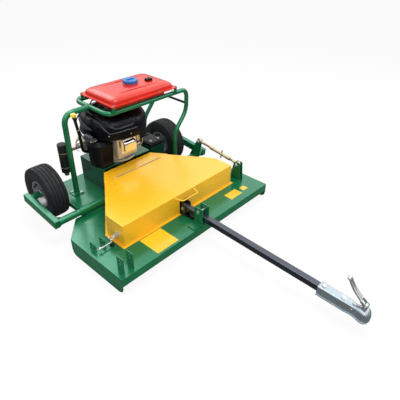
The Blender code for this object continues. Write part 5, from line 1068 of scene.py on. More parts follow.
# belt cover: fixed rear part, hinged lid, handle and latches
cover = {
    "half": 0.458, "rearHalf": 0.193, "front": 0.185, "side": 0.145, "rear": 0.7, "high": 0.14,
    "sheet": 0.003, "flange": 0.015, "seam": 0.6, "gapHalf": 0.00075, "notch": (-0.033, 0.045),
    "notchHigh": 0.088, "ease": 0.0022, "slot": ((-0.014, 0.036), (0.577, 0.5885)), "pin": 0.003,
    "hingeHalf": 0.2, "keeperY": 0.245, "keeperX": 0.497, "flangeEnd": 0.5667,
}


def wallRun(s, lid):
    # outside plan of one part's walls, from its left seam end round to its right seam end
    def line(y):
        share = (y - s["front"] - s["side"]) / (s["rear"] - s["front"] - s["side"])
        return s["half"] + (s["rearHalf"] - s["half"]) * share
    if lid:
        y = s["seam"] - s["gapHalf"]
        return mirrored([(line(y), y), (s["half"], s["front"] + s["side"]), (s["half"], s["front"])])
    y = s["seam"] + s["gapHalf"]
    return mirrored([(line(y), y), (s["rearHalf"], s["rear"])])


def sheetBox(s, lid):
    # one bent-sheet tray, upside down: a top, walls and the rounded fold between them
    outside = wallRun(s, lid)[::-1]
    fold, sheet, top = s["ease"], s["sheet"], s["high"]
    turns = [math.radians(a) for a in (0, 22.5, 45, 67.5, 90)]
    count = len(outside)

    def stepped(amount):
        ring = []
        for i, point in enumerate(outside):
            here = Vector(point)
            if i in (0, count - 1):  # the open seam end slides along the seam
                other = Vector(outside[1 if i == 0 else -2])
                way = (other - here).normalized()
                normal = Vector((-way.y, way.x)) if i == 0 else Vector((way.y, -way.x))
                ring.append(here + Vector((math.copysign(1, normal.x), 0)) * amount / abs(normal.x))
                continue
            before = (here - Vector(outside[i - 1])).normalized()
            after = (Vector(outside[i + 1]) - here).normalized()
            a, b = Vector((-before.y, before.x)), Vector((-after.y, after.x))
            ring.append(here + (a + b) * (amount / (1 + a.dot(b))))
        return ring

    bm = bmesh.new()
    rows = [[(p.x, p.y, gap) for p in stepped(0.0)]]
    for turn in turns:
        rows.append([
            (p.x, p.y, top - fold + fold * math.sin(turn)) for p in stepped(fold - fold * math.cos(turn))])
    made = [[bm.verts.new(p) for p in row] for row in rows]
    for a, b in zip(made, made[1:]):
        for i in range(count - 1):
            bm.faces.new((a[i], a[i + 1], b[i + 1], b[i]))
    bm.faces.new(made[-1])
    bmesh.ops.recalc_face_normals(bm, faces=bm.faces)
    upward = max(bm.faces, key=lambda f: f.calc_area()).normal.z
    if upward < 0:
        bmesh.ops.reverse_faces(bm, faces=bm.faces)
    return thickened(bm, sheet, True)


def cutBy(shape, cutters):
    # the shape with the cutters' space taken out of it
    solid, tool = heldShape("solid", shape), heldShape("tool", merged(cutters))
    rule = solid.modifiers.new("cut", "BOOLEAN")
    rule.object, rule.operation, rule.solver = tool, "DIFFERENCE", "EXACT"
    rule.use_self = True
    bm = shapeFrom(evaluatedMesh(solid))
    bpy.data.objects.remove(tool)
    bmesh.ops.remove_doubles(bm, verts=bm.verts, dist=1e-6)
    return bm


def axleWay():
    # the room that the axle sleeve needs in the cover's walls
    y, z, reach, half = gear["y"], gear["z"], gear["sleeve"] + 0.002, 0.6
    return [
        bar((-half, y, z), (half, y, z), reach, 36),
        slab((-half, half), (y - reach, y + reach), (-0.05, z), 0)]


def makeCoverRear(s):
    room = slab(
        (-s["rearHalf"] + s["sheet"], s["rearHalf"] - s["sheet"]), (s["rear"] - 0.02, s["rear"] + 0.05),
        (-0.04, s["high"] - s["sheet"] - 0.0003), 0)
    shapes = [cutBy(sheetBox(s, False), [*axleWay(), room])]
    y, z = s["seam"], s["high"] + s["pin"] + gap
    half = s["hingeHalf"]
    for x in (-half + 0.012, 0.0, half - 0.012):
        shapes.append(slab(
            around(x, 0.02), (y + 0.001, y + 0.016), (s["high"] - 0.001, s["high"] + 0.0025), 0.0007))
        shapes.append(bar(
            (x - 0.0095, y + 0.0015, z - 0.0002), (x + 0.0095, y + 0.0015, z - 0.0002), 0.0044, 20, 0.0005))
    assemble("hingePin", [bar((-half, y, z), (half, y, z), s["pin"], 20, 0.0006)], "springSteel")
    assemble("beltCoverRear", shapes, "yellowEnamel", nodes="belt_cover_rear")


def makeKeepers(s):
    # slotted tabs on the lid that the swing bolts hold
    y = s["keeperY"]
    shapes = []
    for side in (-1, 1):
        wall = side * s["half"]
        shapes.append(slab(
            sorted((wall + side * 0.0001, wall + side * 0.003)), around(y, 0.03), around(0.056, 0.034),
            0.0008))
        near, far = wall - side * 0.0005, side * (s["keeperX"] + 0.012)
        mouth = side * (s["keeperX"] - 0.008)
        plan = [
            (near, y - 0.013), (far, y - 0.013), (far, y - 0.0055), (mouth, y - 0.0055),
            (mouth, y + 0.0055), (far, y + 0.0055), (far, y + 0.013), (near, y + 0.013)]
        shapes.append(plate(plan if side > 0 else plan[::-1], *around(0.05, 0.004), ease=0.0005))
        for spot in (y - 0.0085, y + 0.0085):
            shapes.append(hexagon(
                (wall + side * 0.0028, spot, 0.064), (wall + side * 0.007, spot, 0.064), 0.0088))
    assemble("latchKeepers", shapes, "boltZinc", "lid")


def makeCoverLid(s):
    out, front, sideEnd, half = s["flange"], s["front"], s["front"] + s["side"], s["half"]
    notch = slab(s["notch"], (front - 0.03, front + 0.02), (-0.01, s["notchHigh"]), 0)
    window = slab(*s["slot"], (s["high"] - 0.02, s["high"] + 0.02), 0)
    shapes = [cutBy(sheetBox(s, True), [notch, *axleWay(), window])]
    run = wallRun(s, True)
    slope = (Vector(run[0]) - Vector(run[1])).normalized()
    tip = Vector(run[1]) + slope * ((s["flangeEnd"] - run[1][1]) / slope.y)
    for side, end in ((1, s["notch"][1]), (-1, s["notch"][0])):  # the flange, in two plates beside the notch
        plan = [(end, front + 0.001), (end, front - out)]
        plan += [
            (side * x, y)
            for x, y in (
                (half + out, front - out), (half + out, sideEnd + 0.006), (tip.x + out * 1.05, tip.y),
                (tip.x - 0.001, tip.y), (half - 0.001, sideEnd), (half - 0.001, front + 0.001))]
        shapes.append(plate(plan if side > 0 else plan[:1] + plan[:0:-1], gap, gap + s["sheet"]))
    assemble("beltCoverLid", shapes, "yellowEnamel", "lid", nodes="belt_cover_lid")


def makeHandle(s):
    x, z, face = around(0.012, 0.155), s["high"] - 0.016, s["front"] - gap
    out = s["front"] - 0.04
    route = [
        (x[0], face - 0.001, z), (x[0] + 0.022, out, z - 0.006), (x[1] - 0.004, out, z - 0.006),
        (x[1], face - 0.001, z)]
    shapes = [tube(filleted(route, 0.01, 8), 0.0039, 20)]
    for end in x:
        shapes.append(turned(
            [(0, 0), (0, 0.0078), (0.0012, 0.0072), (0.003, 0.0044), (0.0034, 0)], (end, face, z), forward,
            28))
    assemble("lidHandle", shapes, "yellowEnamel", "lid", nodes="lid_handle")


latch = {"x": 0.497, "y": 0.245, "z": 0.022, "long": 0.086, "radius": 0.004}


def makeLatches(s):
    for side, name in bothSides:
        pivot = Vector((side * s["x"], s["y"], s["z"]))
        out = Vector((side, 0, 0))
        eye = band(-0.0045, 0.0045, 0.0037, 0.0075, pivot, (0, 1, 0), 28, 0.0005)
        start = s["long"] - 0.016
        shapes = [
            eye, bar(pivot + out * 0.0062, pivot + out * 0.034, s["radius"] * 0.94, 18),
            threaded(pivot + out * 0.033, pivot + out * s["long"], s["radius"], 0.0014),
            hexagon(pivot + out * start, pivot + out * (start + 0.008), 0.013),
            band(0, 0.0014, 0.0042, 0.0088, pivot + out * (start - 0.0016), out, 24)]
        assemble(
            "latchBolt" + name.title(), shapes, "boltZinc", name + "_swing_bolt",
            nodes="swing_bolt_" + name)
        x = pivot.x
        shapes = [slab(around(x, 0.018), around(s["y"], 0.026), (gap, 0.006), 0.0008)]
        for end in (-1, 1):
            plan = circlesOutline([(x, 0.008, 0.007), (x, s["z"], 0.0065)], 12)
            shapes.append(plate(plan, *around(s["y"] + end * 0.0085, 0.006), "Y"))
        shapes.append(bar((x, s["y"] - 0.013, s["z"]), (x, s["y"] + 0.013, s["z"]), 0.003, 18, 0.0005))
        assemble("latchClevis" + name.title(), shapes, "blackEnamel", nodes="bolt_clevis_" + name)


makeCoverRear(cover)
makeKeepers(cover)
makeCoverLid(cover)
makeHandle(cover)
makeLatches(latch)
print("stage: cover")


# tow bracket, bar and ball coupling
tow = {
    "pivot": (0.165, 0.046), "droop": 1.9, "bar": 0.036, "wall": 0.003, "corner": 0.0042, "tail": 0.022,
    "long": 1.07, "plateGap": 0.048, "plate": 0.006, "plateY": (0.004, 0.069), "plateHigh": 0.112,
    "base": 0.092, "baseThick": 0.006, "stop": (0.035, 0.084), "pin": 0.006, "hole": 0.0055,
}


def makeTowBracket(s):
    spread = s["plateGap"] / 2 + s["plate"] / 2
    y = s["plateY"]
    low = gap + 0.003
    shapes = [plate(
        rectangle((-s["base"], spread + s["plate"]), y), gap, gap + s["baseThick"], corner=0.004)]
    rowHoles = [
        (y[0] + 0.065 * (0.3 if row % 2 else 0.62), s["stop"][1] + 0.016 - 0.0165 * row, s["hole"])
        for row in range(4)]
    rowHoles = [h for h in rowHoles if abs(h[0] - s["stop"][0]) + abs(h[1] - s["stop"][1]) > 0.013]
    rowHoles.append((*s["stop"], s["pin"] + gap))
    for side in (-1, 1):
        plan = rectangle(y, (low, s["plateHigh"]))
        shapes.append(plate(plan, *around(side * spread, s["plate"]), "X", rowHoles, corner=0.003))
    droop = math.radians(s["droop"])
    saddle = s["pivot"][1] - (s["pivot"][0] - y[0]) * math.tan(droop) - s["bar"] / 2 / math.cos(droop) - gap
    shapes.append(slab((-spread, spread), (y[0] + 0.001, y[0] + 0.02), (saddle - 0.004, saddle), 0.0006))
    earX = s["bar"] / 2 + 0.0008 + s["plate"] / 2
    earY = (s["pivot"][0] - 0.019, s["pivot"][0] + 0.019)
    assemble("towBracket", shapes, "greenEnamel", nodes="tow_bracket")
    shapes = [slab(
        (-earX - s["plate"], earX + s["plate"]), (y[0] + 0.0325, earY[1] + 0.003),
        (gap + 0.0002, gap + 0.0058), 0.0006)]
    for side in (-1, 1):
        plan = rectangle(earY, (low, s["pivot"][1] + 0.036))
        shapes.append(plate(
            plan, *around(side * earX, s["plate"]), "X", [(*s["pivot"], s["pin"] + gap)], corner=0.009))
    assemble("towEars", shapes, "blackEnamel")
    for name, node, place, half in (
        ("towStopBolt", "tow_stop_bolt", s["stop"], spread + s["plate"] / 2),
        ("towPivotBolt", "tow_pivot_bolt", s["pivot"], earX + s["plate"] / 2)
    ):
        grip = half + gap
        nose = spread + 0.016
        shapes = [
            bar((-grip, *place), (grip + 0.0005, *place), s["pin"], 24),
            threaded((grip, *place), (nose, *place), s["pin"], 0.0016),
            hexagon((-grip, *place), (-grip - 0.0075, *place), 0.018),
            hexagon((grip + 0.0015, *place), (grip + 0.0095, *place), 0.018),
            band(0, 0.0016, 0.0062, 0.0115, (grip, *place), (1, 0, 0), 28)]
        assemble(name, shapes, "boltZinc", nodes=node)


def barFrame(s):
    return Matrix.Translation((0, *s["pivot"])) @ Matrix.Rotation(math.radians(s["droop"]), 4, "X")


def squareTube(half, wall, corner, low, high):
    def loopAt(size, radius, y):
        return filleted([(a, y, b) for a, b in rectangle((-size, size), (-size, size))], radius, 5, True)
    inner = half - wall
    rings = [
        loopAt(half - 0.0005, corner, low), loopAt(half, corner, low + 0.0005),
        loopAt(half, corner, high - 0.0005), loopAt(half - 0.0005, corner, high),
        loopAt(inner, corner * 0.4, high), loopAt(inner, corner * 0.4, low)]
    return loft(rings, closed=True)


coupling = {
    "rear": -0.903, "nose": -1.165, "top": 0.0223, "bottom": -0.0257, "half": 0.0245, "head": 0.033,
    "sheet": 0.0034, "boltY": (-0.925, -1.025), "leverY": -1.128, "leverZ": 0.0523, "leverLong": 0.152,
    "leverTilt": 43.0, "lip": 0.0068,
}


def couplingSections(s):
    # pressed shell: U sections from the rear to the rounded nose, each a run of (x, z) with a turned-out lip
    rows = []
    ballY = s["nose"] + s["head"]
    stations = [
        (s["rear"] - back, s["half"] + wide, s["top"] + rise, dome)
        for back, wide, rise, dome in (
            (0, 0.0006, 0, 0.0), (0.004, 0.0006, 0, 0.0), (0.08, 0.0004, 0, 0.0), (0.146, 0, 0, 0.0),
            (0.158, -0.0016, -0.0002, 0.2), (0.172, -0.003, -0.0006, 0.5))]
    stations += [
        (ballY + back, s["half"] + wide, s["top"] + rise, dome)
        for back, wide, rise, dome in (
            (0.04, -0.003, -0.0008, 0.8), (0.03, -0.0008, 0.0012, 1.0), (0.018, 0.0035, 0.0045, 1.0))]
    for k in range(13):  # round head
        turn = math.radians(90 * k / 12)
        wide = s["head"] * math.cos(turn)
        stations.append((
            ballY - s["head"] * math.sin(turn) * 0.985, max(wide, 0.0009),
            s["top"] + 0.0066 * math.cos(turn * 0.85) - 0.0275 * math.sin(turn) ** 3, 1.0))
    for y, half, top, dome in stations:
        lipOut = s["lip"] * min(1.0, half / 0.012)
        low = s["bottom"]
        radius = min(0.006 + 0.01 * dome, half * 0.85, (top - low) * 0.6)
        run = [
            (-half - lipOut, low), (-half - lipOut * 0.5, low + 0.0003), (-half - 0.0008, low + 0.001),
            (-half, low + 0.0034), (-half, top - radius)]
        for k in range(1, 6):
            turn = math.radians(90 * k / 6)
            run.append((-half + radius - radius * math.cos(turn), top - radius + radius * math.sin(turn)))
        run.append((-half + radius, top))
        rows.append((y, mirrored(run)))
    return rows


def makeCoupling(s):
    rows = couplingSections(s)
    bm = bmesh.new()
    made = [[bm.verts.new((x, y, z)) for x, z in run] for y, run in rows]
    for a, b in zip(made, made[1:]):
        for i in range(len(a) - 1):
            bm.faces.new((a[i], b[i], b[i + 1], a[i + 1]))
    bmesh.ops.recalc_face_normals(bm, faces=bm.faces)
    if sum(f.normal.z * f.calc_area() for f in bm.faces) < 0:
        bmesh.ops.reverse_faces(bm, faces=bm.faces)
    ballY = s["nose"] + s["head"]
    shapes = [thickened(bm, s["sheet"])]
    # lever post, socket cup and the tongue on top
    foot, back, tip = s["top"] + 0.001, s["leverY"] + 0.009, s["leverZ"] + 0.0085
    post = filleted(
        [
            (0, s["leverY"] - 0.009, foot), (0, s["leverY"] + 0.014, foot), (0, back, tip),
            (0, s["leverY"] - 0.009, tip)],
        0.006, 4, True)
    shapes.append(extruded([(p.y, p.z) for p in post], -0.0105, 0.0105, "X", ease=0.001))
    shapes.append(turned(
        [
            (-0.004, 0.0253), (-0.004, 0.029), (0.02, 0.029), (0.027, 0.02), (0.029, 0.0), (0.025, 0.0),
            (0.0235, 0.016), (0.0165, 0.0253)],
        (0, ballY, s["bottom"] + 0.004), up, 40))
    shapes.append(plate(
        [
            (-0.0085, ballY + 0.01), (0.0085, ballY + 0.01), (0.0062, ballY + 0.062),
            (-0.0062, ballY + 0.062)],
        s["top"] - 0.001, s["top"] + 0.003, corner=0.004))
    assemble("couplingShell", moved(shapes, barFrame(tow)), "zinc", "tow", nodes="coupling_body")
    steel = [bar((-0.019, s["leverY"], s["leverZ"]), (0.019, s["leverY"], s["leverZ"]), 0.004, 20, 0.0006)]
    for y in s["boltY"]:
        steel.append(hexagon((0, y, s["top"] + 0.0014), (0, y, s["top"] + 0.0074), 0.019))
        steel.append(band(0, 0.0016, 0, 0.0122, (0, y, s["top"] - 0.0001), up, 28))
        steel.append(bar((0, y, s["top"] + 0.004), (0, y, -0.032), 0.0058, 20))
        steel.append(hexagon((0, y, -0.0183), (0, y, -0.028), 0.019))
    for side in (-1, 1):
        for y, z in ((ballY + 0.052, 0.002), (ballY + 0.033, -0.008)):
            steel.append(turned(
                [(0, 0), (0, 0.004), (0.0014, 0.0034), (0.002, 0)], (side * (s["half"] - 0.0028), y, z),
                (side, 0, 0), 20))
    steel.append(springWire(
        (0, ballY + 0.012, s["top"] + 0.01), (0, ballY + 0.046, s["top"] + 0.007), 0.0042, 0.0009, 9, 12))
    assemble("couplingBolts", moved(steel, barFrame(tow)), "boltZinc", "tow")


def makeLever(s):
    # folded-sheet lever, wide at its fork and hooked at its tip, in its own plane (y, z) from the pivot
    tilt = math.radians(s["leverTilt"])
    end = Vector((s["leverLong"] * math.cos(tilt), s["leverLong"] * math.sin(tilt)))
    knee = Vector((end.x * 0.62, end.y * 0.52))
    rows = []
    spine = smoothed(
        [
            (0, -0.004, -0.002), (0, 0.02, 0.014), (0, knee.x, knee.y), (0, end.x * 0.84, end.y * 0.8),
            (0, end.x * 0.955, end.y * 0.965), (0, end.x + 0.004, end.y - 0.0065)],
        7)
    last = len(spine) - 1
    for i, point in enumerate(spine):
        way = (spine[min(i + 1, last)] - spine[max(i - 1, 0)]).normalized()
        normal = Vector((0, -way.z, way.y))
        share = i / last
        wide = 0.0156 - 0.0036 * min(1.0, share * 1.6)
        thick = 0.0074 - 0.0014 * share
        if share > 0.9:
            wide *= 1 - (share - 0.9) * 1.6
        ring = []
        for k in range(20):
            turn = 2 * math.pi * k / 20
            cx, cz = math.cos(turn), math.sin(turn)
            power = 0.55
            x = wide * math.copysign(abs(cx) ** power, cx)
            z = thick * math.copysign(abs(cz) ** power, cz)
            if cz > 0.2:  # a shallow channel along the top
                across = 1 - min(1.0, abs(x) / (wide * 0.62)) ** 2
                z -= 0.002 * across * min(1.0, share * 5) * min(1.0, (1 - share) * 4)
            ring.append(point + Vector((1, 0, 0)) * x + normal * z)
        rows.append(ring)
    body = loft(rows)
    cutters = [slab((-0.0118, 0.0118), (-0.04, 0.026), (-0.03, 0.05), 0)]
    body = cutBy(body, cutters)
    cheeks = [
        plate(
            circlesOutline([(0, 0, 0.0098), (0.026, 0.0185, 0.006)], 12),
            *sorted((side * 0.0119, side * 0.0152)), "X", [(0, 0, 0.0044)])
        for side in (-1, 1)]
    shapes = moved([body, *cheeks], Matrix.Translation((0, s["leverY"], s["leverZ"])))
    assemble("couplingLever", moved(shapes, barFrame(tow)), "boltZinc", "lever", nodes="coupling_lever")


def makeTowBar(s):
    half = s["bar"] / 2
    shape = squareTube(half, s["wall"], s["corner"], s["tail"] - s["long"], s["tail"])
    assemble("towBar", moved([shape], barFrame(s)), "blackEnamel", "tow", nodes="tow_bar")


makeTowBracket(tow)
makeTowBar(tow)
makeCoupling(coupling)
makeLever(coupling)
print("stage: tow bar and coupling")


# engine plinth, crankcase and shroud
engine = {
    "y": 0.82, "base": 0.1653, "caseTop": 0.3703, "cowlBase": 0.3706, "cowlHigh": 0.115,
    "cowlRadius": 0.216, "plinthHalf": 0.192, "plinth": (0.7003, 0.9623), "plinthHigh": 0.165,
    "plate": 0.005, "shaft": 0.0125,
}
# bends and end of the oil filler tube
fillerRoute = [(-0.25, 0.814, 0.262), (-0.277, 0.778, 0.395), (-0.298, 0.775, 0.525)]


def makePlinth(s):
    half, (front, rear), high, wall = s["plinthHalf"], s["plinth"], s["plinthHigh"], s["plate"]
    box = slab((-half, half), (front, rear), (gap, high), 0.003, 3)
    room = slab((-half + wall, half - wall), (front - 0.05, rear - wall), (-0.05, high - wall), 0)
    bore = bar((0, s["y"], 0.1), (0, s["y"], 0.3), s["shaft"] * 2, 40)
    # the plinth takes the deck's green darkened as painted shade
    assemble("enginePlinth", [cutBy(box, [room, bore])], "shadedPlinthGreen", nodes="engine_plinth")


def makeCrankcase(s):
    centre = (0, s["y"], s["base"])
    case = turned(
        [
            (0, 0.024), (0, 0.1295), (0.0015, 0.131), (0.0105, 0.131), (0.012, 0.1295), (0.0125, 0.1165),
            (0.016, 0.116), (0.048, 0.116), (0.051, 0.1175), (0.058, 0.1335), (0.06, 0.135),
            (0.1985, 0.135), (0.1985, 0.024)],
        centre, up, 96)
    shapes = [case]
    for k in range(5):  # cast bosses under the shroud
        spot = onCircle(0, s["y"], 0.127, math.radians(36 + 72 * k))
        shapes.append(bar((*spot, s["base"] + 0.05), (*spot, s["base"] + 0.1985), 0.01, 20))
    assemble("engineCase", shapes, "castAlloy", nodes="crankcase")
    rib = extruded(
        [(0.1145, 0.0125), (0.1302, 0.0125), (0.1302, 0.018), (0.1185, 0.049), (0.1145, 0.049)], -0.0016,
        0.0016, "Y", 0.0005)
    ringOf("caseRibs", [rib], 30, centre, up, "castAlloy")
    places = [
        (onCircle(0, s["y"], 0.1242, math.radians(18 + 36 * k), s["base"] + 0.012), up) for k in range(10)]
    bolts("caseBolts", places, {"head": 0.009, "high": 0.0055, "washer": 0.0062})


def makeShroud(s):
    centre = (0, s["y"], s["base"])
    shroud = turned(
        [(0.199, 0.128), (0.199, 0.212), (0.2, 0.2135), (0.2045, 0.214), (0.205, 0.2135), (0.205, 0.128)],
        centre, up, 120)
    skirt = turned([(0.193, 0.2035), (0.193, 0.2065), (0.1998, 0.209), (0.1998, 0.2035)], centre, up, 120)
    shapes = [shroud, skirt]
    panel = []
    for step in range(13):  # side shield hanging to the right of the head
        turn = math.radians(283 + 26 * step / 12)
        low = s["caseTop"] - 0.05 + 0.01 * step / 12
        ring = [
            (0.2072, low), (0.2084, low - 0.001), (0.2116, low - 0.001), (0.213, low), (0.213, 0.365),
            (0.2072, 0.365)]
        panel.append([onCircle(0, s["y"], r, turn, z) for r, z in ring])
    shapes.append(loft(panel))
    tubing = filleted([(-0.118, 0.814, 0.253), *fillerRoute], 0.04, 10)
    way = (Vector(tubing[-1]) - Vector(tubing[-2])).normalized()
    shapes.append(tube(tubing, 0.009, 24, 0.0062))
    collar = Vector(tubing[-1]) - way * 0.01
    shapes.append(turned(
        [(0, 0.0064), (0, 0.0112), (0.002, 0.0118), (0.0075, 0.0118), (0.0095, 0.0108), (0.0095, 0.0064)],
        collar, way, 28))
    assemble("engineShroud", shapes, "satinPlastic")
    strap = [band(-0.004, 0.004, 0.0092, 0.0104, Vector(tubing[-1]) - way * 0.085, way, 24)]
    assemble("tubeStrap", strap, "boltZinc")


def makeHead():
    shapes = [
        slab((-0.0905, 0.0465), (0.666, 0.744), (0.2243, 0.3313), 0.006, 2),
        slab((-0.099, 0.055), (0.664, 0.671), (0.2158, 0.3398), 0.0015, 2)]
    for y in [0.678 + 0.0085 * k for k in range(8)]:
        shapes.append(slab((-0.0995, 0.0555), (y, y + 0.003), (0.2153, 0.3403), 0.0009, 1))
    assemble("cylinderHead", shapes, "castAlloy", nodes="cylinder_head")


def makeShield():
    # folded sheet in front of the fins with a long slot, and its dark space behind
    left, right, low, high = -0.1045, -0.0715, 0.2225, 0.356
    plan = [(right, 0.6525), (left + 0.012, 0.6525), (left + 0.004, 0.6555), (left, 0.663)]
    inner = [(left + 0.0016, 0.6636), (left + 0.0052, 0.657), (left + 0.0125, 0.6543), (right, 0.6543)]
    sheet = extruded(plan + inner, low, high, "Z", 0.0004)
    slot = slab((-0.0895, -0.0795), (0.64, 0.67), (0.296, 0.34), 0.0045, 4)
    side = slab((-0.1045, -0.099), (0.6628, 0.686), (low + 0.006, high - 0.002), 0.001)
    top = slab((left + 0.001, right), (0.654, 0.676), (high - 0.0018, high), 0.0006)
    assemble("headShield", [cutBy(sheet, [slot]), side, top], "creamShield")
    assemble(
        "shieldShadow",
        [slab((left + 0.003, right - 0.001), (0.657, 0.663), (low + 0.004, high - 0.004), 0.001)],
        "heatBlack")


def makeRocker():
    low, high, left, right = 0.2373, 0.3363, -0.07, 0.046
    shapes = [plate(rectangle((left, right), (low, high)), 0.6575, 0.6637, "Y", corner=0.012, ease=0.0012)]
    rings = []
    for inset, y, radius in (
        (0.01, 0.6585, 0.012), (0.0105, 0.65, 0.013), (0.0115, 0.644, 0.015), (0.014, 0.6395, 0.017),
        (0.018, 0.6362, 0.018), (0.0235, 0.6346, 0.018), (0.03, 0.634, 0.017)
    ):
        corners = [
            (a, y, b) for a, b in rectangle((left + inset, right - inset), (low + inset, high - inset))]
        rings.append(filleted(corners, radius, 5, True))
    shapes.append(loft(rings))
    for x in (-0.05, -0.03, -0.01, 0.01, 0.03):
        shapes.append(slab(around(x, 0.0042), (0.633 + 0.0012, 0.64), (low + 0.03, high - 0.03), 0.0018, 2))
    assemble("rockerCover", shapes, "chrome", nodes="valve_cover")
    places = [
        ((x, 0.6572, z), forward) for x in (left + 0.0085, right - 0.0085)
        for z in (low + 0.0085, high - 0.0085)]
    bolts(
        "rockerBolts", places, {"head": 0.0105, "high": 0.0068, "washer": 0.0078, "thin": 0.0014},
        finish="chrome")
    x = left - 0.0045
    stud = [
        bar((x, 0.6605, low + 0.004), (x, 0.6605, high + 0.012), 0.0028, 18, 0.0006),
        turned(
            [(0, 0.0028), (0.001, 0.0055), (0.007, 0.0055), (0.008, 0.0028)], (x, 0.66, high + 0.01), up,
            6)]
    assemble("shieldStud", stud, "boltZinc")


# cowl: a turned lid with nested V steps pressed into its front
cowl = {
    "outer": (
        (0, 0.42), (60, 0.435), (120, 0.464), (158, 0.4744), (182, 0.479), (196, 0.476), (212, 0.46),
        (222, 0.4224), (228, 0.4035), (242, 0.4121), (258, 0.4195), (274, 0.418), (283, 0.415),
        (300, 0.412), (330, 0.415), (360, 0.42)),
    "inner": (
        (179, 0.485), (190, 0.4835), (204, 0.479), (224, 0.464), (231, 0.4455), (236, 0.433), (245, 0.4329),
        (255, 0.4384), (267, 0.4407), (275, 0.443)),
    "left": (
        (120, 0.372), (136, 0.39), (146, 0.443), (158, 0.45), (182, 0.4438), (197, 0.4211), (208, 0.4025),
        (217, 0.376), (222, 0.37)),
    "shield": (281.0, 313.0), "step": 0.0055, "sink": 0.0075, "screws": (226, 263, 318, 20, 70, 118),
    "screwZ": 0.3905,
}


def along(points, at):
    for (a, low), (b, high) in zip(points, points[1:]):
        if a <= at <= b:
            return low + (high - low) * (at - a) / (b - a)
    return None


def ramp(value, width):
    share = min(1.0, max(0.0, value / width + 0.5))
    return share * share * (3 - 2 * share)


def cowlRadius(s, turn, z):
    e = engine
    share = (z - e["cowlBase"]) / e["cowlHigh"]
    profile = (
        (0.0, 0.0005), (0.25, 0.0), (0.45, 0.0008), (0.6, 0.004), (0.7, 0.0085), (0.8, 0.016),
        (0.86, 0.022), (0.92, 0.033), (0.97, 0.048), (1.0, 0.0605))
    radius = e["cowlRadius"] - 0.0014 - along(profile, min(1.0, max(0.0, share)))
    radius -= s["step"] * ramp(
        z - along(s["outer"], turn), 0.007) * ramp(turn - 172, 20) * ramp(279 - turn, 5)
    inside = along(s["inner"], turn)
    if inside is not None:
        radius -= s["sink"] * ramp(z - inside, 0.007) * ramp(turn - 184, 10) * ramp(271 - turn, 5)
    below = along(s["left"], turn)
    if below is not None:
        radius -= 0.013 * ramp(below - z, 0.0045) * ramp(turn - 122, 5) * ramp(221 - turn, 5)
    low, high = s["shield"]
    radius += 0.0012 * ramp(turn - low, 1.4) * ramp(high - turn, 1.4)
    return radius


def makeCowl(s):
    e = engine
    rings = []
    steps, rows = 216, 58
    for row in range(rows + 1):
        z = e["cowlBase"] + e["cowlHigh"] * (row / rows)
        ring = []
        for k in range(steps):
            turn = 360 * k / steps
            ring.append(onCircle(0, e["y"], cowlRadius(s, turn, z), math.radians(turn), z))
        rings.append(ring)

    def flat(radius, z):
        return [onCircle(0, e["y"], radius, turn, z) for turn in angles(steps)]
    top = e["cowlBase"] + e["cowlHigh"]
    rings = [
        flat(0.12, e["cowlBase"]), *rings, flat(0.146, top - 0.0002), flat(0.144, top - 0.0015),
        flat(0.143, top - 0.0085), flat(0.02, top - 0.0085)]
    assemble("engineCowl", [loft(rings)], "glossPlastic", nodes="engine_cowl")
    vane = slab((0.046, 0.1436), (-0.0013, 0.0013), (-0.0088, -0.0022), 0.0006, 1)
    ringOf("cowlVanes", [vane], 44, (0, e["y"], top), up, "satinPlastic")
    hub = [
        turned(
            [(-0.009, 0.02), (-0.009, 0.05), (-0.0014, 0.05), (-0.0004, 0.047), (-0.0004, 0.02)],
            (0, e["y"], top), up, 64),
        band(-0.007, -0.0016, 0.093, 0.0965, (0, e["y"], top), up, 96)]
    assemble("cowlScreen", hub, "satinPlastic")
    # raised beads along the V steps, in a paler grey than the cowl: the grey is painted highlight on the
    # ridge lines
    highlightMouldings = []
    for line, start, end in ((s["outer"], 186, 277), (s["inner"], 196, 270)):
        path = []
        for k in range(61):
            turn = start + (end - start) * k / 60
            z = along(line, turn)
            path.append(onCircle(0, e["y"], cowlRadius(s, turn, z) + 0.0002, math.radians(turn), z))
        highlightMouldings.append(tube(path, 0.0019, 10))
    assemble("cowlMouldings", highlightMouldings, "greyPlastic")
    panel = []
    for k in range(15):  # pale ignition cover in the left recess
        turn = 158 + 38 * k / 14
        low = 0.404 + 0.01 * (k / 14) ** 2
        high = 0.456 - 0.034 * (k / 14) ** 1.4
        ring = [
            (0.193, low), (0.2085, low), (0.21, low + 0.0015), (0.21, high - 0.0015), (0.2085, high),
            (0.193, high)]
        panel.append([onCircle(0, e["y"], r, math.radians(turn), z) for r, z in ring])
    assemble("cowlSidePanel", [loft(panel)], "greyPlastic")
    places = []
    for turn in s["screws"]:
        radius = cowlRadius(s, turn, s["screwZ"]) - 0.0004
        places.append((
            onCircle(0, e["y"], radius, math.radians(turn), s["screwZ"]),
            onCircle(0, 0, 1, math.radians(turn), 0)))
    bolts("cowlScrews", places, {"head": 0.0075, "high": 0.0028, "washer": 0.0052, "thin": 0.0008})


# air box with its bevelled lid and fine ribs
airBox = {"x": (-0.232, -0.104), "y": (0.69, 0.802), "z": (0.18, 0.35), "seam": 0.3155}


def airRing(s, inset, z):
    (left, right), (front, rear) = s["x"], s["y"]
    corners = [
        (left + inset, rear - inset, z), (left + inset, front + 0.034 - inset * 0.4, z),
        (left + 0.03 + inset * 0.4, front + inset, z), (right - inset, front + inset, z),
        (right - inset, rear - inset, z)]
    return filleted(corners, 0.014, 6, True)


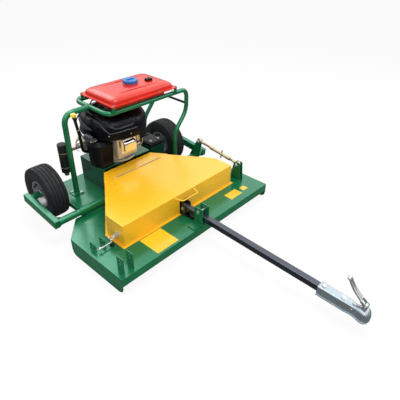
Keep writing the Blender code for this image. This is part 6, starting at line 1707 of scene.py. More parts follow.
def makeAirBox(s):
    low, high = s["z"]
    seam = s["seam"]
    base = loft([
        airRing(s, inset, z)
        for inset, z in (
            (0.012, low), (0.0075, low + 0.0015), (0.0055, low + 0.006), (0.0018, seam - 0.01),
            (0.0018, seam - 0.0035), (0.003, seam - 0.0025), (0.003, seam))])
    assemble("airBoxBase", [base], "satinPlastic", nodes="air_box")
    lid = loft([
        airRing(s, inset, z)
        for inset, z in (
            (0.003, seam - 0.0004), (0.0004, seam), (0.0, seam + 0.001), (0.0, seam + 0.0075),
            (0.0008, seam + 0.009), (0.0026, seam + 0.01), (0.014, high - 0.005), (0.0165, high - 0.0022),
            (0.02, high - 0.0008), (0.024, high - 0.0004), (0.027, high - 0.0016), (0.03, high - 0.0018))])
    assemble("airBoxLid", [lid], "glossPlastic")
    rib = slab((-0.00095, 0.00095), (-0.0011, 0.0011), (-0.046, 0.046), 0.0005, 1)
    route = [(s["x"][0] + 0.046, s["y"][0] + 0.0026, 0.252), (s["x"][1] - 0.018, s["y"][0] + 0.0026, 0.252)]
    alongPaths("airBoxRibs", [rib], [route], 0.0046, "satinPlastic")
    clips = []
    for x in (s["x"][0] + 0.05, s["x"][1] - 0.024):
        clips.append(slab(
            around(x, 0.014), (s["y"][0] + 0.0002, s["y"][0] + 0.004), (seam - 0.02, seam - 0.002), 0.001))
    clips.append(slab((-0.115, -0.098), (0.735, 0.79), (0.215, 0.3), 0.006, 3))
    assemble("airBoxClips", clips, "glossPlastic")


# carburettor and controls on the left, linkage and spark lead on the right
def makeCarburettor():
    throatY, throatZ = 0.856, 0.3
    shapes = [
        slab((-0.2275, -0.1725), (0.8335, 0.8785), (0.27, 0.3215), 0.0045, 3),
        bar((-0.18, throatY, throatZ), (-0.128, throatY, throatZ), 0.017, 32),
        turned(
            [(0, 0.012), (0.0005, 0.0185), (0.004, 0.021), (0.03, 0.021), (0.032, 0.0195), (0.032, 0)],
            (-0.2, throatY, 0.242), up, 40),
        bar((-0.22, 0.844, 0.318), (-0.22, 0.844, 0.332), 0.0034, 20, 0.0005)]
    for x, z in ((-0.186, 0.29), (-0.186, 0.311)):
        shapes.append(bar((x, 0.8336, z), (x, 0.83, z), 0.0042, 16, 0.0006))
    shapes.append(slab((-0.1745, -0.166), (0.826, 0.886), (0.272, 0.328), 0.002, 2))
    assemble("carburettor", shapes, "castAlloy", nodes="carburettor")


def makeControlBox():
    box = [
        slab((-0.234, -0.196), (0.724, 0.829), (0.353, 0.369), 0.003, 2),
        slab((-0.235, -0.212), (0.736, 0.804), (0.35, 0.39), 0.006, 3),
        slab((-0.2362, -0.234), (0.744, 0.796), (0.356, 0.384), 0.001, 2)]
    assemble("controlBox", box, "greyPlastic")
    places = [((-0.2345, y, 0.3595), (-1, 0, 0)) for y in (0.7345, 0.8185)]
    places.append(((-0.21, 0.7262, 0.361), forward))
    bolts("controlScrews", places, {"head": 0.008, "high": 0.004, "washer": 0.0056})


def makeGovernor():
    bracket = [
        (-0.242, 0.334), (-0.224, 0.35), (-0.204, 0.352), (-0.204, 0.356), (-0.226, 0.355), (-0.245, 0.338)]
    rods = [
        [(-0.24, 0.814, 0.34), (-0.246, 0.84, 0.32), (-0.244, 0.888, 0.29), (-0.233, 0.91, 0.255)],
        [(-0.216, 0.888, 0.335), (-0.236, 0.902, 0.3), (-0.242, 0.904, 0.25), (-0.22, 0.906, 0.23)],
        [(-0.196, 0.89, 0.346), (-0.22, 0.908, 0.326), (-0.244, 0.912, 0.276)]]
    steel = [extruded(bracket, 0.806, 0.826, "Y", 0.0005)]
    steel += [rod(route, 0.0017, 10) for route in rods]
    steel.append(springWire((-0.242, 0.818, 0.333), (-0.247, 0.884, 0.296), 0.0042, 0.0009, 14, 10))
    steel.append(springWire((-0.215, 0.894, 0.34), (-0.24, 0.91, 0.286), 0.0038, 0.0009, 12, 10))
    for spot in ((-0.244, 0.886, 0.29), (-0.24, 0.814, 0.34), (-0.242, 0.908, 0.264)):
        steel.append(band(-0.003, 0.003, 0, 0.0048, spot, (-1, 0.2, 0), 6))
    steel.append(plate(
        circlesOutline([(0.886, 0.292, 0.0085), (0.908, 0.258, 0.007)], 10), -0.2405, -0.2385, "X",
        [(0.886, 0.292, 0.003)]))
    assemble("governorGear", steel, "passivated")


def makeHeadLinkage():
    shapes = [
        slab((0.06, 0.062), (0.668, 0.708), (0.24, 0.336), 0.0006),
        slab((0.06, 0.096), (0.668, 0.67), (0.29, 0.338), 0.0006),
        rod(
            [
                (0.07, 0.664, 0.33), (0.086, 0.66, 0.316), (0.102, 0.664, 0.302), (0.11, 0.67, 0.27),
                (0.096, 0.676, 0.244)],
            0.0022, 12),
        springWire((0.072, 0.663, 0.324), (0.108, 0.666, 0.34), 0.004, 0.001, 11, 10),
        rod(
            [(0.064, 0.664, 0.3), (0.078, 0.658, 0.282), (0.086, 0.66, 0.256), (0.078, 0.67, 0.23)], 0.0018,
            12),
        bar((0.06, 0.68, 0.26), (0.092, 0.68, 0.26), 0.005, 20, 0.0008),
        band(0, 0.006, 0, 0.0098, (0.078, 0.68, 0.26), (1, 0, 0), 6),
        plate(
            circlesOutline([(0.088, 0.312, 0.01), (0.104, 0.3, 0.007)], 10), 0.6655, 0.6675, "Y",
            [(0.088, 0.312, 0.0035)])]
    assemble("headLinkage", shapes, "boltZinc")
    spots = ((0.072, 0.6678, 0.33), (0.088, 0.6653, 0.312), (0.072, 0.6678, 0.298), (0.104, 0.6653, 0.3))
    places = [(spot, forward) for spot in spots]
    bolts("linkageScrews", places, {"head": 0.0085, "high": 0.005, "washer": 0.006})


def makeSparkLead():
    route = [(0.056, 0.69, 0.3), (0.076, 0.696, 0.312), (0.106, 0.704, 0.334), (0.118, 0.718, 0.356)]
    lead = [rod(route, 0.0035, 16, 8), bar((0.05, 0.69, 0.3), (0.07, 0.6925, 0.306), 0.0078, 24, 0.002)]
    assemble("sparkLead", lead, "hoseRubber")


def makeThrottle():
    shapes = [
        plate(
            circlesOutline([(-0.188, 0.856, 0.007), (-0.236, 0.874, 0.005)], 12), 0.3225, 0.3251, "Z",
            ease=0.0005),
        turned(
            [(0, 0), (0, 0.004), (0.002, 0.004), (0.0028, 0.0032), (0.0028, 0)], (-0.188, 0.856, 0.325), up,
            20),
        turned(
            [(0, 0), (0, 0.0038), (0.0015, 0.0048), (0.0055, 0.0048), (0.007, 0.0034), (0.0073, 0)],
            (-0.236, 0.874, 0.325), up, 24)]
    assemble("throttleLever", shapes, "passivated", "throttle", nodes="throttle_lever")


def makeHose():
    route = [
        (-0.0877, 0.875, 0.548), (-0.0997, 0.875, 0.547), (-0.122, 0.875, 0.528), (-0.158, 0.875, 0.509),
        (-0.205, 0.875, 0.486), (-0.236, 0.869, 0.44), (-0.228, 0.852, 0.38), (-0.22, 0.844, 0.35),
        (-0.22, 0.844, 0.3326)]
    path = smoothed(route, 7)
    assemble("fuelHose", [tube(path, 0.0039, 18)], "hoseRubber", nodes="fuel_hose")
    clips = []
    for spot, way in (
        (Vector(path[3]), Vector(path[4]) - Vector(path[2])),
        (Vector(path[-4]), Vector(path[-3]) - Vector(path[-5]))
    ):
        clips.append(band(-0.0024, 0.0024, 0.0038, 0.0046, spot, way, 20))
    assemble("hoseClips", clips, "boltZinc")


def makeDipstick():
    route = filleted([(-0.0945, 0.814, 0.252), *fillerRoute], 0.04, 10)
    tip = Vector(route[-1])
    way = (tip - Vector(route[-2])).normalized()
    start = tip + way * gap
    lobed = []
    for at, radius in (
        (0.0, 0.0105), (0.0012, 0.0122), (0.004, 0.0128), (0.007, 0.0145), (0.0095, 0.0172),
        (0.012, 0.0176), (0.0165, 0.0172), (0.02, 0.0155), (0.022, 0.0115)
    ):
        ring = []
        side = way.orthogonal().normalized()
        other = way.cross(side)
        for k in range(48):
            turn = 2 * math.pi * k / 48
            grown = radius * (1 - 0.055 * (0.5 - 0.5 * math.cos(8 * turn)))
            ring.append(
                start + way * at + side * (grown * math.cos(turn)) + other * (grown * math.sin(turn)))
        lobed.append(ring)
    assemble("dipstickCap", [loft(lobed)], "yellowPlastic", "oil_dipstick", nodes="dipstick")
    stick = bar(start + way * 0.0005, start - way * 0.092, 0.0028, 16)
    assemble("dipstickRod", [stick], "machined", "oil_dipstick")


# silencer with its pipe, clamps and bright mouth
silencer = {"x": -0.337, "y": 0.905, "radius": 0.03, "z": (0.125, 0.325)}


def makeSilencer(s):
    low, high = s["z"]
    centre = (s["x"], s["y"], low)
    long = high - low
    can = turned(
        [
            (0, 0.012), (0.0005, 0.024), (0.003, 0.0282), (0.007, 0.03), (0.0095, 0.03), (0.011, 0.0292),
            (long - 0.011, 0.0292), (long - 0.0095, 0.03), (long - 0.007, 0.03), (long - 0.003, 0.0282),
            (long - 0.0005, 0.024), (long, 0.012), (long, 0), (0, 0)],
        centre, up, 48)
    assemble("silencerCan", [can], "heatBlack", nodes="silencer")
    rib = slab((0.0288, 0.0298), (-0.0011, 0.0011), (0.02, long - 0.02), 0.0004, 1)
    ringOf("silencerRibs", [rib], 22, centre, up, "heatBlack")
    feed = filleted([(-0.128, 0.8977, 0.255), (-0.205, 0.92, 0.255), (-0.3085, 0.9061, 0.2644)], 0.05, 10)
    pipes = [tube(feed, 0.0117, 28)]
    way = (Vector(feed[-1]) - Vector(feed[-2])).normalized()
    pipes.append(band(0, 0.004, 0.0118, 0.0165, Vector(feed[-1]) - way * 0.01, way, 32))
    pipes.append(turned(
        [
            (-0.022, 0.012), (-0.0218, 0.0146), (-0.019, 0.015), (-0.01, 0.015), (-0.002, 0.0135),
            (0.002, 0.0135), (0.002, 0.0105)],
        centre, up, 36))
    assemble("exhaustPipe", pipes, "boltZinc")
    clamps = []
    for z in (high - 0.06, low + 0.04):
        clamps.append(band(-0.004, 0.004, 0.0293, 0.0303, (s["x"], s["y"], z), up, 48))
        for step in (0.022, 0.016):
            clamps.append(slab(
                (s["x"] + 0.0285, s["x"] + 0.042), (s["y"] - step, s["y"] - step + 0.003), around(z, 0.012),
                0.0006))
        x, y = s["x"] + 0.0365, s["y"] - 0.027
        clamps.append(bar((x, y, z), (x, y + 0.017, z), 0.0024, 16))
        clamps.append(hexagon((x, y, z), (x, y + 0.0048, z), 0.0085))
    assemble("silencerClamps", clamps, "passivated")


def pulleyProfile(z, radius, bore):
    half, lip = 0.0105, 0.005
    return [
        (z - half, bore), (z - half, radius + lip - 0.0008), (z - half + 0.0008, radius + lip),
        (z - half + 0.0023, radius + lip), (z - 0.0046, radius - 0.006), (z + 0.0046, radius - 0.006),
        (z + half - 0.0023, radius + lip), (z + half - 0.0008, radius + lip),
        (z + half, radius + lip - 0.0008), (z + half, bore)]


def makeCrankPulley(s):
    profile = [(0.0875, 0), (0.0875, 0.0117), (0.0883, s["shaft"])]
    profile += pulleyProfile(0.11, 0.055, s["shaft"])
    profile += [(0.4048, s["shaft"]), (0.4056, 0.0117), (0.4056, 0)]
    assemble(
        "enginePulley", [turned(profile, (0, s["y"], 0), up, 56)], "machined", "crankshaft",
        nodes="engine_pulley")


# battery in its green tray
battery = {
    "x": 0.302, "y": 0.825, "wide": 0.118, "long": 0.165, "z": (0.0036, 0.1756), "tray": 0.145,
    "post": 0.0354,
}


def makeBattery(s):
    x, y = around(s["x"], s["wide"]), around(s["y"], s["long"])
    low, high = s["z"]
    shapes = [
        slab((x[0] + 0.0008, x[1] - 0.0008), (y[0] + 0.0008, y[1] - 0.0008), (low, high - 0.03), 0.003, 2),
        slab(x, y, (high - 0.0285, high - 0.006), 0.0025, 3),
        slab((x[0] + 0.006, x[1] - 0.006), (y[0] + 0.006, y[1] - 0.006), (high - 0.01, high), 0.002, 2)]
    for k in range(6):
        shapes.append(turned(
            [(-0.002, 0), (-0.002, 0.0075), (0.0, 0.007), (0.0, 0)],
            (s["x"] - 0.03 + 0.012 * k, s["y"] + 0.045, high), up, 20))
    assemble("batteryCase", shapes, "batteryBlack", nodes="battery")
    posts = []
    for side in (-1, 1):
        spot = (s["x"] + side * s["post"], y[0] + 0.025, high)
        posts.append(turned(
            [(-0.002, 0), (-0.002, 0.008), (0.01, 0.007), (0.012, 0.0062), (0.012, 0)], spot, up, 24))
        posts.append(slab(
            around(spot[0], 0.012), around(spot[1] + 0.01, 0.012), (high, high + 0.0065), 0.0015))
    assemble("batteryPosts", posts, "castAlloy")
    wall = 0.003
    outX, outY = around(s["x"], s["wide"] + 2 * (wall + gap)), around(s["y"], s["long"] + 2 * (wall + gap))
    tray = slab(outX, outY, (gap, s["tray"]), 0.002, 2)
    room = slab((x[0] - gap, x[1] + gap), (y[0] - gap, y[1] + gap), (low - 0.0001, s["tray"] + 0.01), 0)
    pieces = [cutBy(tray, [room])]
    assemble("batteryBox", pieces, "darkGreen", nodes="battery_box")


makePlinth(engine)
makeCrankcase(engine)
makeShroud(engine)
makeHead()
makeShield()
makeRocker()
makeCowl(cowl)
print("stage: engine block")
makeAirBox(airBox)
makeCarburettor()
makeControlBox()
makeGovernor()
makeHeadLinkage()
makeSparkLead()
makeThrottle()
makeHose()
makeDipstick()
makeSilencer(silencer)
makeCrankPulley(engine)
makeBattery(battery)
print("stage: engine fittings")


# fuel tank: two pressed halves, bolts, gauge and cap
tankShape = {
    "corner": 0.045, "seat": 0.5753, "flange": 0.015, "thick": 0.003,
    "crown": (
        (0.0, 0.579), (0.0, 0.5812), (0.0008, 0.5816), (0.0125, 0.5816), (0.0145, 0.5822), (0.0155, 0.584),
        (0.017, 0.595), (0.019, 0.6045), (0.0215, 0.6095), (0.027, 0.615), (0.035, 0.619), (0.049, 0.6221),
        (0.064, 0.6238), (0.09, 0.6252), (0.12, 0.6256)),
    "belly": (
        (0.0, 0.5779), (0.0, 0.5757), (0.0008, 0.5753), (0.044, 0.5753), (0.0462, 0.5745), (0.0475, 0.572),
        (0.054, 0.548), (0.058, 0.534), (0.062, 0.5262), (0.069, 0.5236), (0.08, 0.5233)),
    "cap": (0.14, 0.79), "gauge": (0.258, 0.752), "top": 0.6256, "boltZ": 0.5816, "nutZ": 0.548,
}


def crowned(shape):
    # the crown falls towards its ends and a little towards its sides
    seat = tankShape["seat"] + 2 * tankShape["thick"] + gap
    for vert in shape.verts:
        u = (vert.co.x - tank["x"]) / (tank["length"] / 2)
        v = (vert.co.y - tank["y"]) / (tank["width"] / 2)
        if vert.co.z > seat:
            vert.co.z = seat + (vert.co.z - seat) * (1 - 0.24 * u * u) * (1 - 0.1 * v * v)
    return shape


def tankRing(step, z, radius):
    x, y = around(tank["x"], tank["length"] - 2 * step), around(tank["y"], tank["width"] - 2 * step)
    return filleted([(a, b, z) for a, b in rectangle(x, y)], radius, 8, True)


def makeTank(s):
    def shell(steps):
        rings = [tankRing(0.02, steps[0][1], 0.02)]
        for step, z in steps:
            inner = max(0.02, s["corner"] - (step - s["flange"]) * 0.3)
            rings.append(tankRing(step, z, s["flange"] if step < s["flange"] * 0.9 else inner))
        return loft(rings)
    upper = [crowned(shell(s["crown"]))]
    top = s["top"]
    upper.append(turned(
        [(-0.004, 0.036), (0.002, 0.0358), (0.005, 0.035), (0.006, 0.034), (0.006, 0.02), (-0.004, 0.02)],
        (*s["cap"], top), up, 56))
    upper.append(turned(
        [(-0.006, 0.052), (-0.0022, 0.05), (0.0005, 0.045), (0.001, 0.02), (-0.006, 0.02)],
        (*s["cap"], top), up, 56))
    for y in (-0.085, 0.085):  # shallow pressed ribs along the crown
        rings = []
        for x, z, wide in [
            (-0.165, 0.622, 0.004), *[(-0.155 + 0.031 * k, 0.6266, 0.008) for k in range(11)],
            (0.165, 0.622, 0.004)
        ]:
            px, py = tank["x"] + x, tank["y"] + y
            low = 0.618
            rings.append([
                (px, py - wide - 0.004, low), (px, py - wide, z - 0.0006), (px, py - wide * 0.5, z),
                (px, py + wide * 0.5, z), (px, py + wide, z - 0.0006), (px, py + wide + 0.004, low)])
        upper.append(crowned(loft(rings)))
    assemble("tankUpper", upper, "redEnamel", nodes="fuel_tank_upper")
    lower = [shell(s["belly"])]
    outlet = (-0.0877 + 0.016, 0.875, 0.548)
    lower.append(band(0, 0.01, 0.0, 0.008, outlet, (-1, 0, 0), 6))
    assemble("tankLower", lower, "redEnamel", nodes="fuel_tank_lower")
    spots = [*tankBolts, (0.238, tank["y"] - tank["width"] / 2 + 0.0085)]
    bolts(
        "tankBolts", [((x, y, s["boltZ"]), up) for x, y in spots],
        {"head": 0.0125, "high": 0.0058, "washer": 0.0078, "thin": 0.0012})
    bolts(
        "tankNuts", [((x, y, s["nutZ"]), (0, 0, -1)) for x, y in tankBolts],
        {"head": 0.0105, "high": 0.0058, "washer": 0.0075, "proud": 0.002})
    gx, gy = s["gauge"]
    gauge = [
        plate(
            rectangle(around(gx, 0.046), around(gy, 0.034)), top - 0.008, 0.635, corner=0.008, ease=0.002),
        turned(
            [(0, 0.0125), (0.0006, 0.0125), (0.001, 0.0115), (0.001, 0), (0, 0)], (gx - 0.004, gy, 0.6346),
            up, 32)]
    assemble("tankGauge", gauge, "satinPlastic")


def makeCap(s):
    centre = Vector((*s["cap"], 0.6266))
    rings = []
    steps = 120
    for z, radius, bite in (
        (0.0, 0.04, 0), (0.0, 0.0455, 0), (0.001, 0.048, 0.4), (0.003, 0.0488, 1), (0.015, 0.0482, 1),
        (0.018, 0.0468, 0.6), (0.0198, 0.044, 0), (0.0206, 0.04, 0), (0.0207, 0.036, 0), (0.0198, 0.034, 0),
        (0.0198, 0.01, 0)
    ):
        ring = []
        for k in range(steps):
            turn = 2 * math.pi * k / steps
            cut = max(0.0, math.cos(turn * 20)) ** 0.6 * 0.0018 * bite
            ring.append(centre + Vector(onCircle(0, 0, radius - cut, turn, z)))
        rings.append(ring)
    shapes = [loft(rings)]
    grip = []
    for x, half in (
        (-0.0333, 0.0022), (-0.032, 0.0045), (-0.014, 0.0068), (0.014, 0.0068), (0.032, 0.0045),
        (0.0333, 0.0022)
    ):
        high = 0.0268 if abs(x) < 0.02 else 0.0255
        grip.append([
            centre + Vector((x, y, z))
            for y, z in (
                (-half, 0.019), (-half, high - 0.0012), (-half * 0.7, high), (half * 0.7, high),
                (half, high - 0.0012), (half, 0.019))])
    shapes.append(loft(grip))
    assemble("fuelCap", shapes, "bluePlastic", "cap", nodes="fuel_cap")


makeTank(tankShape)
makeCap(tankShape)
print("stage: tank")


# spindles, blades, belts and the sprung idler
drive = {
    "low": 0.078, "high": 0.11, "shaft": 0.0125, "radius": 0.05, "mainRadius": 0.055,
    "idler": (-0.045, 0.61), "idlerRadius": 0.03, "pivot": (-0.12, 0.5), "armZ": 0.083, "springY": 0.555,
    "blade": (0.4, 0.055), "bladeZ": (-0.065, -0.06),
}


def makeHousings():
    for name, (x, y) in spindles.items():
        shapes = [turned(
            [
                (-0.03, 0.015), (-0.03, 0.0325), (-0.0285, 0.034), (0.0001, 0.034), (0.0003, 0.035),
                (0.0003, 0.0555), (0.001, 0.056), (0.0076, 0.056), (0.0083, 0.055), (0.009, 0.035),
                (0.012, 0.032), (0.054, 0.0262), (0.0572, 0.0255), (0.058, 0.0245), (0.058, 0.015)],
            (x, y, 0), up, 48)]
        assemble("housing" + name.title(), shapes, "castIron", nodes="housing_" + name)
        rib = extruded(
            [(0.024, 0.008), (0.052, 0.008), (0.028, 0.05), (0.024, 0.05)], -0.0022, 0.0022, "Y", 0.0006)
        ringOf("housingRibs" + name.title(), [rib], 6, (x, y, 0), up, "castIron")
        places = [(onCircle(x, y, 0.046, math.radians(30 + 60 * k), 0.0083), up) for k in range(6)]
        bolts(
            "housingBolts" + name.title(), places,
            {"head": 0.01, "high": 0.0052, "washer": 0.0075, "proud": 0.001})


def makeSpindles(s):
    for name, (x, y) in spindles.items():
        centre = (x, y, 0)
        body = name + "_spindle"
        top = s["high"] + 0.0205 if name == "centre" else s["low"] + 0.0205
        profile = [(-0.07, 0), (-0.07, 0.011), (-0.069, s["shaft"])]
        profile += pulleyProfile(s["low"], s["radius"], s["shaft"])
        if name == "centre":
            profile += pulleyProfile(s["high"], s["mainRadius"], s["shaft"])
        profile += [(top - 0.001, s["shaft"]), (top, 0.0115), (top, 0)]
        shapes = [
            turned(profile, centre, up, 56),
            turned(
                [
                    (-0.0597, 0.012), (-0.0597, 0.0205), (-0.059, 0.02125), (-0.0315, 0.02125),
                    (-0.0308, 0.0205), (-0.0308, 0.012)],
                centre, up, 40)]
        assemble("spindle" + name.title(), shapes, "machined", body, nodes="spindle_" + name)
        nuts = [
            hexagon((x, y, -0.0652), (x, y, -0.0765), 0.033),
            hexagon((x, y, top - 0.012), (x, y, top - 0.001), 0.03)]
        nuts.append(band(-0.0665, -0.0651, 0.012, 0.0205, centre, up, 40))
        assemble("spindleNuts" + name.title(), nuts, "boltZinc", body)


def makeBlades(s):
    long, wide = s["blade"]
    half = long / 2
    z0, z1 = s["bladeZ"]
    for name, (x, y) in spindles.items():
        rings = []
        for at, lift in (
            (-half, 1), (-half + 0.002, 1), (-half + 0.07, 1), (-half + 0.1, 0), (half - 0.1, 0),
            (half - 0.07, -1), (half - 0.002, -1), (half, -1)
        ):
            front, rear = -wide / 2, wide / 2
            if lift > 0:  # ground cutting edge on the leading side of each end
                ring = [
                    (front, z1 - 0.0012), (front, z1), (rear, z1), (rear, z0), (front + 0.014, z0),
                    (front + 0.001, z1 - 0.0016)]
            elif lift < 0:
                ring = [
                    (front, z0), (front, z1), (rear, z1), (rear, z1 - 0.0012), (rear - 0.001, z1 - 0.0016),
                    (rear - 0.014, z0)]
            else:
                ring = [(front, z0), (front, z1), (rear, z1), (rear, z0), (0.008, z0), (-0.008, z0)]
            rings.append([(x + at, y + py, pz) for py, pz in ring])
        blade = cutBy(loft(rings), [bar((x, y, -0.08), (x, y, -0.05), s["shaft"] + 0.0003, 32)])
        assemble("blade" + name.title(), [blade], "machined", name + "_spindle", nodes="blade_" + name)


def beltRoute(circles, inner):
    # tangent loop round the pulleys, taken in order and all on the same side; points in the plane
    points = []
    count = len(circles)
    lines = []
    for i in range(count):
        (ax, ay, ar), (bx, by, br) = circles[i], circles[(i + 1) % count]
        way = Vector((bx - ax, by - ay))
        lines.append(math.atan2(way.y, way.x) - math.pi / 2 + math.asin((ar - br) / way.length))
    for i in range(count):
        x, y, r = circles[i]
        start, end = lines[i - 1], lines[i]
        sweep = (end - start) % (2 * math.pi)
        steps = max(2, int(sweep / 0.16))
        for k in range(steps + 1):
            turn = start + sweep * k / steps
            points.append(onCircle(x, y, r + inner, turn))
        nextX, nextY, nextR = circles[(i + 1) % count]
        here = Vector(points[-1])
        there = Vector(onCircle(nextX, nextY, nextR + inner, end))
        pieces = max(1, int((there - here).length / 0.03))
        for k in range(1, pieces):
            points.append(tuple(here.lerp(there, k / pieces)))
    return points


def belt(name, circles, z, node):
    # V section with rounded shoulders
    halfHigh = 0.006
    halfLow = 0.0041
    section = (
        (-0.0048, -halfLow), (-0.0044, -halfLow - 0.0004), (0.002, -halfHigh + 0.0002),
        (0.0027, -halfHigh + 0.0008), (0.0029, -halfHigh + 0.0016), (0.0029, halfHigh - 0.0016),
        (0.0027, halfHigh - 0.0008), (0.002, halfHigh - 0.0002), (-0.0044, halfLow + 0.0004),
        (-0.0048, halfLow))
    loops = [beltRoute(circles, out) for out, _ in section]
    rings = []
    for i in range(len(loops[0])):
        rings.append([(loop[i][0], loop[i][1], z + side) for loop, (_, side) in zip(loops, section)])
    assemble(name, [loft(rings, closed=True, capped=False)], "beltRubber", nodes=node)


def makeBelts(s):
    belt(
        "bladeBelt",
        [
            (*spindles["left"], s["radius"]), (*spindles["right"], s["radius"]),
            (*spindles["centre"], s["radius"])],
        s["low"], "blade_belt")
    belt(
        "mainBelt",
        [
            (*spindles["centre"], s["mainRadius"]), (0.0, engine["y"], s["mainRadius"]),
            (*s["idler"], s["idlerRadius"])],
        s["high"], "main_belt")


def makeIdler(s):
    (px, py), (ix, iy) = s["pivot"], s["idler"]
    arm = plate(
        circlesOutline([(px, py, 0.016), (ix, iy, 0.014)], 12), s["armZ"] - 0.0025, s["armZ"] + 0.0025, "Z",
        [(px, py, 0.0063)])
    hookX = px + 0.5 * (ix - px) - 0.012
    shapes = [
        arm, bar((ix, iy, s["armZ"]), (ix, iy, 0.1283), 0.0058, 24, 0.0008),
        bar((hookX, s["springY"], s["armZ"]), (hookX, s["springY"], 0.093), 0.004, 18, 0.0006),
        band(0, 0.006, 0.0062, 0.0105, (px, py, s["armZ"] + 0.002), up, 28)]
    assemble("idlerArm", shapes, "passivated", "tension_arm", nodes="idler_arm")
    return hookX


def makeIdlerPulley(s):
    x, y = s["idler"]
    half = 0.0105
    low, high = s["high"] - half, s["high"] + half
    profile = [
        (low, 0.0066), (low, 0.0285), (low + 0.0005, 0.0345), (low + 0.0022, 0.035), (low + 0.0028, 0.034),
        (s["high"] - 0.0048, 0.0242), (s["high"] + 0.0048, 0.0242), (high - 0.0028, 0.034),
        (high - 0.0022, 0.035), (high - 0.0005, 0.0345), (high, 0.0285), (high - 0.0015, 0.02),
        (high - 0.001, 0.012), (high - 0.0002, 0.011), (high - 0.0002, 0.0066)]
    assemble(
        "idlerPulley", [turned(profile, (x, y, 0), up, 48)], "machined", "tension_pulley",
        nodes="idler_pulley")


def makeSpring(s, hookX):
    z = s["armZ"] + 0.0025 + 0.0065 + 0.0011 + gap - 0.0002
    start, end = hookX - 0.0046, -0.1897
    assemble(
        "idlerSpring",
        [springWire((start, s["springY"], z), (end, s["springY"], z), 0.0062, 0.001, 22, 14)],
        "springSteel", nodes="idler_spring")


makeHousings()
makeSpindles(drive)
makeBlades(drive)
makeBelts(drive)
makeSpring(drive, makeIdler(drive))
makeIdlerPulley(drive)
print("stage: drive")


# floor, light and camera
studio = {
    "floorSize": 40.0, "floorShade": 0.86, "floorGlow": 0.9, "floorGloss": (0.88, 0.07),
    "skyLight": 0.55, "skyRise": (0.05, 0.55), "skyGloss": (0.4, 1.9),
    "lamps": [  # place, aim, size, watts
        ((-2.4, -2.6, 3.4), (0.0, 0.2, 0.2), 2.6, 62.0),
        ((3.2, -1.2, 2.8), (0.1, 0.2, 0.2), 2.6, 34.0),
        ((0.4, 3.4, 3.2), (0.0, 0.2, 0.3), 2.4, 40.0),
        ((0.3, 0.2, 4.4), (0.0, 0.1, 0.2), 2.2, 88.0),
    ],
}
photoView = {
    "place": (-1.4169, -1.2199, 1.5532), "azimuth": -48.694, "elevation": 34.564, "roll": 1.719,
    "lens": 35.77,
}


def seenDirectly(tree, rays):
    # 1 where one of these rays looks at the surface
    path = node(tree, "ShaderNodeLightPath")
    total = path.outputs[rays[0]]
    for ray in rays[1:]:
        total = node(
            tree, "ShaderNodeMath", {0: total, 1: path.outputs[ray]}, operation="MAXIMUM").outputs[0]
    return total


def makeFloor(s):
    # a pale floor with its own glow for the camera, and a faint one in the gloss
    side = around(0, s["floorSize"])
    mesh = bpy.data.meshes.new("floor")
    mesh.from_pydata([(x, y, 0) for x, y in rectangle(side, side)], [], [(0, 1, 2, 3)])
    floor = held("floor", mesh)
    finish = bpy.data.materials.new("paleFloor")
    finish.use_nodes = True
    tree = finish.node_tree
    shade = {"Base Color": (*[s["floorShade"]] * 3, 1), "Roughness": 0.8}
    last = feed(tree, tree.nodes["Principled BSDF"], {}, shade).outputs[0]
    for ray, amount, strength in (
        ("Is Camera Ray", s["floorGlow"], 1.0), ("Is Glossy Ray", *s["floorGloss"])
    ):
        share = node(
            tree, "ShaderNodeMath", {0: seenDirectly(tree, [ray])}, {1: amount}, operation="MULTIPLY")
        glow = node(tree, "ShaderNodeEmission", {}, {"Strength": strength})
        last = node(
            tree, "ShaderNodeMixShader", {0: share.outputs[0], 1: last, 2: glow.outputs[0]}).outputs[0]
    tree.links.new(last, tree.nodes["Material Output"].inputs[0])
    mesh.materials.append(finish)


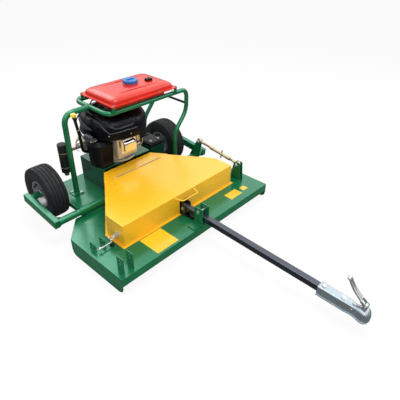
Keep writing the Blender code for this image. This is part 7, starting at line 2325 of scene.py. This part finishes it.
def makeSky(s):
    # white behind the object, soft for the light, and brighter overhead in the gloss
    world = bpy.data.worlds.new("sky")
    bpy.context.scene.world = world
    world.use_nodes = True
    tree = world.node_tree
    white = {"Color": (1, 1, 1, 1)}
    last = feed(tree, tree.nodes["Background"], {}, {**white, "Strength": s["skyLight"]}).outputs[0]
    place = node(tree, "ShaderNodeTexCoord")
    parts = node(tree, "ShaderNodeSeparateXYZ", {0: place.outputs["Generated"]})
    height = ranged(tree, parts.outputs["Z"], *s["skyGloss"], *s["skyRise"])
    gloss = node(tree, "ShaderNodeBackground", {"Strength": height}, white)
    behind = node(tree, "ShaderNodeBackground", {}, white)
    for shader, rays in ((gloss, ("Is Glossy Ray", "Is Transmission Ray")), (behind, ("Is Camera Ray",))):
        parts = {0: seenDirectly(tree, rays), 1: last, 2: shader.outputs[0]}
        last = node(tree, "ShaderNodeMixShader", parts).outputs[0]
    tree.links.new(last, tree.nodes["World Output"].inputs[0])


def makeLamps(s):
    for place, aim, size, watts in s["lamps"]:
        lamp = bpy.data.lights.new("softLamp", "AREA")
        lamp.shape, lamp.size, lamp.energy = "DISK", size, watts
        holder = held("softLamp", lamp)
        holder.location = place
        holder.rotation_mode = "QUATERNION"
        holder.rotation_quaternion = (Vector(aim) - Vector(place)).to_track_quat("-Z", "Y")


def makeCamera(s):
    turn, lift, roll = (math.radians(s[k]) for k in ("azimuth", "elevation", "roll"))
    back = Vector((math.sin(turn) * math.cos(lift), -math.cos(turn) * math.cos(lift), math.sin(lift)))
    right = Vector((math.cos(turn), math.sin(turn), 0))
    up = back.cross(right)
    axes = (
        right * math.cos(roll) + up * math.sin(roll), up * math.cos(roll) - right * math.sin(roll), back)
    camera = bpy.data.cameras.new("photoCamera")
    camera.lens, camera.sensor_width = s["lens"], 36.0
    holder = held("photoCamera", camera)
    holder.matrix_world = Matrix.Translation(s["place"]) @ Matrix(axes).transposed().to_4x4()
    bpy.context.scene.camera = holder


makeFloor(studio)
makeSky(studio)
makeLamps(studio)
makeCamera(photoView)
bpy.context.scene.view_settings.view_transform = "Standard"

print("stage: studio and camera")
